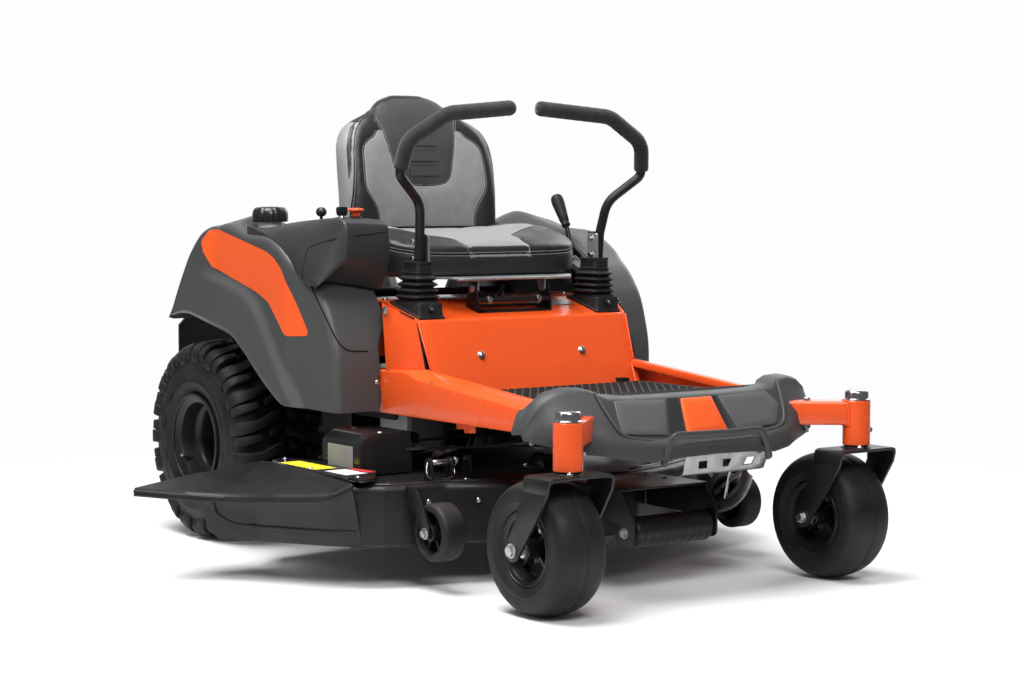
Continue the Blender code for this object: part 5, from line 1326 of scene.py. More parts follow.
DECAL_LINE = [(-0.115, 0.7605), (-0.342, 0.7130), (-0.378, 0.6980), (-0.411, 0.6730), (-0.501, 0.5360), (-0.498, 0.5250),
              (-0.430, 0.5210), (-0.418, 0.5260), (-0.351, 0.5940), (-0.309, 0.6120), (-0.270, 0.6240), (-0.086, 0.6700),
              (-0.056, 0.7060), (-0.050, 0.7320), (-0.078, 0.7590)]
shut = []
for s, side in sorted(SIDES):
    fob = fender_skin(s, side)
    tree = bvh_of(fob)
    line = round_poly(DECAL_LINE, [0.006, 0.05, 0.03, 0.03, 0.006, 0.006, 0.014, 0.014, 0.03, 0.02, 0.03, 0.008, 0.01, 0.01, 0.01], 4)
    drape(side + "_fender_film", line, 0, 0.62 * s, (-s, 0, 0), tree, DECAL, "frame", off=0.0007, step=0.010, thick=0.0)
    # shut line of the front cover: a dark tube painted as the shadow in the gap
    bm = bmesh.new()
    if s < 0:
        shut = [sight(tree, q, 0.0004) for q in ((-0.469, -0.495, 0.661), (-0.470, -0.519, 0.639), (-0.4675, -0.544, 0.607), (-0.464, -0.567, 0.575),
                                                (-0.4545, -0.577, 0.548), (-0.445, -0.586, 0.521), (-0.431, -0.594, 0.502), (-0.410, -0.597, 0.494),
                                                (-0.370, -0.5975, 0.4920), (-0.332, -0.598, 0.4900))]
        shut = [q for q in shut if q is not None]
    pts = [Vector((q.x * -s, q.y, q.z)) for q in shut]
    tube(bm, smooth_path(pts, 4), 0.0016, 8)
    finish(side + "_fender_shut_line_shadow", bm, HOLE_SHADE, "frame", smooth=60)
    bm = bmesh.new()
    # fender bolts on the inner apron
    for y, z in ((-0.450, 0.0), (-0.240, 0.0)):
        q = onto(tree, (0.322 * s, y, 0.90), (0, 0, -1), 0.0)
        dome(bm, q, (0, 0, 1), 0.0078, 0.0042)
        lathe(bm, [(0, 0), (0.0105, 0), (0.0105, 0.0012), (0, 0.0012)], q, (0, 0, 1), 24, cyclic=False)
    q = onto(tree, (0.345 * s, -0.75, 0.420), (0, 1, 0), 0.0)
    dome(bm, q, (0, -1, 0), 0.0065, 0.0038)
    finish(side + "_fender_screws", bm, ZINC, "frame", smooth=30)
    if s > 0:
        bm = bmesh.new()
        for x in (0.3385, 0.3615):
            pts = [onto(tree, (x + (0.004 if x > 0.35 else -0.004), y, 0.9), (0, 0, -1), -0.0005) for y in [-0.466 + 0.0144 * i for i in range(11)]]
            pts = [p for p in pts if p.z < 0.84]
            tube(bm, pts, 0.0022, 8, rounded=True)
        finish("lever_slot_lips", bm, PLASTIC, "frame", smooth=60)

# ---------------------------------------------------------------- console pod
S_TOP = [(-0.222, 0.757), (-0.262, 0.766), (-0.300, 0.7730), (-0.345, 0.7785), (-0.391, 0.7830), (-0.450, 0.7870),
         (-0.510, 0.7905), (-0.550, 0.7910), (-0.572, 0.7885), (-0.584, 0.7810), (-0.5890, 0.7690), (-0.5900, 0.7300),
         (-0.5885, 0.7040), (-0.5820, 0.6920), (-0.5620, 0.6760), (-0.5250, 0.6480), (-0.480, 0.6600), (-0.400, 0.6950),
         (-0.300, 0.7300), (-0.222, 0.7350)]
S_IN = [(-0.222, 0.757), (-0.262, 0.7700), (-0.300, 0.7830), (-0.345, 0.7880), (-0.391, 0.7900), (-0.450, 0.7905),
        (-0.510, 0.7900), (-0.550, 0.7880), (-0.572, 0.7840), (-0.584, 0.7760), (-0.5890, 0.7640), (-0.5900, 0.7300),
        (-0.5890, 0.7020), (-0.5830, 0.6880), (-0.5680, 0.6600), (-0.5450, 0.6280), (-0.500, 0.6500), (-0.400, 0.6950),
        (-0.300, 0.7200), (-0.222, 0.7300)]
S_OUT = [(-0.235, 0.7720), (-0.262, 0.7670), (-0.290, 0.7605), (-0.325, 0.7520), (-0.352, 0.7430), (-0.385, 0.7310),
         (-0.418, 0.7120), (-0.445, 0.6965), (-0.468, 0.6840), (-0.492, 0.6710), (-0.514, 0.6600), (-0.536, 0.6520),
         (-0.552, 0.6470), (-0.5570, 0.6410), (-0.5440, 0.6370), (-0.508, 0.6420), (-0.460, 0.6650), (-0.400, 0.6950),
         (-0.300, 0.7300), (-0.235, 0.7500)]


def pod_ring(x):
    A, B, t = (S_IN, S_TOP, (x - 0.301) / 0.119) if x <= 0.420 else (S_TOP, S_OUT, (x - 0.420) / 0.054)
    t = max(0.0, min(1.0, t))
    bulge = 0.0045 * math.sin(math.pi * t) if x > 0.420 else 0.0
    out = []
    for k, (a, b) in enumerate(zip(A, B)):
        y, z = lerp(a[0], b[0], t), lerp(a[1], b[1], t)
        if 2 < k < 13:
            y -= bulge * 0.5
            z += bulge
        out.append((y, z))
    return out


# the throttle slot and the two bores are modelled by inlays, the slot as a dark strip painted as the shade in the
# opening, so the top stays one skin
for s, side in ((-1, "right"),):
    bm = bmesh.new()
    rings = []
    for x in (0.3010, 0.3060, 0.3200, 0.3500, 0.3800, 0.4020, 0.4120, 0.4170, 0.4210, 0.4250, 0.4320, 0.4420, 0.4540, 0.4640, 0.4740):
        ring = pod_ring(x)
        sh = 0.006 * (1 - sstep(0.301, 0.3075, x))
        rings.append([(x * s, y + (sh if 5 < k < 13 else 0), z - (sh if k < 10 else 0)) for k, (y, z) in enumerate(ring)])
    loft(bm, rings)
    pob = finish("console_moulding", bm, DGREY, "frame", "control_console", smooth=45, bevel=0.0030, segs=3, angle=28)
    ptree = bvh_of(pob)
    # console seam: a dark tube painted as the shadow in the seam
    bm = bmesh.new()
    pts = [sight(ptree, p, -0.0004) for p in ((-0.4550, -0.4551, 0.6518), (-0.4550, -0.4569, 0.6671), (-0.4550, -0.4604, 0.6824), (-0.4550, -0.4689, 0.7011),
                                              (-0.4550, -0.4789, 0.7182), (-0.4550, -0.4904, 0.7260), (-0.4550, -0.5116, 0.7315), (-0.4550, -0.5598, 0.7399),
                                              (-0.4413, -0.5850, 0.7477), (-0.3975, -0.5850, 0.7521), (-0.3482, -0.5850, 0.7565), (-0.3104, -0.5850, 0.7602))]
    pts = [q for q in pts if q is not None]
    tube(bm, smooth_path(pts, 4), 0.0013, 8)
    finish("console_seam_shadow", bm, HOLE_SHADE, "frame", smooth=60)

    def console_z(y, x=-0.345):
        return onto(ptree, (x, y, 0.95), (0, 0, -1)).z
    bm = bmesh.new()
    # throttle slot, a dark strip painted as the shade in the opening, with its raised surround
    zt = console_z(-0.370, -0.352)
    for x0, x1, mi in ((-0.3558, -0.3482, 0),):
        rows = [[(x, y, console_z(y, x) + 0.0007) for x in (x0, x1)] for y in [-0.412 + 0.0084 * i for i in range(11)]]
        grid(bm, rows)
    finish("throttle_slot", bm, HOLE_SHADE, "frame", smooth=40)
    bm = bmesh.new()
    loop = [(-0.352 + 0.0085 * math.cos(a), -0.370 + (0.044 if math.sin(a) > 0 else -0.044) + 0.0085 * math.sin(a)) for a in
            [math.radians(10 + 20 * i) for i in range(18)]]
    tube(bm, [Vector((x, y, console_z(y, x) + 0.0004)) for x, y in loop], 0.0020, 8, cyclic=True, caps=False)
    for y, r in ((-0.450, 0.0175), (-0.510, 0.0150)):
        z = console_z(y)
        lathe(bm, [(0.0095, -0.004), (r, -0.004), (r, 0.0016), (r - 0.0015, 0.0030), (0.0100, 0.0030), (0.0092, 0.0010)],
              (-0.345, y, z), (0, 0, 1), 40)
    finish("control_bezels", bm, GLOSSP, "frame", smooth=40)

# fuel neck, tank bowl and cap
bm = bmesh.new()
lathe(bm, [(0.0270, 0.7460), (0.0290, 0.7460), (0.0290, 0.7540), (0.0300, 0.7550), (0.0300, 0.7570), (0.0290, 0.7580),
           (0.0290, 0.7640), (0.0300, 0.7650), (0.0300, 0.7670), (0.0290, 0.7680), (0.0290, 0.7790), (0.0270, 0.7790)],
      (NECK.x, NECK.y, 0), (0, 0, 1), 56)
finish("fuel_neck", bm, WHITEP, "frame", smooth=35)
bm = bmesh.new()
lathe(bm, [(0.0275, 0.7420), (0.0440, 0.7420), (0.0480, 0.7440), (0.0480, 0.7460), (0.0440, 0.7452), (0.0275, 0.7452)],
      (NECK.x, NECK.y, 0), (0, 0, 1), 56)
finish("filler_tray", bm, PLASTIC, "frame", smooth=35)
bm = bmesh.new()
rings = []
NS = 96
for r0, z, sc in ((0.0360, 0.7790, 0.0), (0.0405, 0.7795, 0.3), (0.0425, 0.7815, 1.0), (0.0430, 0.7880, 1.0), (0.0428, 0.7960, 1.0),
                  (0.0415, 0.8030, 1.0), (0.0392, 0.8085, 0.9), (0.0360, 0.8120, 0.6), (0.0320, 0.8138, 0.2), (0.0290, 0.8142, 0.0),
                  (0.0270, 0.8136, 0.0), (0.0255, 0.8110, 0.0), (0.0120, 0.8105, 0.0)):
    ring = []
    for k in range(NS):
        a = 2 * math.pi * k / NS
        w = abs(math.sin(a * 5))
        r = r0 - 0.0042 * sc * (1 - sstep(0.0, 0.42, w))
        ring.append((NECK.x + math.cos(a) * r, NECK.y + math.sin(a) * r, z))
    rings.append(ring)
loft(bm, rings)
prism(bm, [(NECK.x - 0.0235, NECK.y - 0.0035, 0.8100), (NECK.x + 0.0235, NECK.y - 0.0035, 0.8100),
           (NECK.x + 0.0235, NECK.y + 0.0035, 0.8100), (NECK.x - 0.0235, NECK.y + 0.0035, 0.8100)], (0, 0, 0.0050))
finish("fuel_cap_moulding", bm, GLOSSP, "cap", "fuel_cap", smooth=38)

# throttle, key, clutch knob
zt = console_z(-0.370, -0.352)
bm = bmesh.new()
box(bm, (-0.3536, -0.3745, zt - 0.020), (-0.3504, -0.3655, zt + 0.012))
rings = []
for f, h in ((0.35, 0.0075), (0.70, 0.0095), (0.93, 0.0135), (1.0, 0.0180), (0.93, 0.0225), (0.72, 0.0265), (0.38, 0.0290)):
    rings.append([(-0.352 + math.cos(a) * 0.0125 * f, -0.370 + math.sin(a) * 0.0135 * f, zt + h) for a in
                  [2 * math.pi * k / 28 for k in range(28)]])
loft(bm, rings)
finish("throttle_grip", bm, GLOSSP, "throttle", "throttle_lever", smooth=50)
zk = console_z(-0.450)
bm = bmesh.new()
lathe(bm, [(0, -0.012), (0.0088, -0.012), (0.0088, 0.004), (0.0078, 0.0058), (0, 0.0058)], (-0.345, -0.450, zk), (0, 0, 1), 32, cyclic=False)
finish("key_barrel", bm, ZINC, "key", smooth=35)
bm = bmesh.new()
bow = round_poly([(-0.3550, zk + 0.0060), (-0.3350, zk + 0.0060), (-0.3315, zk + 0.0140), (-0.3315, zk + 0.0270), (-0.3585, zk + 0.0270),
                  (-0.3585, zk + 0.0140)], 0.005, 4)
plate(bm, bow, 'XZ', -0.4545, -0.4455)
finish("key_bow", bm, PLASTIC, "key", "ignition_key", smooth=40, bevel=0.0012, segs=2, angle=40)
zn = console_z(-0.510)
bm = bmesh.new()
lathe(bm, [(0, -0.012), (0.0056, -0.012), (0.0056, 0.0035), (0.0078, 0.0040), (0.0092, 0.0060), (0.0094, 0.0120), (0.0098, 0.0140),
           (0.0120, 0.0155), (0.0165, 0.0164), (0.0186, 0.0174), (0.0192, 0.0190), (0.0188, 0.0206), (0.0165, 0.0222), (0.0120, 0.0234),
           (0.0060, 0.0240), (0, 0.0242)], (-0.345, -0.510, zn), (0, 0, 1), 56, cyclic=False)
finish("clutch_knob_moulding", bm, KNOB, "knob", "clutch_knob", smooth=42)

# deck height lever
bm = bmesh.new()
path = [(0.350, -0.4300, 0.560), (0.350, -0.4240, 0.640), (0.350, -0.4120, 0.700), (0.350, -0.3990, 0.750), (0.350, -0.3900, 0.7680)]
tube(bm, smooth_path(path, 6), 0.0060, 18)
lathe(bm, [(0.0, 0.0), (0.0200, 0.0), (0.0205, 0.001), (0.0205, 0.0165), (0.0200, 0.0175), (0.0, 0.0175)], (0.34125, -0.430, 0.560), (1, 0, 0), 40, cyclic=False)
finish("height_lever_rod", bm, BLACK, "lift_lever", "height_lever", smooth=40)
bm = bmesh.new()
a, b = Vector((0.350, -0.3940, 0.7630)), Vector((0.350, -0.3500, 0.8380))
u, v, w = ringframe(b - a)
Lh = (b - a).length
prof = [(0.0, 0.0), (0.0085, 0.0), (0.0108, 0.002), (0.0112, 0.006), (0.0102, 0.009), (0.0102, 0.012), (0.0115, 0.015), (0.0128, 0.030),
        (0.0146, 0.050), (0.0160, 0.066), (0.0160, 0.076), (0.0146, 0.084), (0.0110, 0.0885), (0.0050, 0.0900), (0.0, 0.0902)]
lathe(bm, prof, a, b - a, 36, cyclic=False)
finish("height_lever_grip", bm, RUBBER, "lift_lever", smooth=45)


# ----------------------------------------------------------------------- seat
def inflate(name, verts_faces, body, pressure, cap, voxel=0.0065, frames=20, pins=None):
    """A closed form blown up as stitched cloth: sewn edges hold, the faces crown."""
    bm = bmesh.new()
    verts_faces(bm)
    bmesh.ops.remove_doubles(bm, verts=bm.verts, dist=1e-5)
    bmesh.ops.recalc_face_normals(bm, faces=bm.faces)
    bmesh.ops.translate(bm, verts=bm.verts, vec=O)
    me = bpy.data.meshes.new(name)
    bm.to_mesh(me)
    bm.free()
    ob = bpy.data.objects.new(name, me)
    scene.collection.objects.link(ob)
    mod = ob.modifiers.new("Remesh", 'REMESH')
    mod.mode = 'VOXEL'
    mod.voxel_size = voxel
    mod.use_smooth_shade = True
    sm = ob.modifiers.new("Smooth", 'SMOOTH')
    sm.iterations = 4
    sm.factor = 0.5
    dg = bpy.context.evaluated_depsgraph_get()
    new = bpy.data.meshes.new_from_object(ob.evaluated_get(dg))
    ob.modifiers.clear()
    ob.data = new
    rest = [v.co.copy() for v in new.vertices]
    if pins:
        vg = ob.vertex_groups.new(name="pin")
        for v in new.vertices:
            w = pins(v.co - O)
            if w > 0:
                vg.add([v.index], w, 'REPLACE')
    cl = ob.modifiers.new("Cloth", 'CLOTH')
    cs = cl.settings
    cs.quality = 5
    cs.mass = 0.3
    cs.tension_stiffness = cs.compression_stiffness = 18
    cs.shear_stiffness = 8
    cs.bending_stiffness = 1.2
    cs.tension_damping = cs.compression_damping = 8
    cs.use_pressure = True
    cs.uniform_pressure_force = pressure
    cs.effector_weights.gravity = 0
    if pins:
        cs.vertex_group_mass = "pin"
        cs.pin_stiffness = 1.0
    cl.collision_settings.use_self_collision = False
    cl.collision_settings.use_collision = False
    cl.point_cache.frame_start = 1
    cl.point_cache.frame_end = frames
    for f in range(1, frames + 1):
        scene.frame_set(f)
    dg = bpy.context.evaluated_depsgraph_get()
    new = bpy.data.meshes.new_from_object(ob.evaluated_get(dg))
    ob.modifiers.clear()
    ob.data = new
    scene.frame_set(1)
    if len(new.vertices) == len(rest):
        for v, r in zip(new.vertices, rest):
            d = v.co - r
            if d.length > cap:
                v.co = r + d * (cap / d.length)
    return ob


def lap(ob, it=6, fac=0.5):
    bm = bmesh.new()
    bm.from_mesh(ob.data)
    for _ in range(it):
        bmesh.ops.smooth_vert(bm, verts=bm.verts, factor=fac, use_axis_x=True, use_axis_y=True, use_axis_z=True)
    bm.to_mesh(ob.data)
    bm.free()


def close_up(ob, m, body, stands, sub=1):
    ob.vertex_groups.clear()
    ob.data.materials.clear()
    ob.data.materials.append(m)
    if sub:
        mod = ob.modifiers.new("Subdivision", 'SUBSURF')
        mod.levels = mod.render_levels = sub
        dg = bpy.context.evaluated_depsgraph_get()
        new = bpy.data.meshes.new_from_object(ob.evaluated_get(dg))
        ob.modifiers.clear()
        ob.data = new
    ob.data.shade_smooth()
    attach(ob, body)
    if stands:
        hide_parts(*stands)
    return ob


# plan outline of the cushion (one side): (x, y)
CUSH = [(0.0, -0.601), (0.100, -0.601), (0.160, -0.598), (0.205, -0.588), (0.236, -0.568), (0.258, -0.538), (0.268, -0.500),
        (0.271, -0.440), (0.270, -0.360), (0.258, -0.300), (0.236, -0.264), (0.200, -0.250), (0.0, -0.250)]
CPLAN = smooth_path([(x, y, 0) for x, y in CUSH], 4)
CPLAN = [(p.x, p.y) for p in CPLAN]
CLOOP = CPLAN + [(-x, y) for x, y in CPLAN[::-1][1:-1]]


def crown(x, y):
    """Height of the cushion's top: raised sides and a dished middle that falls at the front."""
    z = interp([(-0.602, 0.7160), (-0.585, 0.7280), (-0.550, 0.7400), (-0.500, 0.7470), (-0.430, 0.7500), (-0.340, 0.7520), (-0.250, 0.7560)], y)
    side = sstep(0.120, 0.235, abs(x))
    return z + side * interp([(-0.602, 0.0), (-0.560, 0.0050), (-0.500, 0.0150), (-0.420, 0.0260), (-0.300, 0.0260), (-0.25, 0.018)], y)


def cushion_form(bm):
    cx, cy = 0.0, -0.430
    rings = []
    n = len(CLOOP)
    for z, f in ((0.6556, 0.955), (0.6600, 0.980), (0.6680, 0.992), (0.7000, 1.0)):
        rings.append([(cx + (x - cx) * f, cy + (y - cy) * f, z) for x, y in CLOOP])
    for f, dz in ((0.999, -0.0060), (0.985, 0.0), (0.955, 0.0040), (0.90, 0.0050), (0.80, 0.0035), (0.66, 0.002), (0.50, 0.0), (0.33, 0.0), (0.16, 0.0), (0.06, 0.0)):
        ring = []
        for x, y in CLOOP:
            px, py = cx + (x - cx) * f, cy + (y - cy) * f
            ex, ey = cx + (x - cx) * 0.985, cy + (y - cy) * 0.985
            base = crown(px, py)
            edge = interp([(-0.60, 0.7180), (-0.55, 0.7270), (-0.50, 0.7400), (-0.42, 0.7560), (-0.25, 0.7560)], y)
            t = sstep(0.66, 0.985, f)
            z = lerp(base, min(base, edge + 0.004), t)
            ring.append((px, py, z + dz))
        rings.append(ring)
    loft(bm, rings)


def seam_z(y):
    """Height of the stitched seam round the cushion's rim."""
    return interp([(-0.602, 0.7060), (-0.585, 0.7090), (-0.540, 0.7170), (-0.480, 0.7280), (-0.420, 0.7380), (-0.300, 0.7440), (-0.250, 0.7440)], y)


def cushion_pins(p):
    w = 0.0
    if p.z < 0.662:
        w = 1.0
    if p.y > -0.270:
        w = max(w, 0.8)
    # the rim seam and the two seams beside the centre strip are held by their stitches
    if abs(p.z - seam_z(p.y)) < 0.006 and (abs(p.x) > 0.20 or p.y < -0.55):
        w = max(w, 0.92)
    if p.z > 0.71:
        for x, y in CUSH_SEAM:
            if (p.x - x) ** 2 + (p.y - y) ** 2 < 0.0068 ** 2 or (p.x + x - 0.0) ** 2 + (p.y - y) ** 2 < 0.0068 ** 2:
                w = max(w, 0.9)
                break
    return w


# one side of the grey centre panel, from the rim seam back to the rear corner
STRIP = [(0.088, -0.6000), (0.088, -0.5850), (0.089, -0.5650), (0.0930, -0.5400), (0.1020, -0.5120), (0.1120, -0.4860), (0.1260, -0.4660),
         (0.1500, -0.4520), (0.1850, -0.4440), (0.2150, -0.4340), (0.2260, -0.4120), (0.2200, -0.3800), (0.2040, -0.3500), (0.1850, -0.3250),
         (0.1700, -0.3000)]
_sp = smooth_path([(x, y, 0) for x, y in STRIP], 6)
CUSH_SEAM = [(p.x, p.y) for p in _sp]

cush = inflate("seat_cushion_cover", cushion_form, "seat", 3.2, 0.010, voxel=0.0062, frames=18, pins=cushion_pins)
lap(cush, 2, 0.4)
# hold everything above the pan
for v in cush.data.vertices:
    p = v.co - O
    if p.z < 0.6552:
        v.co.z = 0.6552 + O.z
ctree = bvh_of(cush)


def on_cush(x, y, off=0.0):
    return onto(ctree, (x, y, 0.95), (0, 0, -1), off)


# press the seams in
def press(ob, line, depth, width):
    pts = [Vector(p) + O for p in line]
    from mathutils.kdtree import KDTree
    kd = KDTree(len(pts))
    for i, p in enumerate(pts):
        kd.insert(p, i)
    kd.balance()
    ob.data.calc_loop_triangles()
    nrm = [v.normal.copy() for v in ob.data.vertices]
    for v, n in zip(ob.data.vertices, nrm):
        q, i, d = kd.find(v.co)
        if d < width:
            v.co -= n * depth * (1 - d / width) ** 2


def thicken(line, k):
    out = []
    for a, b in zip(line, line[1:]):
        for j in range(k):
            out.append(Vector(a).lerp(Vector(b), j / k))
    out.append(Vector(line[-1]))
    return out


seam_lines = []
for s in (1, -1):
    seam_lines.append([on_cush(x * s, y) for x, y in CUSH_SEAM])
rim = []
for x, y in CLOOP:
    if y < -0.262:
        z = seam_z(y)
        c = Vector((0.0, -0.430, z))
        d = Vector((x, y, z)) - c
        out = c + d.normalized() * 0.5
        rim.append(onto(ctree, out, -d, 0.0))
i0 = max(range(len(rim)), key=lambda i: (rim[i] - rim[i - 1]).length)
rim = rim[i0:] + rim[:i0]
rim = [p for i, p in enumerate(rim) if i == 0 or (p - rim[i - 1]).length < 0.05]
seam_lines.append(rim)
for line in seam_lines:
    press(cush, thicken(line, 3), 0.0042, 0.016)
cush = close_up(cush, VINYL, "seat", ("seat_cushion",), 1)
ctree = bvh_of(cush)


def relay(line, tree, n_of, off):
    out = []
    for p in line:
        q, n, i, d = tree.find_nearest(Vector(p) + O)
        out.append(q - O + n * off)
    return out


def stitches(bm, line, tree, off, gap=0.0055, ln=0.0034, r=0.00055, side=0.0032):
    """Short threads laid along a line, a little to one side of the seam."""
    P = [Vector(p) for p in line]
    acc = 0.0
    nxt = gap
    for a, b in zip(P, P[1:]):
        L = (b - a).length
        if L < 1e-7:
            continue
        t = (b - a) / L
        while nxt <= acc + L:
            c = a + t * (nxt - acc)
            q, n, i, d = tree.find_nearest(c + O)
            w = n.cross(t).normalized()
            c2 = c + w * side
            q, n, i, d = tree.find_nearest(c2 + O)
            e = []
            for k in (-0.5, -0.25, 0.0, 0.25, 0.5):
                lift = r * (0.9 - 2.6 * abs(k) ** 2 * 1.2)
                e.append(q - O + t * (k * ln) + n * (lift + off))
            tube(bm, e, r, 6)
            nxt += gap
        acc += L


# fabric panel over the middle, laid on the cover
right_edge = [(x, y) for x, y in CUSH_SEAM]
outline = [(x, y) for x, y in right_edge] + [(-x, y) for x, y in right_edge[::-1]]
drape("seat_cushion_fabric", outline, 2, 0.95, (0, 0, -1), ctree, FABRIC, "seat", off=0.0009, step=0.007)
bm = bmesh.new()
bs = bmesh.new()
# dark tubes painted as the shadow in the pressed seams; threads beside them
for line in seam_lines:
    l2 = relay(line, ctree, None, -0.0003)
    l2 = smooth_path(l2[::2] + ([l2[-1]] if len(l2) % 2 == 0 else []), 3)
    tube(bm, l2, 0.0012, 8)
for line in seam_lines:
    l2 = relay(line, ctree, None, 0.0)
    sd = 0.0036
    stitches(bs, l2, ctree, 0.0004, side=sd)
    stitches(bs, l2, ctree, 0.0004, side=-sd) if line is seam_lines[-1] else None
finish("seat_cushion_seam_shadows", bm, SEAM_SHADE, "seat", smooth=60)
finish("seat_cushion_stitching", bs, THREAD, "seat", smooth=60)

# back: profile (y, z) of the face and rear, half width by height
BFRONT = [(0.6620, -0.2780), (0.7000, -0.2860), (0.7600, -0.2960), (0.8000, -0.2970), (0.8600, -0.2920), (0.9200, -0.2800), (0.9800, -0.2620),
          (1.0300, -0.2400), (1.0700, -0.2190), (1.0880, -0.2050)]
BREAR = [(0.6620, -0.2180), (0.7600, -0.2100), (0.8600, -0.2040), (0.9300, -0.1970), (0.9900, -0.1850), (1.0400, -0.1760), (1.0700, -0.1720), (1.0880, -0.1740)]
BHALF = [(0.6620, 0.2080), (0.7000, 0.2160), (0.7600, 0.2200), (0.9000, 0.2215), (0.9300, 0.2210), (0.9600, 0.2180), (0.9850, 0.2100), (1.0050, 0.1960),
         (1.0200, 0.1740), (1.0320, 0.1480), (1.0420, 0.1250), (1.0520, 0.1090), (1.0620, 0.0990), (1.0720, 0.0880), (1.0820, 0.0700), (1.0890, 0.0420)]


def back_form(bm):
    zs = [0.6620, 0.6680, 0.6900, 0.7300, 0.7700, 0.8100, 0.8500, 0.8900, 0.9200, 0.9400, 0.9600, 0.9750, 0.9900, 1.0020, 1.0120, 1.0220, 1.0320, 1.0420,
          1.0520, 1.0620, 1.0720, 1.0800, 1.0860, 1.0900]
    rings = []
    for z in zs:
        yf, yr, w = interp(BFRONT, z), interp(BREAR, z), interp(BHALF, z)
        ym = (yf + yr) / 2
        hy = (yr - yf) / 2
        hy *= 1 - 0.30 * sstep(1.070, 1.090, z)
        ring = []
        n = 44
        for k in range(n):
            a = 2 * math.pi * k / n
            ca, sa = math.cos(a), math.sin(a)
            e = 0.34
            x = w * math.copysign(abs(ca) ** e, ca)
            y = hy * math.copysign(abs(sa) ** 0.62, sa)
            # bolsters stand proud of the middle of the face
            if sa < 0:
                b = sstep(0.62, 0.84, abs(x) / w) * (1 - sstep(0.95, 1.0, abs(x) / w)) * (1 - sstep(0.98, 1.04, z)) * sstep(0.66, 0.80, z)
                y += -0.006 * b + 0.010 * (1 - sstep(0.35, 0.75, abs(x) / w)) * (1 - sstep(0.90, 1.0, z))
            ring.append((x, ym + y, z))
        rings.append(ring)
    loft(bm, rings)


# sewn lines on the face of the back, (x, z), one side
TONGUE = [(0.1180, 1.0320), (0.1080, 1.0050), (0.1000, 0.9700), (0.0900, 0.9300), (0.0820, 0.9000), (0.0720, 0.8800), (0.0560, 0.8700), (0.0300, 0.8655), (0.0, 0.8645)]
FAB_OUT = [(0.1200, 1.0000), (0.1350, 0.9840), (0.1560, 0.9720), (0.1700, 0.9550), (0.1740, 0.9250), (0.1760, 0.8900), (0.1750, 0.8650), (0.1660, 0.8450), (0.1520, 0.8250),
           (0.1420, 0.8050), (0.1380, 0.7850), (0.1380, 0.7660)]
BOL_OUT = [(0.1480, 1.0300), (0.1800, 1.0000), (0.1960, 0.9600), (0.2020, 0.9200), (0.2060, 0.8800), (0.2100, 0.8450), (0.2140, 0.8100), (0.2160, 0.7750)]


def dense2(line, k=6):
    return [(p.x, p.y) for p in smooth_path([(a, b, 0) for a, b in line], k)]


T2, F2, B2 = dense2(TONGUE), dense2(FAB_OUT), dense2(BOL_OUT)


def back_pins(p):
    w = 0.0
    if p.z < 0.700:
        w = 1.0
    if p.y > -0.215 and p.z < 0.95:
        w = max(w, 0.85)
    if p.y < -0.215:
        for L in (T2, F2, B2):
            for x, z in L:
                if (abs(p.x) - x) ** 2 + (p.z - z) ** 2 < 0.0066 ** 2:
                    return max(w, 0.9)
    return w


back = inflate("seat_back_cover", back_form, "seat", 2.6, 0.008, voxel=0.0064, frames=16, pins=back_pins)
lap(back, 2, 0.4)
btree = bvh_of(back)


def on_back(x, z, off=0.0):
    return onto(btree, (x, -0.60, z), (0, 1, 0), off)


lines_b = []
for s in (1, -1):
    for L in (T2, F2, B2):
        lines_b.append([on_back(x * s, z) for x, z in L])
for line in lines_b:
    press(back, thicken(line, 2), 0.0040, 0.015)
# the three raised bars of the headrest panel: grooves round each, drawn as dark tubes painted as shadow
bars = []
for zc in (0.9760, 0.9380, 0.9020):
    w = 0.0440
    bars.append(round_poly([(-w, zc - 0.0125), (w, zc - 0.0125), (w, zc + 0.0125), (-w, zc + 0.0125)], 0.0045, 4))
back = close_up(back, VINYL, "seat", ("seat_back",), 1)
btree = bvh_of(back)

# panels laid on the face
for s, side in SIDES:
    low = [(x, z) for x, z in F2]
    inner = [(x, z) for x, z in T2 if z <= 1.0]
    # fabric: down the outer line, across the foot, up beside the tongue
    poly = [(x * s, z) for x, z in low] + [(0.0005 * s, 0.7660)] + [(x * s, z) for x, z in inner[::-1]]
    poly = [p for i, p in enumerate(poly) if i == 0 or (abs(p[0] - poly[i - 1][0]) + abs(p[1] - poly[i - 1][1])) > 1e-4]
    drape("seat_back_fabric_" + side, poly, 1, -0.60, (0, 1, 0), btree, FABRIC, "seat", off=0.0009, step=0.008)
head = [(x, z) for x, z in T2] + [(-x, z) for x, z in T2[::-1][1:]]
top = [(-0.1120, 1.0420), (-0.0960, 1.0580), (-0.0780, 1.0700), (-0.0500, 1.0780), (0.0, 1.0800), (0.0500, 1.0780), (0.0780, 1.0700), (0.0960, 1.0580), (0.1120, 1.0420)]
drape("seat_headrest_panel", head + top, 1, -0.60, (0, 1, 0), btree, VINYL2, "seat", off=0.0010, step=0.008)
for k, b in enumerate(bars):
    drape("seat_headrest_bar_%d" % (k + 1), b, 1, -0.60, (0, 1, 0), btree, VINYL2, "seat", off=0.0030, step=0.008, thick=0.0)
    bm = bmesh.new()
    ring = [onto(btree, (x, -0.60, z), (0, 1, 0), 0.0012) for x, z in b]
    ring2 = [onto(btree, (x * 0.985, -0.60, z), (0, 1, 0), 0.0030) for x, z in b]
    loft(bm, [ring, ring2], caps=False)
    finish("seat_headrest_bar_rim_%d" % (k + 1), bm, VINYL2, "seat", smooth=60)
    bm = bmesh.new()
    # dark tube painted as the shadow in the groove round the bar
    tube(bm, ring, 0.0009, 8, cyclic=True, caps=False)
    finish("seat_headrest_groove_%d" % (k + 1), bm, SEAM_SHADE, "seat", smooth=60)
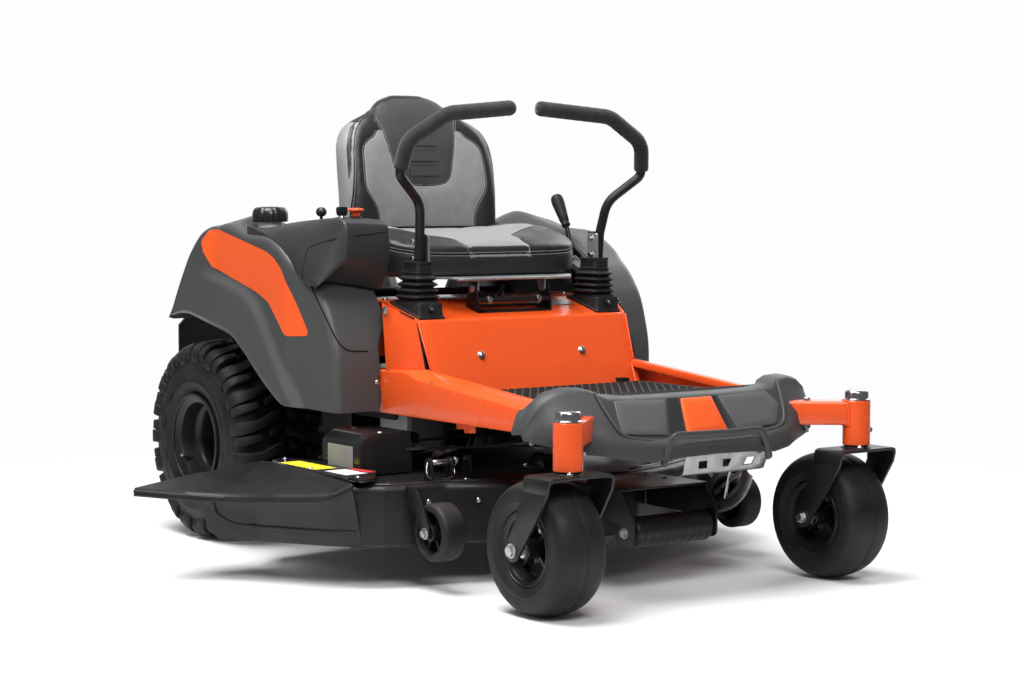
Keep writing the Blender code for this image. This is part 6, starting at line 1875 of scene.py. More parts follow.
# light side shells wrapped round the edges of the back
for s, side in SIDES:
    rows = []
    for i in range(34):
        t = i / 33
        z = lerp(0.7720, 1.0180, t)
        x_front = interp([(z_, x_) for x_, z_ in BOL_OUT[::-1]], z)
        row = []
        p0 = onto(btree, (x_front * s, -0.60, z), (0, 1, 0), 0.0010)
        yb = interp(BREAR, z) - 0.012
        for j in range(12):
            f = j / 11
            yy = lerp(p0.y, yb, f)
            q = onto(btree, (0.40 * s, yy, z), (-s, 0, 0), 0.0010)
            if f < 0.12:
                q = p0.lerp(q, f / 0.12)
            row.append(q)
        row[0] = p0
        rows.append(row)
    bm = bmesh.new()
    grid(bm, rows)
    bm.normal_update()
    n = sum((f.normal * f.calc_area() for f in bm.faces), Vector((0, 0, 0)))
    if n.x * s < 0:
        bmesh.ops.reverse_faces(bm, faces=bm.faces)
    finish("seat_back_side_" + side, bm, SIDEV, "seat", smooth=60, recalc=False)
bm = bmesh.new()
bs = bmesh.new()
# dark tubes painted as the shadow in the pressed seams; threads either side
for line in lines_b:
    l2 = relay(line, btree, None, -0.0002)
    l3 = smooth_path(l2[::2] + ([l2[-1]] if len(l2) % 2 == 0 else []), 3)
    tube(bm, l3, 0.0012, 8)
    stitches(bs, l2, btree, 0.0005, side=0.0034)
    stitches(bs, l2, btree, 0.0005, side=-0.0034)
finish("seat_back_seam_shadows", bm, SEAM_SHADE, "seat", smooth=60)
finish("seat_back_stitching", bs, THREAD, "seat", smooth=60)
# moulded rear shell of the back
rows = []
for i in range(30):
    z = lerp(0.690, 1.050, i / 29)
    w = interp(BHALF, z) * 0.90
    row = []
    for j in range(31):
        x = w * (-1 + 2 * j / 30)
        q = onto(btree, (x, 0.10, z), (0, -1, 0), 0.0022)
        row.append(q)
    rows.append(row)
bm = bmesh.new()
grid(bm, rows)
bm.normal_update()
n = sum((f.normal * f.calc_area() for f in bm.faces), Vector((0, 0, 0)))
if n.y < 0:
    bmesh.ops.reverse_faces(bm, faces=bm.faces)
finish("seat_back_rear_shell", bm, PLASTIC, "seat", smooth=60, recalc=False, solid=(0.0022, 0.0), bevel=0.0, segs=1)


# ------------------------------------------------- levers, grips and bellows
LX, LY = 0.254, -0.620
LEDGE = lambda y: interp([(-0.684, 0.5640), (-0.560, 0.5985)], y)


def sq_ring(x, y, z, hx, hy, r=0.35, n=8, tilt=0.0):
    """A rounded rectangle in plan."""
    out = []
    for qx, qy, a0 in ((1, 1, 0), (-1, 1, 90), (-1, -1, 180), (1, -1, 270)):
        rr = min(hx, hy) * r
        for k in range(n):
            a = math.radians(a0 + 90 * k / (n - 1))
            yy = y + qy * (hy - rr) + math.sin(a) * rr
            out.append((x + qx * (hx - rr) + math.cos(a) * rr, yy, z + (yy - y) * tilt))
    return out


for s, side in SIDES:
    body = side + "_lap_bar"
    x, y = LX * s, LY
    P = [Vector(p) for p in ((x + 0.0045 * s, -0.6380, 0.6600), (x + 0.0045 * s, -0.6440, 0.7500), (0.268 * s, -0.660, 0.826),
                             (0.346 * s, -0.693, 0.889), (0.333 * s, -0.710, 0.966), (0.230 * s, -0.719, 1.026), (0.037 * s, -0.694, 1.043))]
    bm = bmesh.new()
    low = fillet(P[:4] + [P[3].lerp(P[4], 0.40)], [0, 0.09, 0.07, 0.06, 0], 8)
    tube(bm, low, 0.0110, 28)
    finish(side + "_lever_tube", bm, BLACK, body, side + "_lever", smooth=60)
    bm = bmesh.new()
    lx = x - 0.0065 * s
    plate(bm, round_poly([(-0.652, 0.6100), (-0.614, 0.6100), (-0.614, 0.7560), (-0.652, 0.7560)], [0, 0, 0.008, 0.008], 5), 'YZ',
          lx - 0.0030, lx + 0.0030)
    finish(side + "_lever_lug", bm, BLACK, body, smooth=35, bevel=0.0008, segs=2)
    bm = bmesh.new()
    # bright adjusting plate seen edge-on beside the lug
    ex = x + 0.0165 * s if s < 0 else x - 0.0165 * s
    ex = lx - 0.0052 * s
    plate(bm, round_poly([(-0.6580, 0.6860), (-0.6180, 0.6860), (-0.6180, 0.7520), (-0.6580, 0.7520)], [0.002, 0.002, 0.008, 0.008], 5), 'YZ',
          ex - 0.0020, ex + 0.0020)
    finish(side + "_lever_adjuster", bm, SILVER, body, smooth=35, bevel=0.0005, segs=1)
    bm = bmesh.new()
    for z in (0.7011, 0.7392):
        hexhead(bm, (x - 0.0135 * s, -0.6340, z), (-s, 0, 0), 0.0066, 0.0048, washer=0.0085)
        hexhead(bm, (x + 0.0150 * s, -0.6340, z), (s, 0, 0), 0.0060, 0.0050)
    finish(side + "_lever_bolts", bm, ZINC, body, smooth=30)
    # foam grip with a seam, soft end and drain hole
    bm = bmesh.new()
    path = fillet([P[3].lerp(P[4], 0.16)] + P[4:], [0, 0.058, 0.075, 0], 12)
    dist = [0.0]
    for a, b in zip(path, path[1:]):
        dist.append(dist[-1] + (b - a).length)
    # resample evenly
    even = []
    n = 90
    for i in range(n + 1):
        t = dist[-1] * i / n
        for k in range(len(path) - 1):
            if dist[k + 1] >= t - 1e-9:
                f = (t - dist[k]) / max(1e-9, dist[k + 1] - dist[k])
                even.append(path[k].lerp(path[k + 1], f))
                break
    rad = []
    for i in range(len(even)):
        t = dist[-1] * i / n
        e = dist[-1] - t
        r = 0.0176 + 0.00016 * math.sin(t * 260)
        r *= 1 - 0.10 * (1 - sstep(0, 0.006, t)) - 0.14 * (1 - sstep(0, 0.007, e))
        rad.append(r)
    tube(bm, even, rad, 40, caps=True)
    finish(side + "_grip_foam", bm, FOAM, body, side + "_grip", smooth=75)
    bm = bmesh.new()
    # drain hole: a dark disc painted as the shade inside it
    d = (even[-1] - even[-2]).normalized()
    lathe(bm, [(0, -0.001), (0.0035, -0.001), (0.0035, 0.0012), (0, 0.0004)], even[-1], d, 20, cyclic=False)
    finish(side + "_grip_drain_shade", bm, HOLE_SHADE, body, smooth=40)
    # fixed skirt
    bm = bmesh.new()
    bx0, bx1 = x - 0.0365, x + 0.0365
    y0, y1 = -0.6865, -0.5640
    rings = []
    for z_lo, f in ((0.0008, 0.0), (0.0045, 0.0), (0.0060, 0.0030)):
        ring = []
        for px, py in round_poly([(bx0 + f, y0 + f), (bx1 - f, y0 + f), (bx1 - f, y1 - f), (bx0 + f, y1 - f)], 0.005, 4):
            ring.append((px, py, LEDGE(py) + z_lo))
        rings.append(ring)
    f = 0.0040
    for zt in (0.5960, 0.6005):
        g = f + (0.0010 if zt > 0.6 else 0)
        ring = []
        for px, py in round_poly([(bx0 + g, y0 + g), (bx1 - g, y0 + g), (bx1 - g, y1 - g), (bx0 + g, y1 - g)], 0.006, 4):
            ring.append((px, py, max(LEDGE(py) + 0.0065, zt + 0.0085 * sstep(-0.60, -0.68, py) * 0)))
        rings.append(ring)
    ring = []
    for px, py in round_poly([(x - 0.027, -0.676), (x + 0.027, -0.676), (x + 0.027, -0.575), (x - 0.027, -0.575)], 0.006, 4):
        ring.append((px, py, 0.6005))
    rings.append(ring)
    loft(bm, rings, caps=False)
    # recessed pocket for the clamp screw on the front
    for zz, r in ((0.5885, 0.0085),):
        c = Vector((x, -0.6830, zz))
        lathe(bm, [(0.0050, 0.0), (r, 0.0), (r + 0.001, 0.0042), (r - 0.0005, 0.0056), (0.0062, 0.0056), (0.0058, 0.001)], c, (0, -1, 0), 32)
    finish(side + "_boot_skirt", bm, RUBBER, "frame", side + "_boot_base", smooth=38, bevel=0.0007, segs=1, angle=40)
    bm = bmesh.new()
    c = Vector((x, -0.6835, 0.5885))
    hexhead(bm, c, (0, -1, 0), 0.0050, 0.0050)
    finish(side + "_boot_screw", bm, ZINC, "frame", smooth=30)
    # bellows: pleats of decreasing size; the fold count matches the real one
    prof = [(0.6000, 0.0290, 0.0520), (0.6040, 0.0300, 0.0510)]
    zz = 0.6060
    sizes = [(0.0345, 0.0500), (0.0330, 0.0480), (0.0315, 0.0460), (0.0300, 0.0438)]
    for hx, hy in sizes:
        prof += [(zz + 0.0010, hx - 0.0085, hy - 0.0085), (zz + 0.0045, hx - 0.0030, hy - 0.0030), (zz + 0.0068, hx, hy),
                 (zz + 0.0078, hx + 0.0004, hy + 0.0004), (zz + 0.0088, hx - 0.0006, hy - 0.0006), (zz + 0.0118, hx - 0.0055, hy - 0.0055)]
        zz += 0.0140
    prof += [(zz + 0.0006, 0.0225, 0.0330), (zz + 0.0020, 0.0235, 0.0335), (0.6665, 0.0240, 0.0340), (0.6690, 0.0245, 0.0345),
             (0.6702, 0.0225, 0.0320), (0.6860, 0.0215, 0.0310), (0.6875, 0.0228, 0.0324), (0.6925, 0.0230, 0.0326), (0.6935, 0.0218, 0.0314),
             (0.6930, 0.0165, 0.0260), (0.6700, 0.0160, 0.0255)]
    prof = [p for p in prof]
    yc = lambda z: -0.6255 - 0.0035 * sstep(0.60, 0.69, z)
    k = next(i for i, p in enumerate(prof) if p[0] > 0.6335)
    # below the split the bellows runs from the fixed skirt to the pivot, above it from the pivot to the lever; neither
    # part is attached to a body
    for part, rows_, b0, b1, z0, z1, stands in (("lower", prof[:k + 1], "frame", side + "_pivot", 0.6010, 0.6330, ()),
                                                ("upper", prof[k:], side + "_pivot", body, prof[k][0] + 0.0015, 0.6650, (side + "_boot",))):
        bm = bmesh.new()
        loft(bm, [sq_ring(x, yc(z), z, hx, hy, 0.42) for z, hx, hy in rows_], caps=False)
        ob = finish(side + "_bellows_" + part, bm, RUBBER, None, stands, smooth=45, solid=(0.0012, -1.0))
        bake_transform(ob)

# ---------------------------------------------- seat bracket, hinge and wiring
bm = bmesh.new()
HY, HZ = -0.632, 0.628
th = 0.0032
for s in (1, -1):
    x0, x1 = sorted((0.1018 * s, 0.1060 * s))
    out = [(-0.6560, LEDGE(-0.6560) + 0.0005), (-0.6070, LEDGE(-0.6070) + 0.0005), (-0.6070, 0.6020), (-0.6150, 0.6180), (-0.6180, 0.6300),
           (-0.6180, 0.6420), (-0.6460, 0.6420), (-0.6490, 0.6220), (-0.6560, 0.5980)]
    plate(bm, round_poly(out, [0.001, 0.001, 0.006, 0.02, 0.01, 0.006, 0.006, 0.02, 0.006], 4), 'YZ', x0, x1)
# base flange, window frame and front lip
for x0, x1, y0, y1 in ((-0.106, -0.086, -0.656, -0.607), (0.086, 0.106, -0.656, -0.607), (-0.106, 0.106, -0.6660 + 0.010, -0.6440),
                       (-0.106, 0.106, -0.619, -0.607)):
    rows = [[(x, y, LEDGE(y) + 0.0040) for x in (x0, x1)] for y in (y0, y1)]
    prism(bm, [(x0, y0, LEDGE(y0) + 0.0008), (x1, y0, LEDGE(y0) + 0.0008), (x1, y1, LEDGE(y1) + 0.0008), (x0, y1, LEDGE(y1) + 0.0008)],
          (0, 0, th))
rod(bm, (-0.1010, -0.6500, 0.6010), (0.1010, -0.6500, 0.6010), 0.0058, 20, 0.001)
finish("seat_hinge_bracket", bm, BLACK, "frame", "seat_bracket", smooth=35, bevel=0.0009, segs=2)
bm = bmesh.new()
for s in (1, -1):
    hexhead(bm, (0.1065 * s, HY, HZ), (s, 0, 0), 0.0085, 0.0060, washer=0.0115)
    hexhead(bm, (0.1012 * s, HY, HZ), (-s, 0, 0), 0.0070, 0.0055)
    hexhead(bm, (0.0710 * s, -0.6500, 0.6010), (0, -0.95, 0.3), 0.0072, 0.0060, washer=0.0100)
    hexhead(bm, (0.0960 * s, -0.6140, LEDGE(-0.6140) + 0.0040), (0, 0, 1), 0.0060, 0.0045, washer=0.0085)
finish("seat_bracket_bolts", bm, ZINC, "frame", smooth=30)
bm = bmesh.new()
pts = [(0.020, -0.560, 0.6030), (0.014, -0.580, 0.6200), (0.004, -0.605, 0.6300), (-0.010, -0.618, 0.6200), (-0.012, -0.626, 0.6040), (-0.010, -0.634, 0.5960)]
tube(bm, smooth_path(pts, 6), 0.0032, 12)
pts = [(0.055, -0.560, 0.6030), (0.050, -0.590, 0.6160), (0.040, -0.612, 0.6190), (0.034, -0.626, 0.6080), (0.036, -0.634, 0.5960)]
tube(bm, smooth_path(pts, 6), 0.0022, 10)
box(bm, (-0.060, -0.6000, 0.6030), (-0.018, -0.5780, 0.6180))
finish("seat_switch_wiring", bm, PLASTIC, "frame", smooth=45, bevel=0.0008, segs=1, angle=50)
bm = bmesh.new()
# plain grey plate on the ledge behind the bracket
prism(bm, [(0.085, -0.6200, LEDGE(-0.620) + 0.0006), (0.200, -0.6200, LEDGE(-0.620) + 0.0006), (0.200, -0.5850, LEDGE(-0.585) + 0.0006),
           (0.085, -0.5850, LEDGE(-0.585) + 0.0006)], (0, 0, 0.0008))
finish("ledge_plate", bm, SILVER, "frame", smooth=30)

# seat plate: flanged pan with rolled front edge, springs under the cushion
bm = bmesh.new()
out = round_poly([(-0.165, -0.654), (0.165, -0.654), (0.205, -0.600), (0.205, -0.168), (-0.205, -0.168), (-0.205, -0.600)], 0.016, 5)
plate(bm, out, 'XY', 0.6508, 0.6546)
for s in (1, -1):
    x0, x1 = sorted((0.0935 * s, 0.0985 * s))
    plate(bm, round_poly([(-0.6450, 0.6515), (-0.6430, 0.6180), (-0.6210, 0.6180), (-0.6120, 0.6515)], [0, 0.009, 0.009, 0], 5), 'YZ', x0, x1)
tube(bm, [(-0.163, -0.6535, 0.6500), (0.163, -0.6535, 0.6500)], 0.0036, 16, ry=0.0050)
for x0 in (-0.130, -0.045, 0.045, 0.130):
    box(bm, (x0 - 0.006, -0.580, 0.6478), (x0 + 0.006, -0.220, 0.6510))
finish("seat_pan_pressing", bm, SILVER, "seat", "seat_plate", smooth=35, bevel=0.0008, segs=2)
bm = bmesh.new()
for s in (1, -1):
    for y in (-0.540, -0.260):
        hexhead(bm, (0.155 * s, y, 0.6508), (0, 0, -1), 0.0075, 0.0055, washer=0.0110)
finish("seat_pan_bolts", bm, ZINC, "seat", smooth=30)


# ------------------------------------------------------------------ deck shell
DPLAN = [(-0.553, -0.420), (-0.553, -0.820), (-0.500, -0.862), (-0.430, -0.884), (-0.360, -0.890), (-0.235, -0.955), (-0.080, -1.010),
         (0.080, -1.010), (0.235, -0.955), (0.360, -0.890), (0.430, -0.884), (0.540, -0.850), (0.600, -0.770), (0.6185, -0.660),
         (0.6185, -0.460), (0.560, -0.365), (0.300, -0.335), (-0.300, -0.335), (-0.500, -0.360)]
SPOTS = ((-0.385, -0.620), (0.0, -0.780), (0.385, -0.620))
bm = bmesh.new()
t = 0.0035
loopo = round_poly(DPLAN, [0.004, 0.012, 0.03, 0.03, 0.04, 0.05, 0.05, 0.05, 0.05, 0.04, 0.03, 0.05, 0.05, 0.06, 0.06, 0.05, 0.03, 0.03, 0.03], 5)
# keep the discharge edge at x = -0.553 open: rotate the loop so it starts after it
k0 = max(range(len(loopo)), key=lambda i: (loopo[i][0] < -0.5525 and loopo[i][1] < -0.70, loopo[i][1] * 0 + i))
n = len(loopo)
order = sorted(range(n), key=lambda i: i)
edge = [i for i in range(n) if abs(loopo[i][0] + 0.553) < 1e-4]
i_hi = max(edge, key=lambda i: loopo[i][1])     # rear end of the opening
i_lo = min(edge, key=lambda i: loopo[i][1])     # front end
seq = []
i = i_lo
while True:
    seq.append(loopo[i])
    if i == i_hi:
        break
    i = (i + 1) % n if (i + 1) % n != i_hi or True else i
    if len(seq) > 2 * n:
        break
if (seq[1][0] - seq[0][0]) == 0 and seq[1][1] > seq[0][1]:
    seq = []
    i = i_lo
    while True:
        seq.append(loopo[i])
        if i == i_hi:
            break
        i = (i - 1) % n
cxy = Vector((0.0, -0.64))


def inset(p, d):
    v = Vector(p) - cxy
    return tuple(Vector(p) - v.normalized() * d)


rows = []
for z, d in ((0.0900, 0.0), (0.0940, 0.0), (0.1500, 0.0), (0.2040, 0.0), (0.2120, 0.0008), (0.2180, 0.0034), (0.2212, 0.0076), (0.2228, 0.0130)):
    rows.append([(*inset(p, d), z) for p in seq])
grid(bm, rows)
top = [bm.verts.new((*inset(p, 0.0130), 0.2228)) for p in seq]
bm.faces.new(top)
# rolled lower lip
lipp = [Vector((*inset(p, -0.0005), 0.0915)) for p in seq]
finish("deck_shell_pressing", bm, BLACK, "deck", "deck_shell", smooth=40, solid=(0.0036, -1.0), weld=1e-4)
dtop = 0.2230
bm = bmesh.new()
tube(bm, [Vector((*inset(p, 0.0022), 0.0935)) for p in seq], 0.0030, 8)
for x, y in SPOTS:
    lathe(bm, [(0.0, 0.1900), (0.0480, 0.1900), (0.0480, 0.1980), (0.0440, 0.2010), (0.0440, 0.2228), (0.0720, 0.2229), (0.0740, 0.2240), (0.0740, 0.2262),
               (0.0715, 0.2272), (0.0470, 0.2280), (0.0400, 0.2330), (0.0350, 0.2440), (0.0340, 0.2520), (0.0300, 0.2530), (0.0, 0.2530)], (x, y, 0), (0, 0, 1), 48,
          cyclic=False)
    for k in range(4):
        a = math.pi / 4 + k * math.pi / 2
        d = Vector((math.cos(a), math.sin(a), 0))
        u = Vector((-d.y, d.x, 0)) * 0.003
        q = Vector((x, y, 0))
        prism(bm, [q + d * 0.034 + u + Vector((0, 0, 0.2275)), q + d * 0.068 + u + Vector((0, 0, 0.2270)), q + d * 0.036 + u + Vector((0, 0, 0.2480))],
              -u * 2)
# roller bracket
plate(bm, round_poly([(-0.118, -1.205), (0.118, -1.205), (0.118, -0.995), (-0.118, -0.995)], 0.004, 3), 'XY', 0.2190, 0.2228)
for s in (1, -1):
    x0, x1 = sorted((0.1132 * s, 0.1180 * s))
    plate(bm, round_poly([(-1.000, 0.150), (-1.000, 0.2215), (-1.195, 0.2215), (-1.238, 0.165), (-1.238, 0.105), (-1.190, 0.105), (-1.150, 0.150)],
                         [0.004, 0.002, 0.012, 0.02, 0.02, 0.012, 0.03], 5), 'YZ', x0, x1)
    # wheel bracket, gusset and its braced ear
    x0, x1 = sorted((0.4518 * s, 0.4580 * s))
    plate(bm, round_poly([(-0.890, 0.1900), (-0.890, 0.2180), (-0.928, 0.2180), (-0.974, 0.143), (-0.974, 0.118), (-0.947, 0.118), (-0.930, 0.160)],
                         [0.002, 0.002, 0.02, 0.012, 0.012, 0.012, 0.02], 5), 'YZ', x0, x1)
    prism(bm, [(0.430 * s, -0.880, 0.2180), (0.4540 * s, -0.880, 0.2180), (0.4540 * s, -0.925, 0.2160)], (0, 0, 0.0040))
rod(bm, (-0.1165, -1.210, 0.131), (0.1165, -1.210, 0.131), 0.0062, 16)
# stiffening rib along the front edge
pts = [Vector((*inset(p, 0.030), 0.2232)) for p in seq if p[1] < -0.80]
tube(bm, pts, 0.0042, 10, ry=0.0065, rounded=True)
# ribs pressed in the deck's top
for (ax, ay), (bx, by) in (((-0.290, -0.400), (-0.090, -0.400)), ((0.090, -0.400), (0.290, -0.400)), ((-0.220, -0.900), (-0.120, -0.940)),
                           ((0.120, -0.940), (0.220, -0.900)), ((0.520, -0.560), (0.560, -0.700))):
    tube(bm, [Vector((ax, ay, 0.2226)), Vector((bx, by, 0.2226))], 0.0045, 10, ry=0.0080, rounded=True)
# hangers rising to the frame
for x, y in ((-0.265, -0.840), (0.265, -0.840), (-0.265, -0.450), (0.265, -0.450)):
    plate(bm, round_poly([(y - 0.020, 0.2228), (y + 0.020, 0.2228), (y + 0.012, 0.2740), (y - 0.012, 0.2740)], [0, 0, 0.009, 0.009], 5), 'YZ', x - 0.003, x + 0.003)
finish("deck_brackets", bm, BLACK, "deck", smooth=35, bevel=0.0008, segs=2, angle=35)
bm = bmesh.new()
for x, y in SPOTS:
    for k in range(4):
        a = k * math.pi / 2
        hexhead(bm, (x + math.cos(a) * 0.060, y + math.sin(a) * 0.060, 0.2270), (0, 0, 1), 0.0066, 0.0050, washer=0.0090)
for s in (1, -1):
    hexhead(bm, (0.4580 * s, -0.960, 0.130), (s, 0, 0), 0.0090, 0.0070, washer=0.0125)
    rod(bm, (0.3850 * s, -0.960, 0.130), (0.4520 * s, -0.960, 0.130), 0.0062, 16)
    hexhead(bm, (0.3850 * s, -0.960, 0.130), (-s, 0, 0), 0.0085, 0.0062, washer=0.0110)
    hexhead(bm, (0.1182 * s, -1.210, 0.131), (s, 0, 0), 0.0090, 0.0070, washer=0.0120)
    hexhead(bm, (0.0820 * s, -1.030, 0.2228), (0, 0, 1), 0.0070, 0.0052, washer=0.0100)
    hexhead(bm, (0.0820 * s, -1.100, 0.2228), (0, 0, 1), 0.0062, 0.0046, washer=0.0090)
    rod(bm, (0.2620 * s, -0.840, 0.2640), (0.2740 * s, -0.840, 0.2640), 0.0055, 16)
    rod(bm, (0.2620 * s, -0.450, 0.2640), (0.2740 * s, -0.450, 0.2640), 0.0055, 16)
for x, y in ((-0.3300, -0.845), (-0.2850, -0.865), (0.3300, -0.845), (-0.4700, -0.835), (0.4700, -0.835)):
    dome(bm, (x, y, 0.2230), (0, 0, 1), 0.0072, 0.0042)
for x, y, z in ((-0.4000, -0.8895, 0.185), (0.4000, -0.8895, 0.185), (-0.2950, -0.9270, 0.185)):
    dome(bm, (x, y, z), (0, -1, 0), 0.0065, 0.0038)
finish("deck_fasteners", bm, ZINC, "deck", smooth=30)
# bright hinge pin with its spring bail
bm = bmesh.new()
rod(bm, (-0.3680, -0.8450, 0.2620), (-0.3100, -0.8450, 0.2620), 0.0070, 24, 0.001)
rod(bm, (-0.3060, -0.8450, 0.2620), (-0.3000, -0.8450, 0.2620), 0.0105, 24, 0.001)
dome(bm, (-0.3000, -0.8450, 0.2620), (1, 0, 0), 0.0090, 0.0070)
tube(bm, smooth_path([(-0.3740, -0.8450, 0.2640), (-0.3800, -0.8500, 0.2480), (-0.3780, -0.8560, 0.2330), (-0.3560, -0.8600, 0.2270), (-0.3300, -0.8600, 0.2270),
                      (-0.3120, -0.8560, 0.2340), (-0.3080, -0.8500, 0.2480), (-0.3100, -0.8450, 0.2540)], 6), 0.0020, 10)
finish("deck_bright_pin", bm, ZINC, "deck", smooth=45)
bm = bmesh.new()
for x0 in (-0.3700, -0.3160):
    plate(bm, round_poly([(-0.862, 0.2228), (-0.828, 0.2228), (-0.832, 0.2720), (-0.858, 0.2720)], [0, 0, 0.008, 0.008], 5), 'YZ', x0 - 0.0025, x0 + 0.0025)
# spring and link on the idler
tube(bm, [(-0.240, -0.560, 0.240), (-0.120, -0.500, 0.244)], 0.0060, 14, rounded=True)
plate(bm, round_poly([(-0.270, -0.590), (-0.215, -0.600), (-0.060, -0.470), (-0.090, -0.450), (-0.260, -0.560)], 0.010, 5), 'XY', 0.2320, 0.2370)
finish("deck_links", bm, BLACK, "deck", smooth=40, bevel=0.0008, segs=1)
bm = bmesh.new()
path = []
for i in range(260):
    tt = i / 259
    a = tt * 2 * math.pi * 20
    c = Vector((lerp(-0.215, -0.110, tt), lerp(-0.640, -0.560, tt), 0.2500))
    d = Vector((0.105, 0.080, 0)).normalized()
    u = Vector((-d.y, d.x, 0))
    path.append(c + u * math.cos(a) * 0.0080 + Vector((0, 0, 1)) * math.sin(a) * 0.0080)
tube(bm, path, 0.0013, 6)
finish("idler_spring", bm, ZINC, "deck", smooth=60)

# pulley covers: light side, dark glossy face
for s, side in SIDES:
    bm = bmesh.new()
    prof = [(0.2990, 0.2870), (0.2990, 0.3040), (0.3010, 0.3090), (0.3060, 0.3120), (0.3220, 0.3150), (0.4230, 0.3150), (0.4300, 0.3135), (0.4350, 0.3100),
            (0.4515, 0.2990), (0.4545, 0.2950), (0.4560, 0.2900), (0.4560, 0.2238)]
    rows = []
    for y, sc in ((-0.7000, 1), (-0.6960, 1), (-0.5490, 1), (-0.5450, 1)):
        rows.append([(x * s, y, z) for x, z in prof])
    grid(bm, rows)
    # front skirt, leaning
    front = [(x * s, -0.7000, z) for x, z in prof]
    foot = [(x * s, -0.7120, 0.2262 if x > 0.33 else 0.2262) for x, z in prof]
    grid(bm, [[(x * s, -0.7000 - 0.004 * k / 3 * 1.0, lerp(z, 0.2262, k / 3)) for x, z in prof[4:]] for k in range(4)])
    finish(side + "_cover_moulding", bm, GLOSSP, "deck", side + "_pulley_cover", smooth=35, solid=(0.0028, 0.0), bevel=0.0012, segs=2, angle=35)
    bm = bmesh.new()
    rows = [[(0.4582 * s, y, z) for y in (-0.6750, -0.6200, -0.5700)] for z in (0.2360, 0.2620, 0.2880)]
    prism(bm, [(0.4580 * s, -0.6750, 0.2320), (0.4580 * s, -0.5700, 0.2320), (0.4580 * s, -0.5700, 0.2880), (0.4580 * s, -0.6750, 0.2880)], (0.0016 * s, 0, 0))
    finish(side + "_cover_side_plate", bm, SIDEV, "deck", smooth=35, bevel=0.0006, segs=1)
    bm = bmesh.new()
    for y in (-0.6780, -0.5700):
        dome(bm, (0.3900 * s, y, 0.3150), (0, 0, 1), 0.0080, 0.0046)
    finish(side + "_cover_screws", bm, ZINC, "deck", smooth=30)

# discharge chute: rubbery moulding with a raised rib and rolled rim
CP = {"a": (-0.561, -0.430, 0.2370), "b": (-0.561, -0.640, 0.2400), "c": (-0.561, -0.838, 0.2300), "d": (-0.600, -0.800, 0.2060), "e": (-0.655, -0.705, 0.1970),
      "f": (-0.735, -0.572, 0.1910), "g": (-0.8790, -0.450, 0.2040), "h": (-0.740, -0.425, 0.2180), "i": (-0.640, -0.425, 0.2280)}
bm = bmesh.new()


def L3(p, q, t):
    return Vector(CP[p]).lerp(Vector(CP[q]), t)


front = [Vector(CP["c"]), Vector(CP["d"]), Vector(CP["e"]), Vector(CP["f"]), Vector(CP["g"])]
rear = [Vector(CP["c"]), Vector(CP["b"]).lerp(Vector(CP["c"]), 0.3), Vector(CP["b"]), Vector(CP["a"]), Vector(CP["i"]), Vector(CP["h"]), Vector(CP["g"])]


def param(P, t):
    L = [0.0]
    for a, b in zip(P, P[1:]):
        L.append(L[-1] + (b - a).length)
    q = t * L[-1]
    for k in range(len(P) - 1):
        if q <= L[k + 1] + 1e-9:
            return P[k].lerp(P[k + 1], (q - L[k]) / max(1e-9, L[k + 1] - L[k]))
    return P[-1].copy()


fr = smooth_path(front, 8)
rr = smooth_path(rear, 1)
rows = []
NU, NV = 44, 14
for i in range(NU + 1):
    u = i / NU
    a, b = param(fr, u), param(rear, u)
    row = []
    for j in range(NV + 1):
        v = j / NV
        p = a.lerp(b, v)
        p.z += 0.006 * math.sin(math.pi * v) * math.sin(math.pi * min(1, u * 1.3))
        # rolled front rim: the last few millimetres turn down
        row.append(p)
    rows.append(row)
rimr = [[r[0] + Vector((-0.0022, -0.0022, -0.0040)) for r in rows]]
cols = [[rows[i][j] for i in range(NU + 1)] for j in range(NV + 1)]
# turned-down wall below the front edge
wall = []
for k, (dz, out) in enumerate(((-0.0050, 0.0030), (-0.0110, 0.0045))):
    wall.append([r[0] + Vector((-out * 0.8, -out * 0.6, dz)) for r in rows])
wl_ = []
for i in range(NU + 1):
    u = i / NU
    p = rows[i][0]
    lim = sstep(0.66, 0.74, u)
    zb = lerp(0.0925, max(0.0925, p.z - 0.016), lim)
    wl_.append((p, zb, u))
full = []
for k in (0.10, 0.3, 0.5, 0.7, 0.9, 1.0):
    full.append([Vector((p.x + 0.028 * k * (1 - sstep(0.66, 0.74, u)) * (0.5 + 0.5 * (p.x > -0.7)), p.y + 0.006 * k, lerp(p.z - 0.011, zb, k))) for p, zb, u in wl_])
grid(bm, [f for f in full[::-1]] + wall[::-1] + cols)
finish("chute_moulding", bm, PLASTIC, "chute", "discharge_chute", smooth=48, solid=(0.0042, 0.0), weld=1e-4)
bm = bmesh.new()
# raised rib low on the front wall, turning up at its rear end
def on_wall(i, z):
    p, zb, u = wl_[i]
    k = max(0.1, min(1.0, (p.z - 0.011 - z) / max(1e-6, p.z - 0.011 - zb)))
    return Vector((p.x + 0.028 * k * (1 - sstep(0.66, 0.74, u)) * (0.5 + 0.5 * (p.x > -0.7)) - 0.0036, p.y + 0.006 * k - 0.0026, z))


last = int(NU * 0.60)
rib = [on_wall(i, 0.1240) for i in range(1, last - 2, 2)] + [on_wall(last, 0.1290), on_wall(last + 2, 0.1420), on_wall(last + 3, 0.1580), on_wall(last + 3, 0.1760)]
tube(bm, smooth_path(rib, 4), 0.0034, 10, rounded=True)
tube(bm, [rows[i][0] + Vector((-0.0028, -0.0024, -0.0052)) for i in range(int(NU * 0.62), NU + 1)], 0.0036, 10, rounded=True)
rod(bm, (-0.557, -0.815, 0.2380), (-0.557, -0.440, 0.2380), 0.0036, 20, 0.001)
finish("chute_ribs", bm, PLASTIC, "chute", smooth=60)
bm = bmesh.new()
for y0, y1 in ((-0.800, -0.765), (-0.670, -0.610), (-0.505, -0.465)):
    rod(bm, (-0.557, y0, 0.2380), (-0.557, y1, 0.2380), 0.0056, 24, 0.001)
finish("chute_hinge_knuckles", bm, BLACK, "deck", smooth=35)
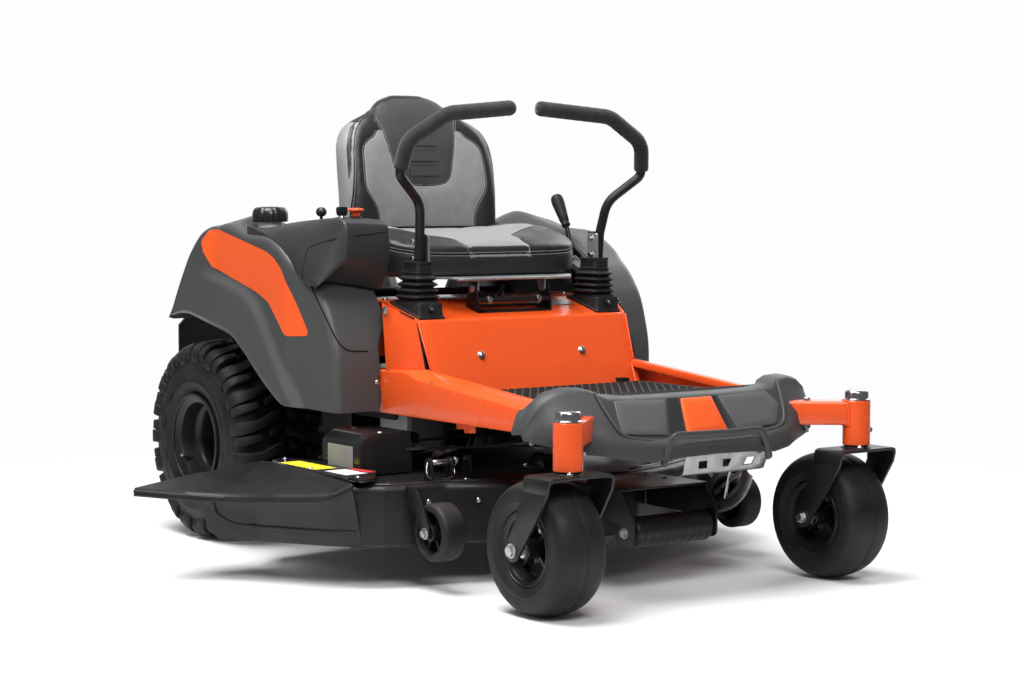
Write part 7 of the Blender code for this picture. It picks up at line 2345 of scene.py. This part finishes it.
# oval hold-down plate with blank labels
bm = bmesh.new()
ov = round_poly([(-0.5480, -0.8460), (-0.5060, -0.8420), (-0.4060, -0.6900), (-0.4200, -0.5600), (-0.4740, -0.4160), (-0.5200, -0.4200), (-0.5480, -0.5400),
                 (-0.5500, -0.7000)], [0.02, 0.03, 0.10, 0.08, 0.02, 0.02, 0.05, 0.05], 6)
plate(bm, ov, 'XY', 0.2320, 0.2405)
finish("deck_label_plate", bm, GLOSSP, "deck", smooth=35, bevel=0.0012, segs=2)
bm = bmesh.new()
for x, y in ((-0.5330, -0.8150), (-0.5380, -0.6250), (-0.4900, -0.4320), (-0.4300, -0.6150)):
    dome(bm, (x, y, 0.2405), (0, 0, 1), 0.0062, 0.0040)
finish("label_plate_rivets", bm, ZINC, "deck", smooth=30)
for nm, m, (x0, y0, x1, y1) in (("yellow", YELLOW, (-0.540, -0.650, -0.485, -0.490)),
                                ("white", WHITE, (-0.535, -0.770, -0.480, -0.680)), ("red", RED, (-0.474, -0.760, -0.452, -0.680))):
    bm = bmesh.new()
    prism(bm, [(x0, y0, 0.2406), (x1, y0, 0.2406), (x1, y1, 0.2406), (x0, y1, 0.2406)], (0, 0, 0.0004))
    finish("blank_label_" + nm, bm, m, "deck", smooth=30)

# anti-scalp wheels: grooved rubber on a spoked hub
for s, side in SIDES:
    c = Vector((0.4185 * s, -0.960, 0.130))
    bm = bmesh.new()
    half = [(0.0625, 0.0), (0.0625, 0.0190), (0.0618, 0.0225), (0.0590, 0.0262), (0.0560, 0.0285), (0.0520, 0.0298), (0.0475, 0.0300), (0.0462, 0.0285),
            (0.0458, 0.0190), (0.0452, 0.0180)]
    lathe(bm, half + [(r, -h) for r, h in half[::-1][:-1]], c, (1, 0, 0), 72)
    finish(side + "_scalp_tread", bm, TYRE, side + "_scalp", side + "_scalp_wheel", smooth=35)
    bm = bmesh.new()
    lathe(bm, [(0.0456, 0.0186), (0.0456, -0.0186), (0.0420, -0.0186), (0.0405, -0.0120), (0.0405, 0.0120), (0.0420, 0.0186)], c, (1, 0, 0), 48)
    lathe(bm, [(0.0078, 0.0300), (0.0165, 0.0300), (0.0180, 0.0285), (0.0180, -0.0285), (0.0165, -0.0300), (0.0078, -0.0300)], c, (1, 0, 0), 36)
    lathe(bm, [(0.0175, 0.0030), (0.0410, 0.0030), (0.0410, -0.0030), (0.0175, -0.0030)], c, (1, 0, 0), 48)
    for k in range(6):
        a = k * math.pi / 3
        d = Vector((0, math.cos(a), math.sin(a)))
        u = Vector((0, -math.sin(a), math.cos(a))) * 0.0022
        for sg in (1, -1):
            q = c + Vector((sg * 0.0025, 0, 0))
            prism(bm, [q + d * 0.0165 + u, q + d * 0.0412 + u, q + d * 0.0412 - u, q + d * 0.0165 - u], (sg * 0.0145, 0, 0))
    finish(side + "_scalp_hub", bm, PLASTIC, side + "_scalp", smooth=35)

# front roller: ribs and grooves
bm = bmesh.new()
prof = [(0.0072, 0.1080), (0.0240, 0.1080), (0.0262, 0.1066), (0.0300, 0.1040), (0.0322, 0.1016), (0.0330, 0.0990)]
h = 0.0990
for k in range(9):
    a = 0.0990 - k * 0.0220
    prof += [(0.0330, a - 0.0080), (0.0318, a - 0.0090), (0.0318, a - 0.0120), (0.0330, a - 0.0130)]
prof += [(0.0330, -0.0990), (0.0322, -0.1016), (0.0300, -0.1040), (0.0262, -0.1066), (0.0240, -0.1080), (0.0072, -0.1080)]
lathe(bm, prof, (0, -1.210, 0.131), (1, 0, 0), 56)
finish("front_roller_moulding", bm, PLASTIC, "roller", "front_roller", smooth=30)


# ------------------------------------------------------------------ engine bay, drive and rear
bm = bmesh.new()
for s in (1, -1):
    x0, x1 = sorted((0.2880 * s, 0.2940 * s))
    plate(bm, round_poly([(-0.600, 0.3300), (-0.600, 0.4150), (-0.150, 0.4150), (-0.150, 0.3500), (-0.230, 0.3300)], 0.012, 4), 'YZ', x0, x1)
plate(bm, round_poly([(-0.290, 0.430), (0.290, 0.430), (0.290, 0.612), (-0.290, 0.612)], 0.010, 4), 'XZ', -0.2500, -0.2470)
plate(bm, round_poly([(-0.296, 0.200), (0.296, 0.200), (0.296, 0.400), (-0.296, 0.400)], 0.012, 4), 'XZ', 0.2380, 0.2420)
finish("bay_side_plates", bm, BLACK, "frame", smooth=35, bevel=0.0008, segs=1)
# fuel tank moulding
bm = bmesh.new()
rings = []
for z, d in ((0.520, 0.016), (0.523, 0.006), (0.530, 0.000), (0.590, 0.000), (0.594, -0.003), (0.600, -0.003), (0.604, 0.000), (0.662, 0.002), (0.674, 0.008),
             (0.6795, 0.020)):
    rings.append([(x, y, z) for x, y in round_poly([(-0.466 + d, -0.343 + d), (-0.332 - d, -0.343 + d), (-0.332 - d, -0.087 - d), (-0.466 + d, -0.087 - d)],
                                                   0.026, 5)])
loft(bm, rings)
finish("fuel_tank_moulding", bm, PLASTIC, "frame", "fuel_tank", smooth=45)
# cooling fins round both cylinders and the shroud's intake
CR = Vector((0.0, 0.150, 0.0))
bm = bmesh.new()
for k in range(9):
    z = 0.4120 + k * 0.0115
    lathe(bm, [(0.1180, 0.0), (0.1225, 0.0008), (0.1225, 0.0026), (0.1180, 0.0034)], CR + Vector((0, 0, z)), (0, 0, 1), 64)
finish("engine_fins", bm, ALU, "frame", smooth=30)
bm = bmesh.new()
for r in (0.030, 0.050, 0.070, 0.090, 0.110):
    tube(bm, [CR + Vector((r * math.cos(a), r * math.sin(a), 0.6515)) for a in [math.radians(7.5 * i) for i in range(48)]], 0.0022, 8, cyclic=True, caps=False)
for k in range(24):
    a = math.radians(15 * k)
    d = Vector((math.cos(a), math.sin(a), 0))
    tube(bm, [CR + d * 0.026 + Vector((0, 0, 0.6510)), CR + d * 0.116 + Vector((0, 0, 0.6510))], 0.0018, 6)
tube(bm, [CR + Vector((0.122 * math.cos(a), 0.122 * math.sin(a), 0.6505)) for a in [math.radians(7.5 * i) for i in range(48)]], 0.0042, 10, cyclic=True, caps=False)
dome(bm, CR + Vector((0, 0, 0.6490)), (0, 0, 1), 0.0260, 0.0100)
for z in (0.5400, 0.5600, 0.5800, 0.6000):
    lathe(bm, [(0.1755, 0.0), (0.1785, 0.0010), (0.1785, 0.0030), (0.1755, 0.0040)], CR + Vector((0, 0, z)), (0, 0, 1), 72)
finish("engine_grille", bm, PLASTIC, "frame", smooth=40)
bm = bmesh.new()
for k in range(6):
    a = math.radians(30 + 60 * k)
    hexhead(bm, CR + Vector((0.148 * math.cos(a), 0.148 * math.sin(a), 0.6500)), (0, 0, 1), 0.0070, 0.0050, washer=0.0100)
for s in (1, -1):
    for z in (0.200, 0.290):
        hexhead(bm, (0.2055 * s, 0.040, z), (s, 0, 0), 0.0075, 0.0055, washer=0.0105)
        hexhead(bm, (0.2055 * s, -0.040, z), (s, 0, 0), 0.0075, 0.0055, washer=0.0105)
finish("engine_fasteners", bm, ZINC, "frame", smooth=30)
# exhaust: end seams
bm = bmesh.new()
for x in (-0.1250, 0.1250):
    tube(bm, [Vector((x, 0.366 + 0.0405 * math.cos(a), 0.465 + 0.0405 * math.sin(a))) for a in [math.radians(10 * i) for i in range(36)]], 0.0022, 8,
         cyclic=True, caps=False)
finish("muffler_seams", bm, HOT, "frame", smooth=45)
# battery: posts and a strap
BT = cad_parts["battery"]
bb = [BT.matrix_world @ Vector(c) for c in BT.bound_box]
bx0, bx1 = min(c.x for c in bb) - O.x, max(c.x for c in bb) - O.x
by0, by1 = min(c.y for c in bb) - O.y, max(c.y for c in bb) - O.y
bz1 = max(c.z for c in bb)
bm = bmesh.new()
for y in (lerp(by0, by1, 0.2), lerp(by0, by1, 0.8)):
    rod(bm, (lerp(bx0, bx1, 0.75), y, bz1 - 0.002), (lerp(bx0, bx1, 0.75), y, bz1 + 0.010), 0.0075, 20, 0.001)
finish("battery_posts", bm, ZINC, "frame", smooth=40)
bm = bmesh.new()
ym = lerp(by0, by1, 0.5)
plate(bm, [(bx0 - 0.002, ym - 0.012), (bx1 + 0.002, ym - 0.012), (bx1 + 0.002, ym + 0.012), (bx0 - 0.002, ym + 0.012)], 'XY', bz1, bz1 + 0.0018)
finish("battery_strap", bm, BLACK, "frame", smooth=35)


# ------------------------------------------------------- remaining CAD nodes
KEPT = {"fuel_tank": (PLASTIC, 0.004), "engine_block": (ALU, 0.002), "engine_shroud": (PLASTIC, 0.0012), "muffler": (HOT, 0.003),
        "left_transaxle": (ALU, 0.003), "right_transaxle": (ALU, 0.003), "battery": (PLASTIC, 0.002), "rear_frame": (BLACK, 0.0012),
        "crank_pulley": (STEEL, 0.0005), "deck_shell": (BLACK, 0.0035), "left_pulley_cover": (PLASTIC, 0.003),
        "right_pulley_cover": (PLASTIC, 0.003), "deck_belt": (BELT, 0.0008), "left_blade_spindle": (STEEL, 0.0006),
        "centre_blade_spindle": (STEEL, 0.0006), "right_blade_spindle": (STEEL, 0.0006), "discharge_chute": (PLASTIC, 0.0018),
        "left_scalp_wheel": (PLASTIC, 0.001), "right_scalp_wheel": (PLASTIC, 0.001), "front_roller": (PLASTIC, 0.001),
        "left_pivot_post": (ZINC, 0.001), "right_pivot_post": (ZINC, 0.001)}
for node, (m, w) in KEPT.items():
    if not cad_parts[node].hide_render:
        paint(node, m)
        soften(node, w)

# ------------------------------------------------------------------ the studio
bm = bmesh.new()
bmesh.ops.create_circle(bm, cap_ends=True, segments=96, radius=9.0)
me = bpy.data.meshes.new("studio_floor")
bm.to_mesh(me)
bm.free()
floor = bpy.data.objects.new("studio_floor", me)
scene.collection.objects.link(floor)
fm = bpy.data.materials.new("studio_white")
fm.use_nodes = True
fn, fl = fm.node_tree.nodes, fm.node_tree.links
fb = fn["Principled BSDF"]
fb.inputs["Base Color"].default_value = (0.92, 0.92, 0.92, 1)
fb.inputs["Roughness"].default_value = 0.75
# the floor melts into the white backdrop away from the machine
ftc = fn.new("ShaderNodeTexCoord")
fln = fn.new("ShaderNodeVectorMath")
fln.operation = 'LENGTH'
fl.new(ftc.outputs["Object"], fln.inputs[0])
fmr = fn.new("ShaderNodeMapRange")
fmr.interpolation_type = 'SMOOTHSTEP'
fmr.inputs["From Min"].default_value = 1.05
fmr.inputs["From Max"].default_value = 2.6
fmr.inputs["To Min"].default_value = 1.0
fmr.inputs["To Max"].default_value = 0.0
fl.new(fln.outputs["Value"], fmr.inputs["Value"])
fl.new(fmr.outputs["Result"], fb.inputs["Alpha"])
me.materials.append(fm)

world = bpy.data.worlds.new("studio")
scene.world = world
world.use_nodes = True
wn, wl = world.node_tree.nodes, world.node_tree.links
bg = wn["Background"]
# a white backdrop behind the machine, darker walls to the sides and behind the camera
tcw = wn.new("ShaderNodeTexCoord")
dot = wn.new("ShaderNodeVectorMath")
dot.operation = 'DOT_PRODUCT'
dot.inputs[1].default_value = (0.588, 0.809, 0.0)
wl.new(tcw.outputs["Generated"], dot.inputs[0])
mrw = wn.new("ShaderNodeMapRange")
mrw.interpolation_type = 'SMOOTHSTEP'
mrw.inputs["From Min"].default_value = 0.55
mrw.inputs["From Max"].default_value = 0.88
mrw.inputs["To Min"].default_value = 0.17
mrw.inputs["To Max"].default_value = 1.0
wl.new(dot.outputs["Value"], mrw.inputs["Value"])
wl.new(mrw.outputs["Result"], bg.inputs["Strength"])
bg.inputs["Color"].default_value = (0.98, 0.985, 1.0, 1)


def soft_light(name, where, at, size, power, color=(1, 1, 1)):
    d = bpy.data.lights.new(name, 'AREA')
    d.shape = 'RECTANGLE'
    d.size, d.size_y = size
    d.energy = power
    d.color = color
    ob = bpy.data.objects.new(name, d)
    scene.collection.objects.link(ob)
    ob.location = Vector(where) + O
    ob.rotation_euler = (Vector(at) + O - ob.location).to_track_quat('-Z', 'Y').to_euler()
    return ob


soft_light("key_light", (-1.6, -4.2, 3.4), (0, -0.6, 0.4), (2.0, 1.4), 110)
soft_light("side_strip", (-4.2, -0.6, 2.0), (-0.3, -0.3, 0.5), (0.7, 2.6), 14)
soft_light("rim_light", (3.2, 0.6, 2.6), (0, -0.4, 0.5), (2.4, 2.4), 40)
soft_light("top_light", (-1.3, -0.7, 3.9), (-0.1, -0.5, 0.2), (2.6, 2.6), 230)

cd = bpy.data.cameras.new("camera")
cam = bpy.data.objects.new("camera", cd)
scene.collection.objects.link(cam)
cam.location = Vector((-3.082, -4.884, 0.8603)) + O
cam.rotation_euler = (math.radians(86.086), 0.0, math.radians(-36.006))
cd.sensor_width = 36.0
cd.lens = 79.06
cd.clip_end = 200.0
scene.camera = cam
scene.view_settings.view_transform = 'Standard'
scene.view_settings.look = 'None'
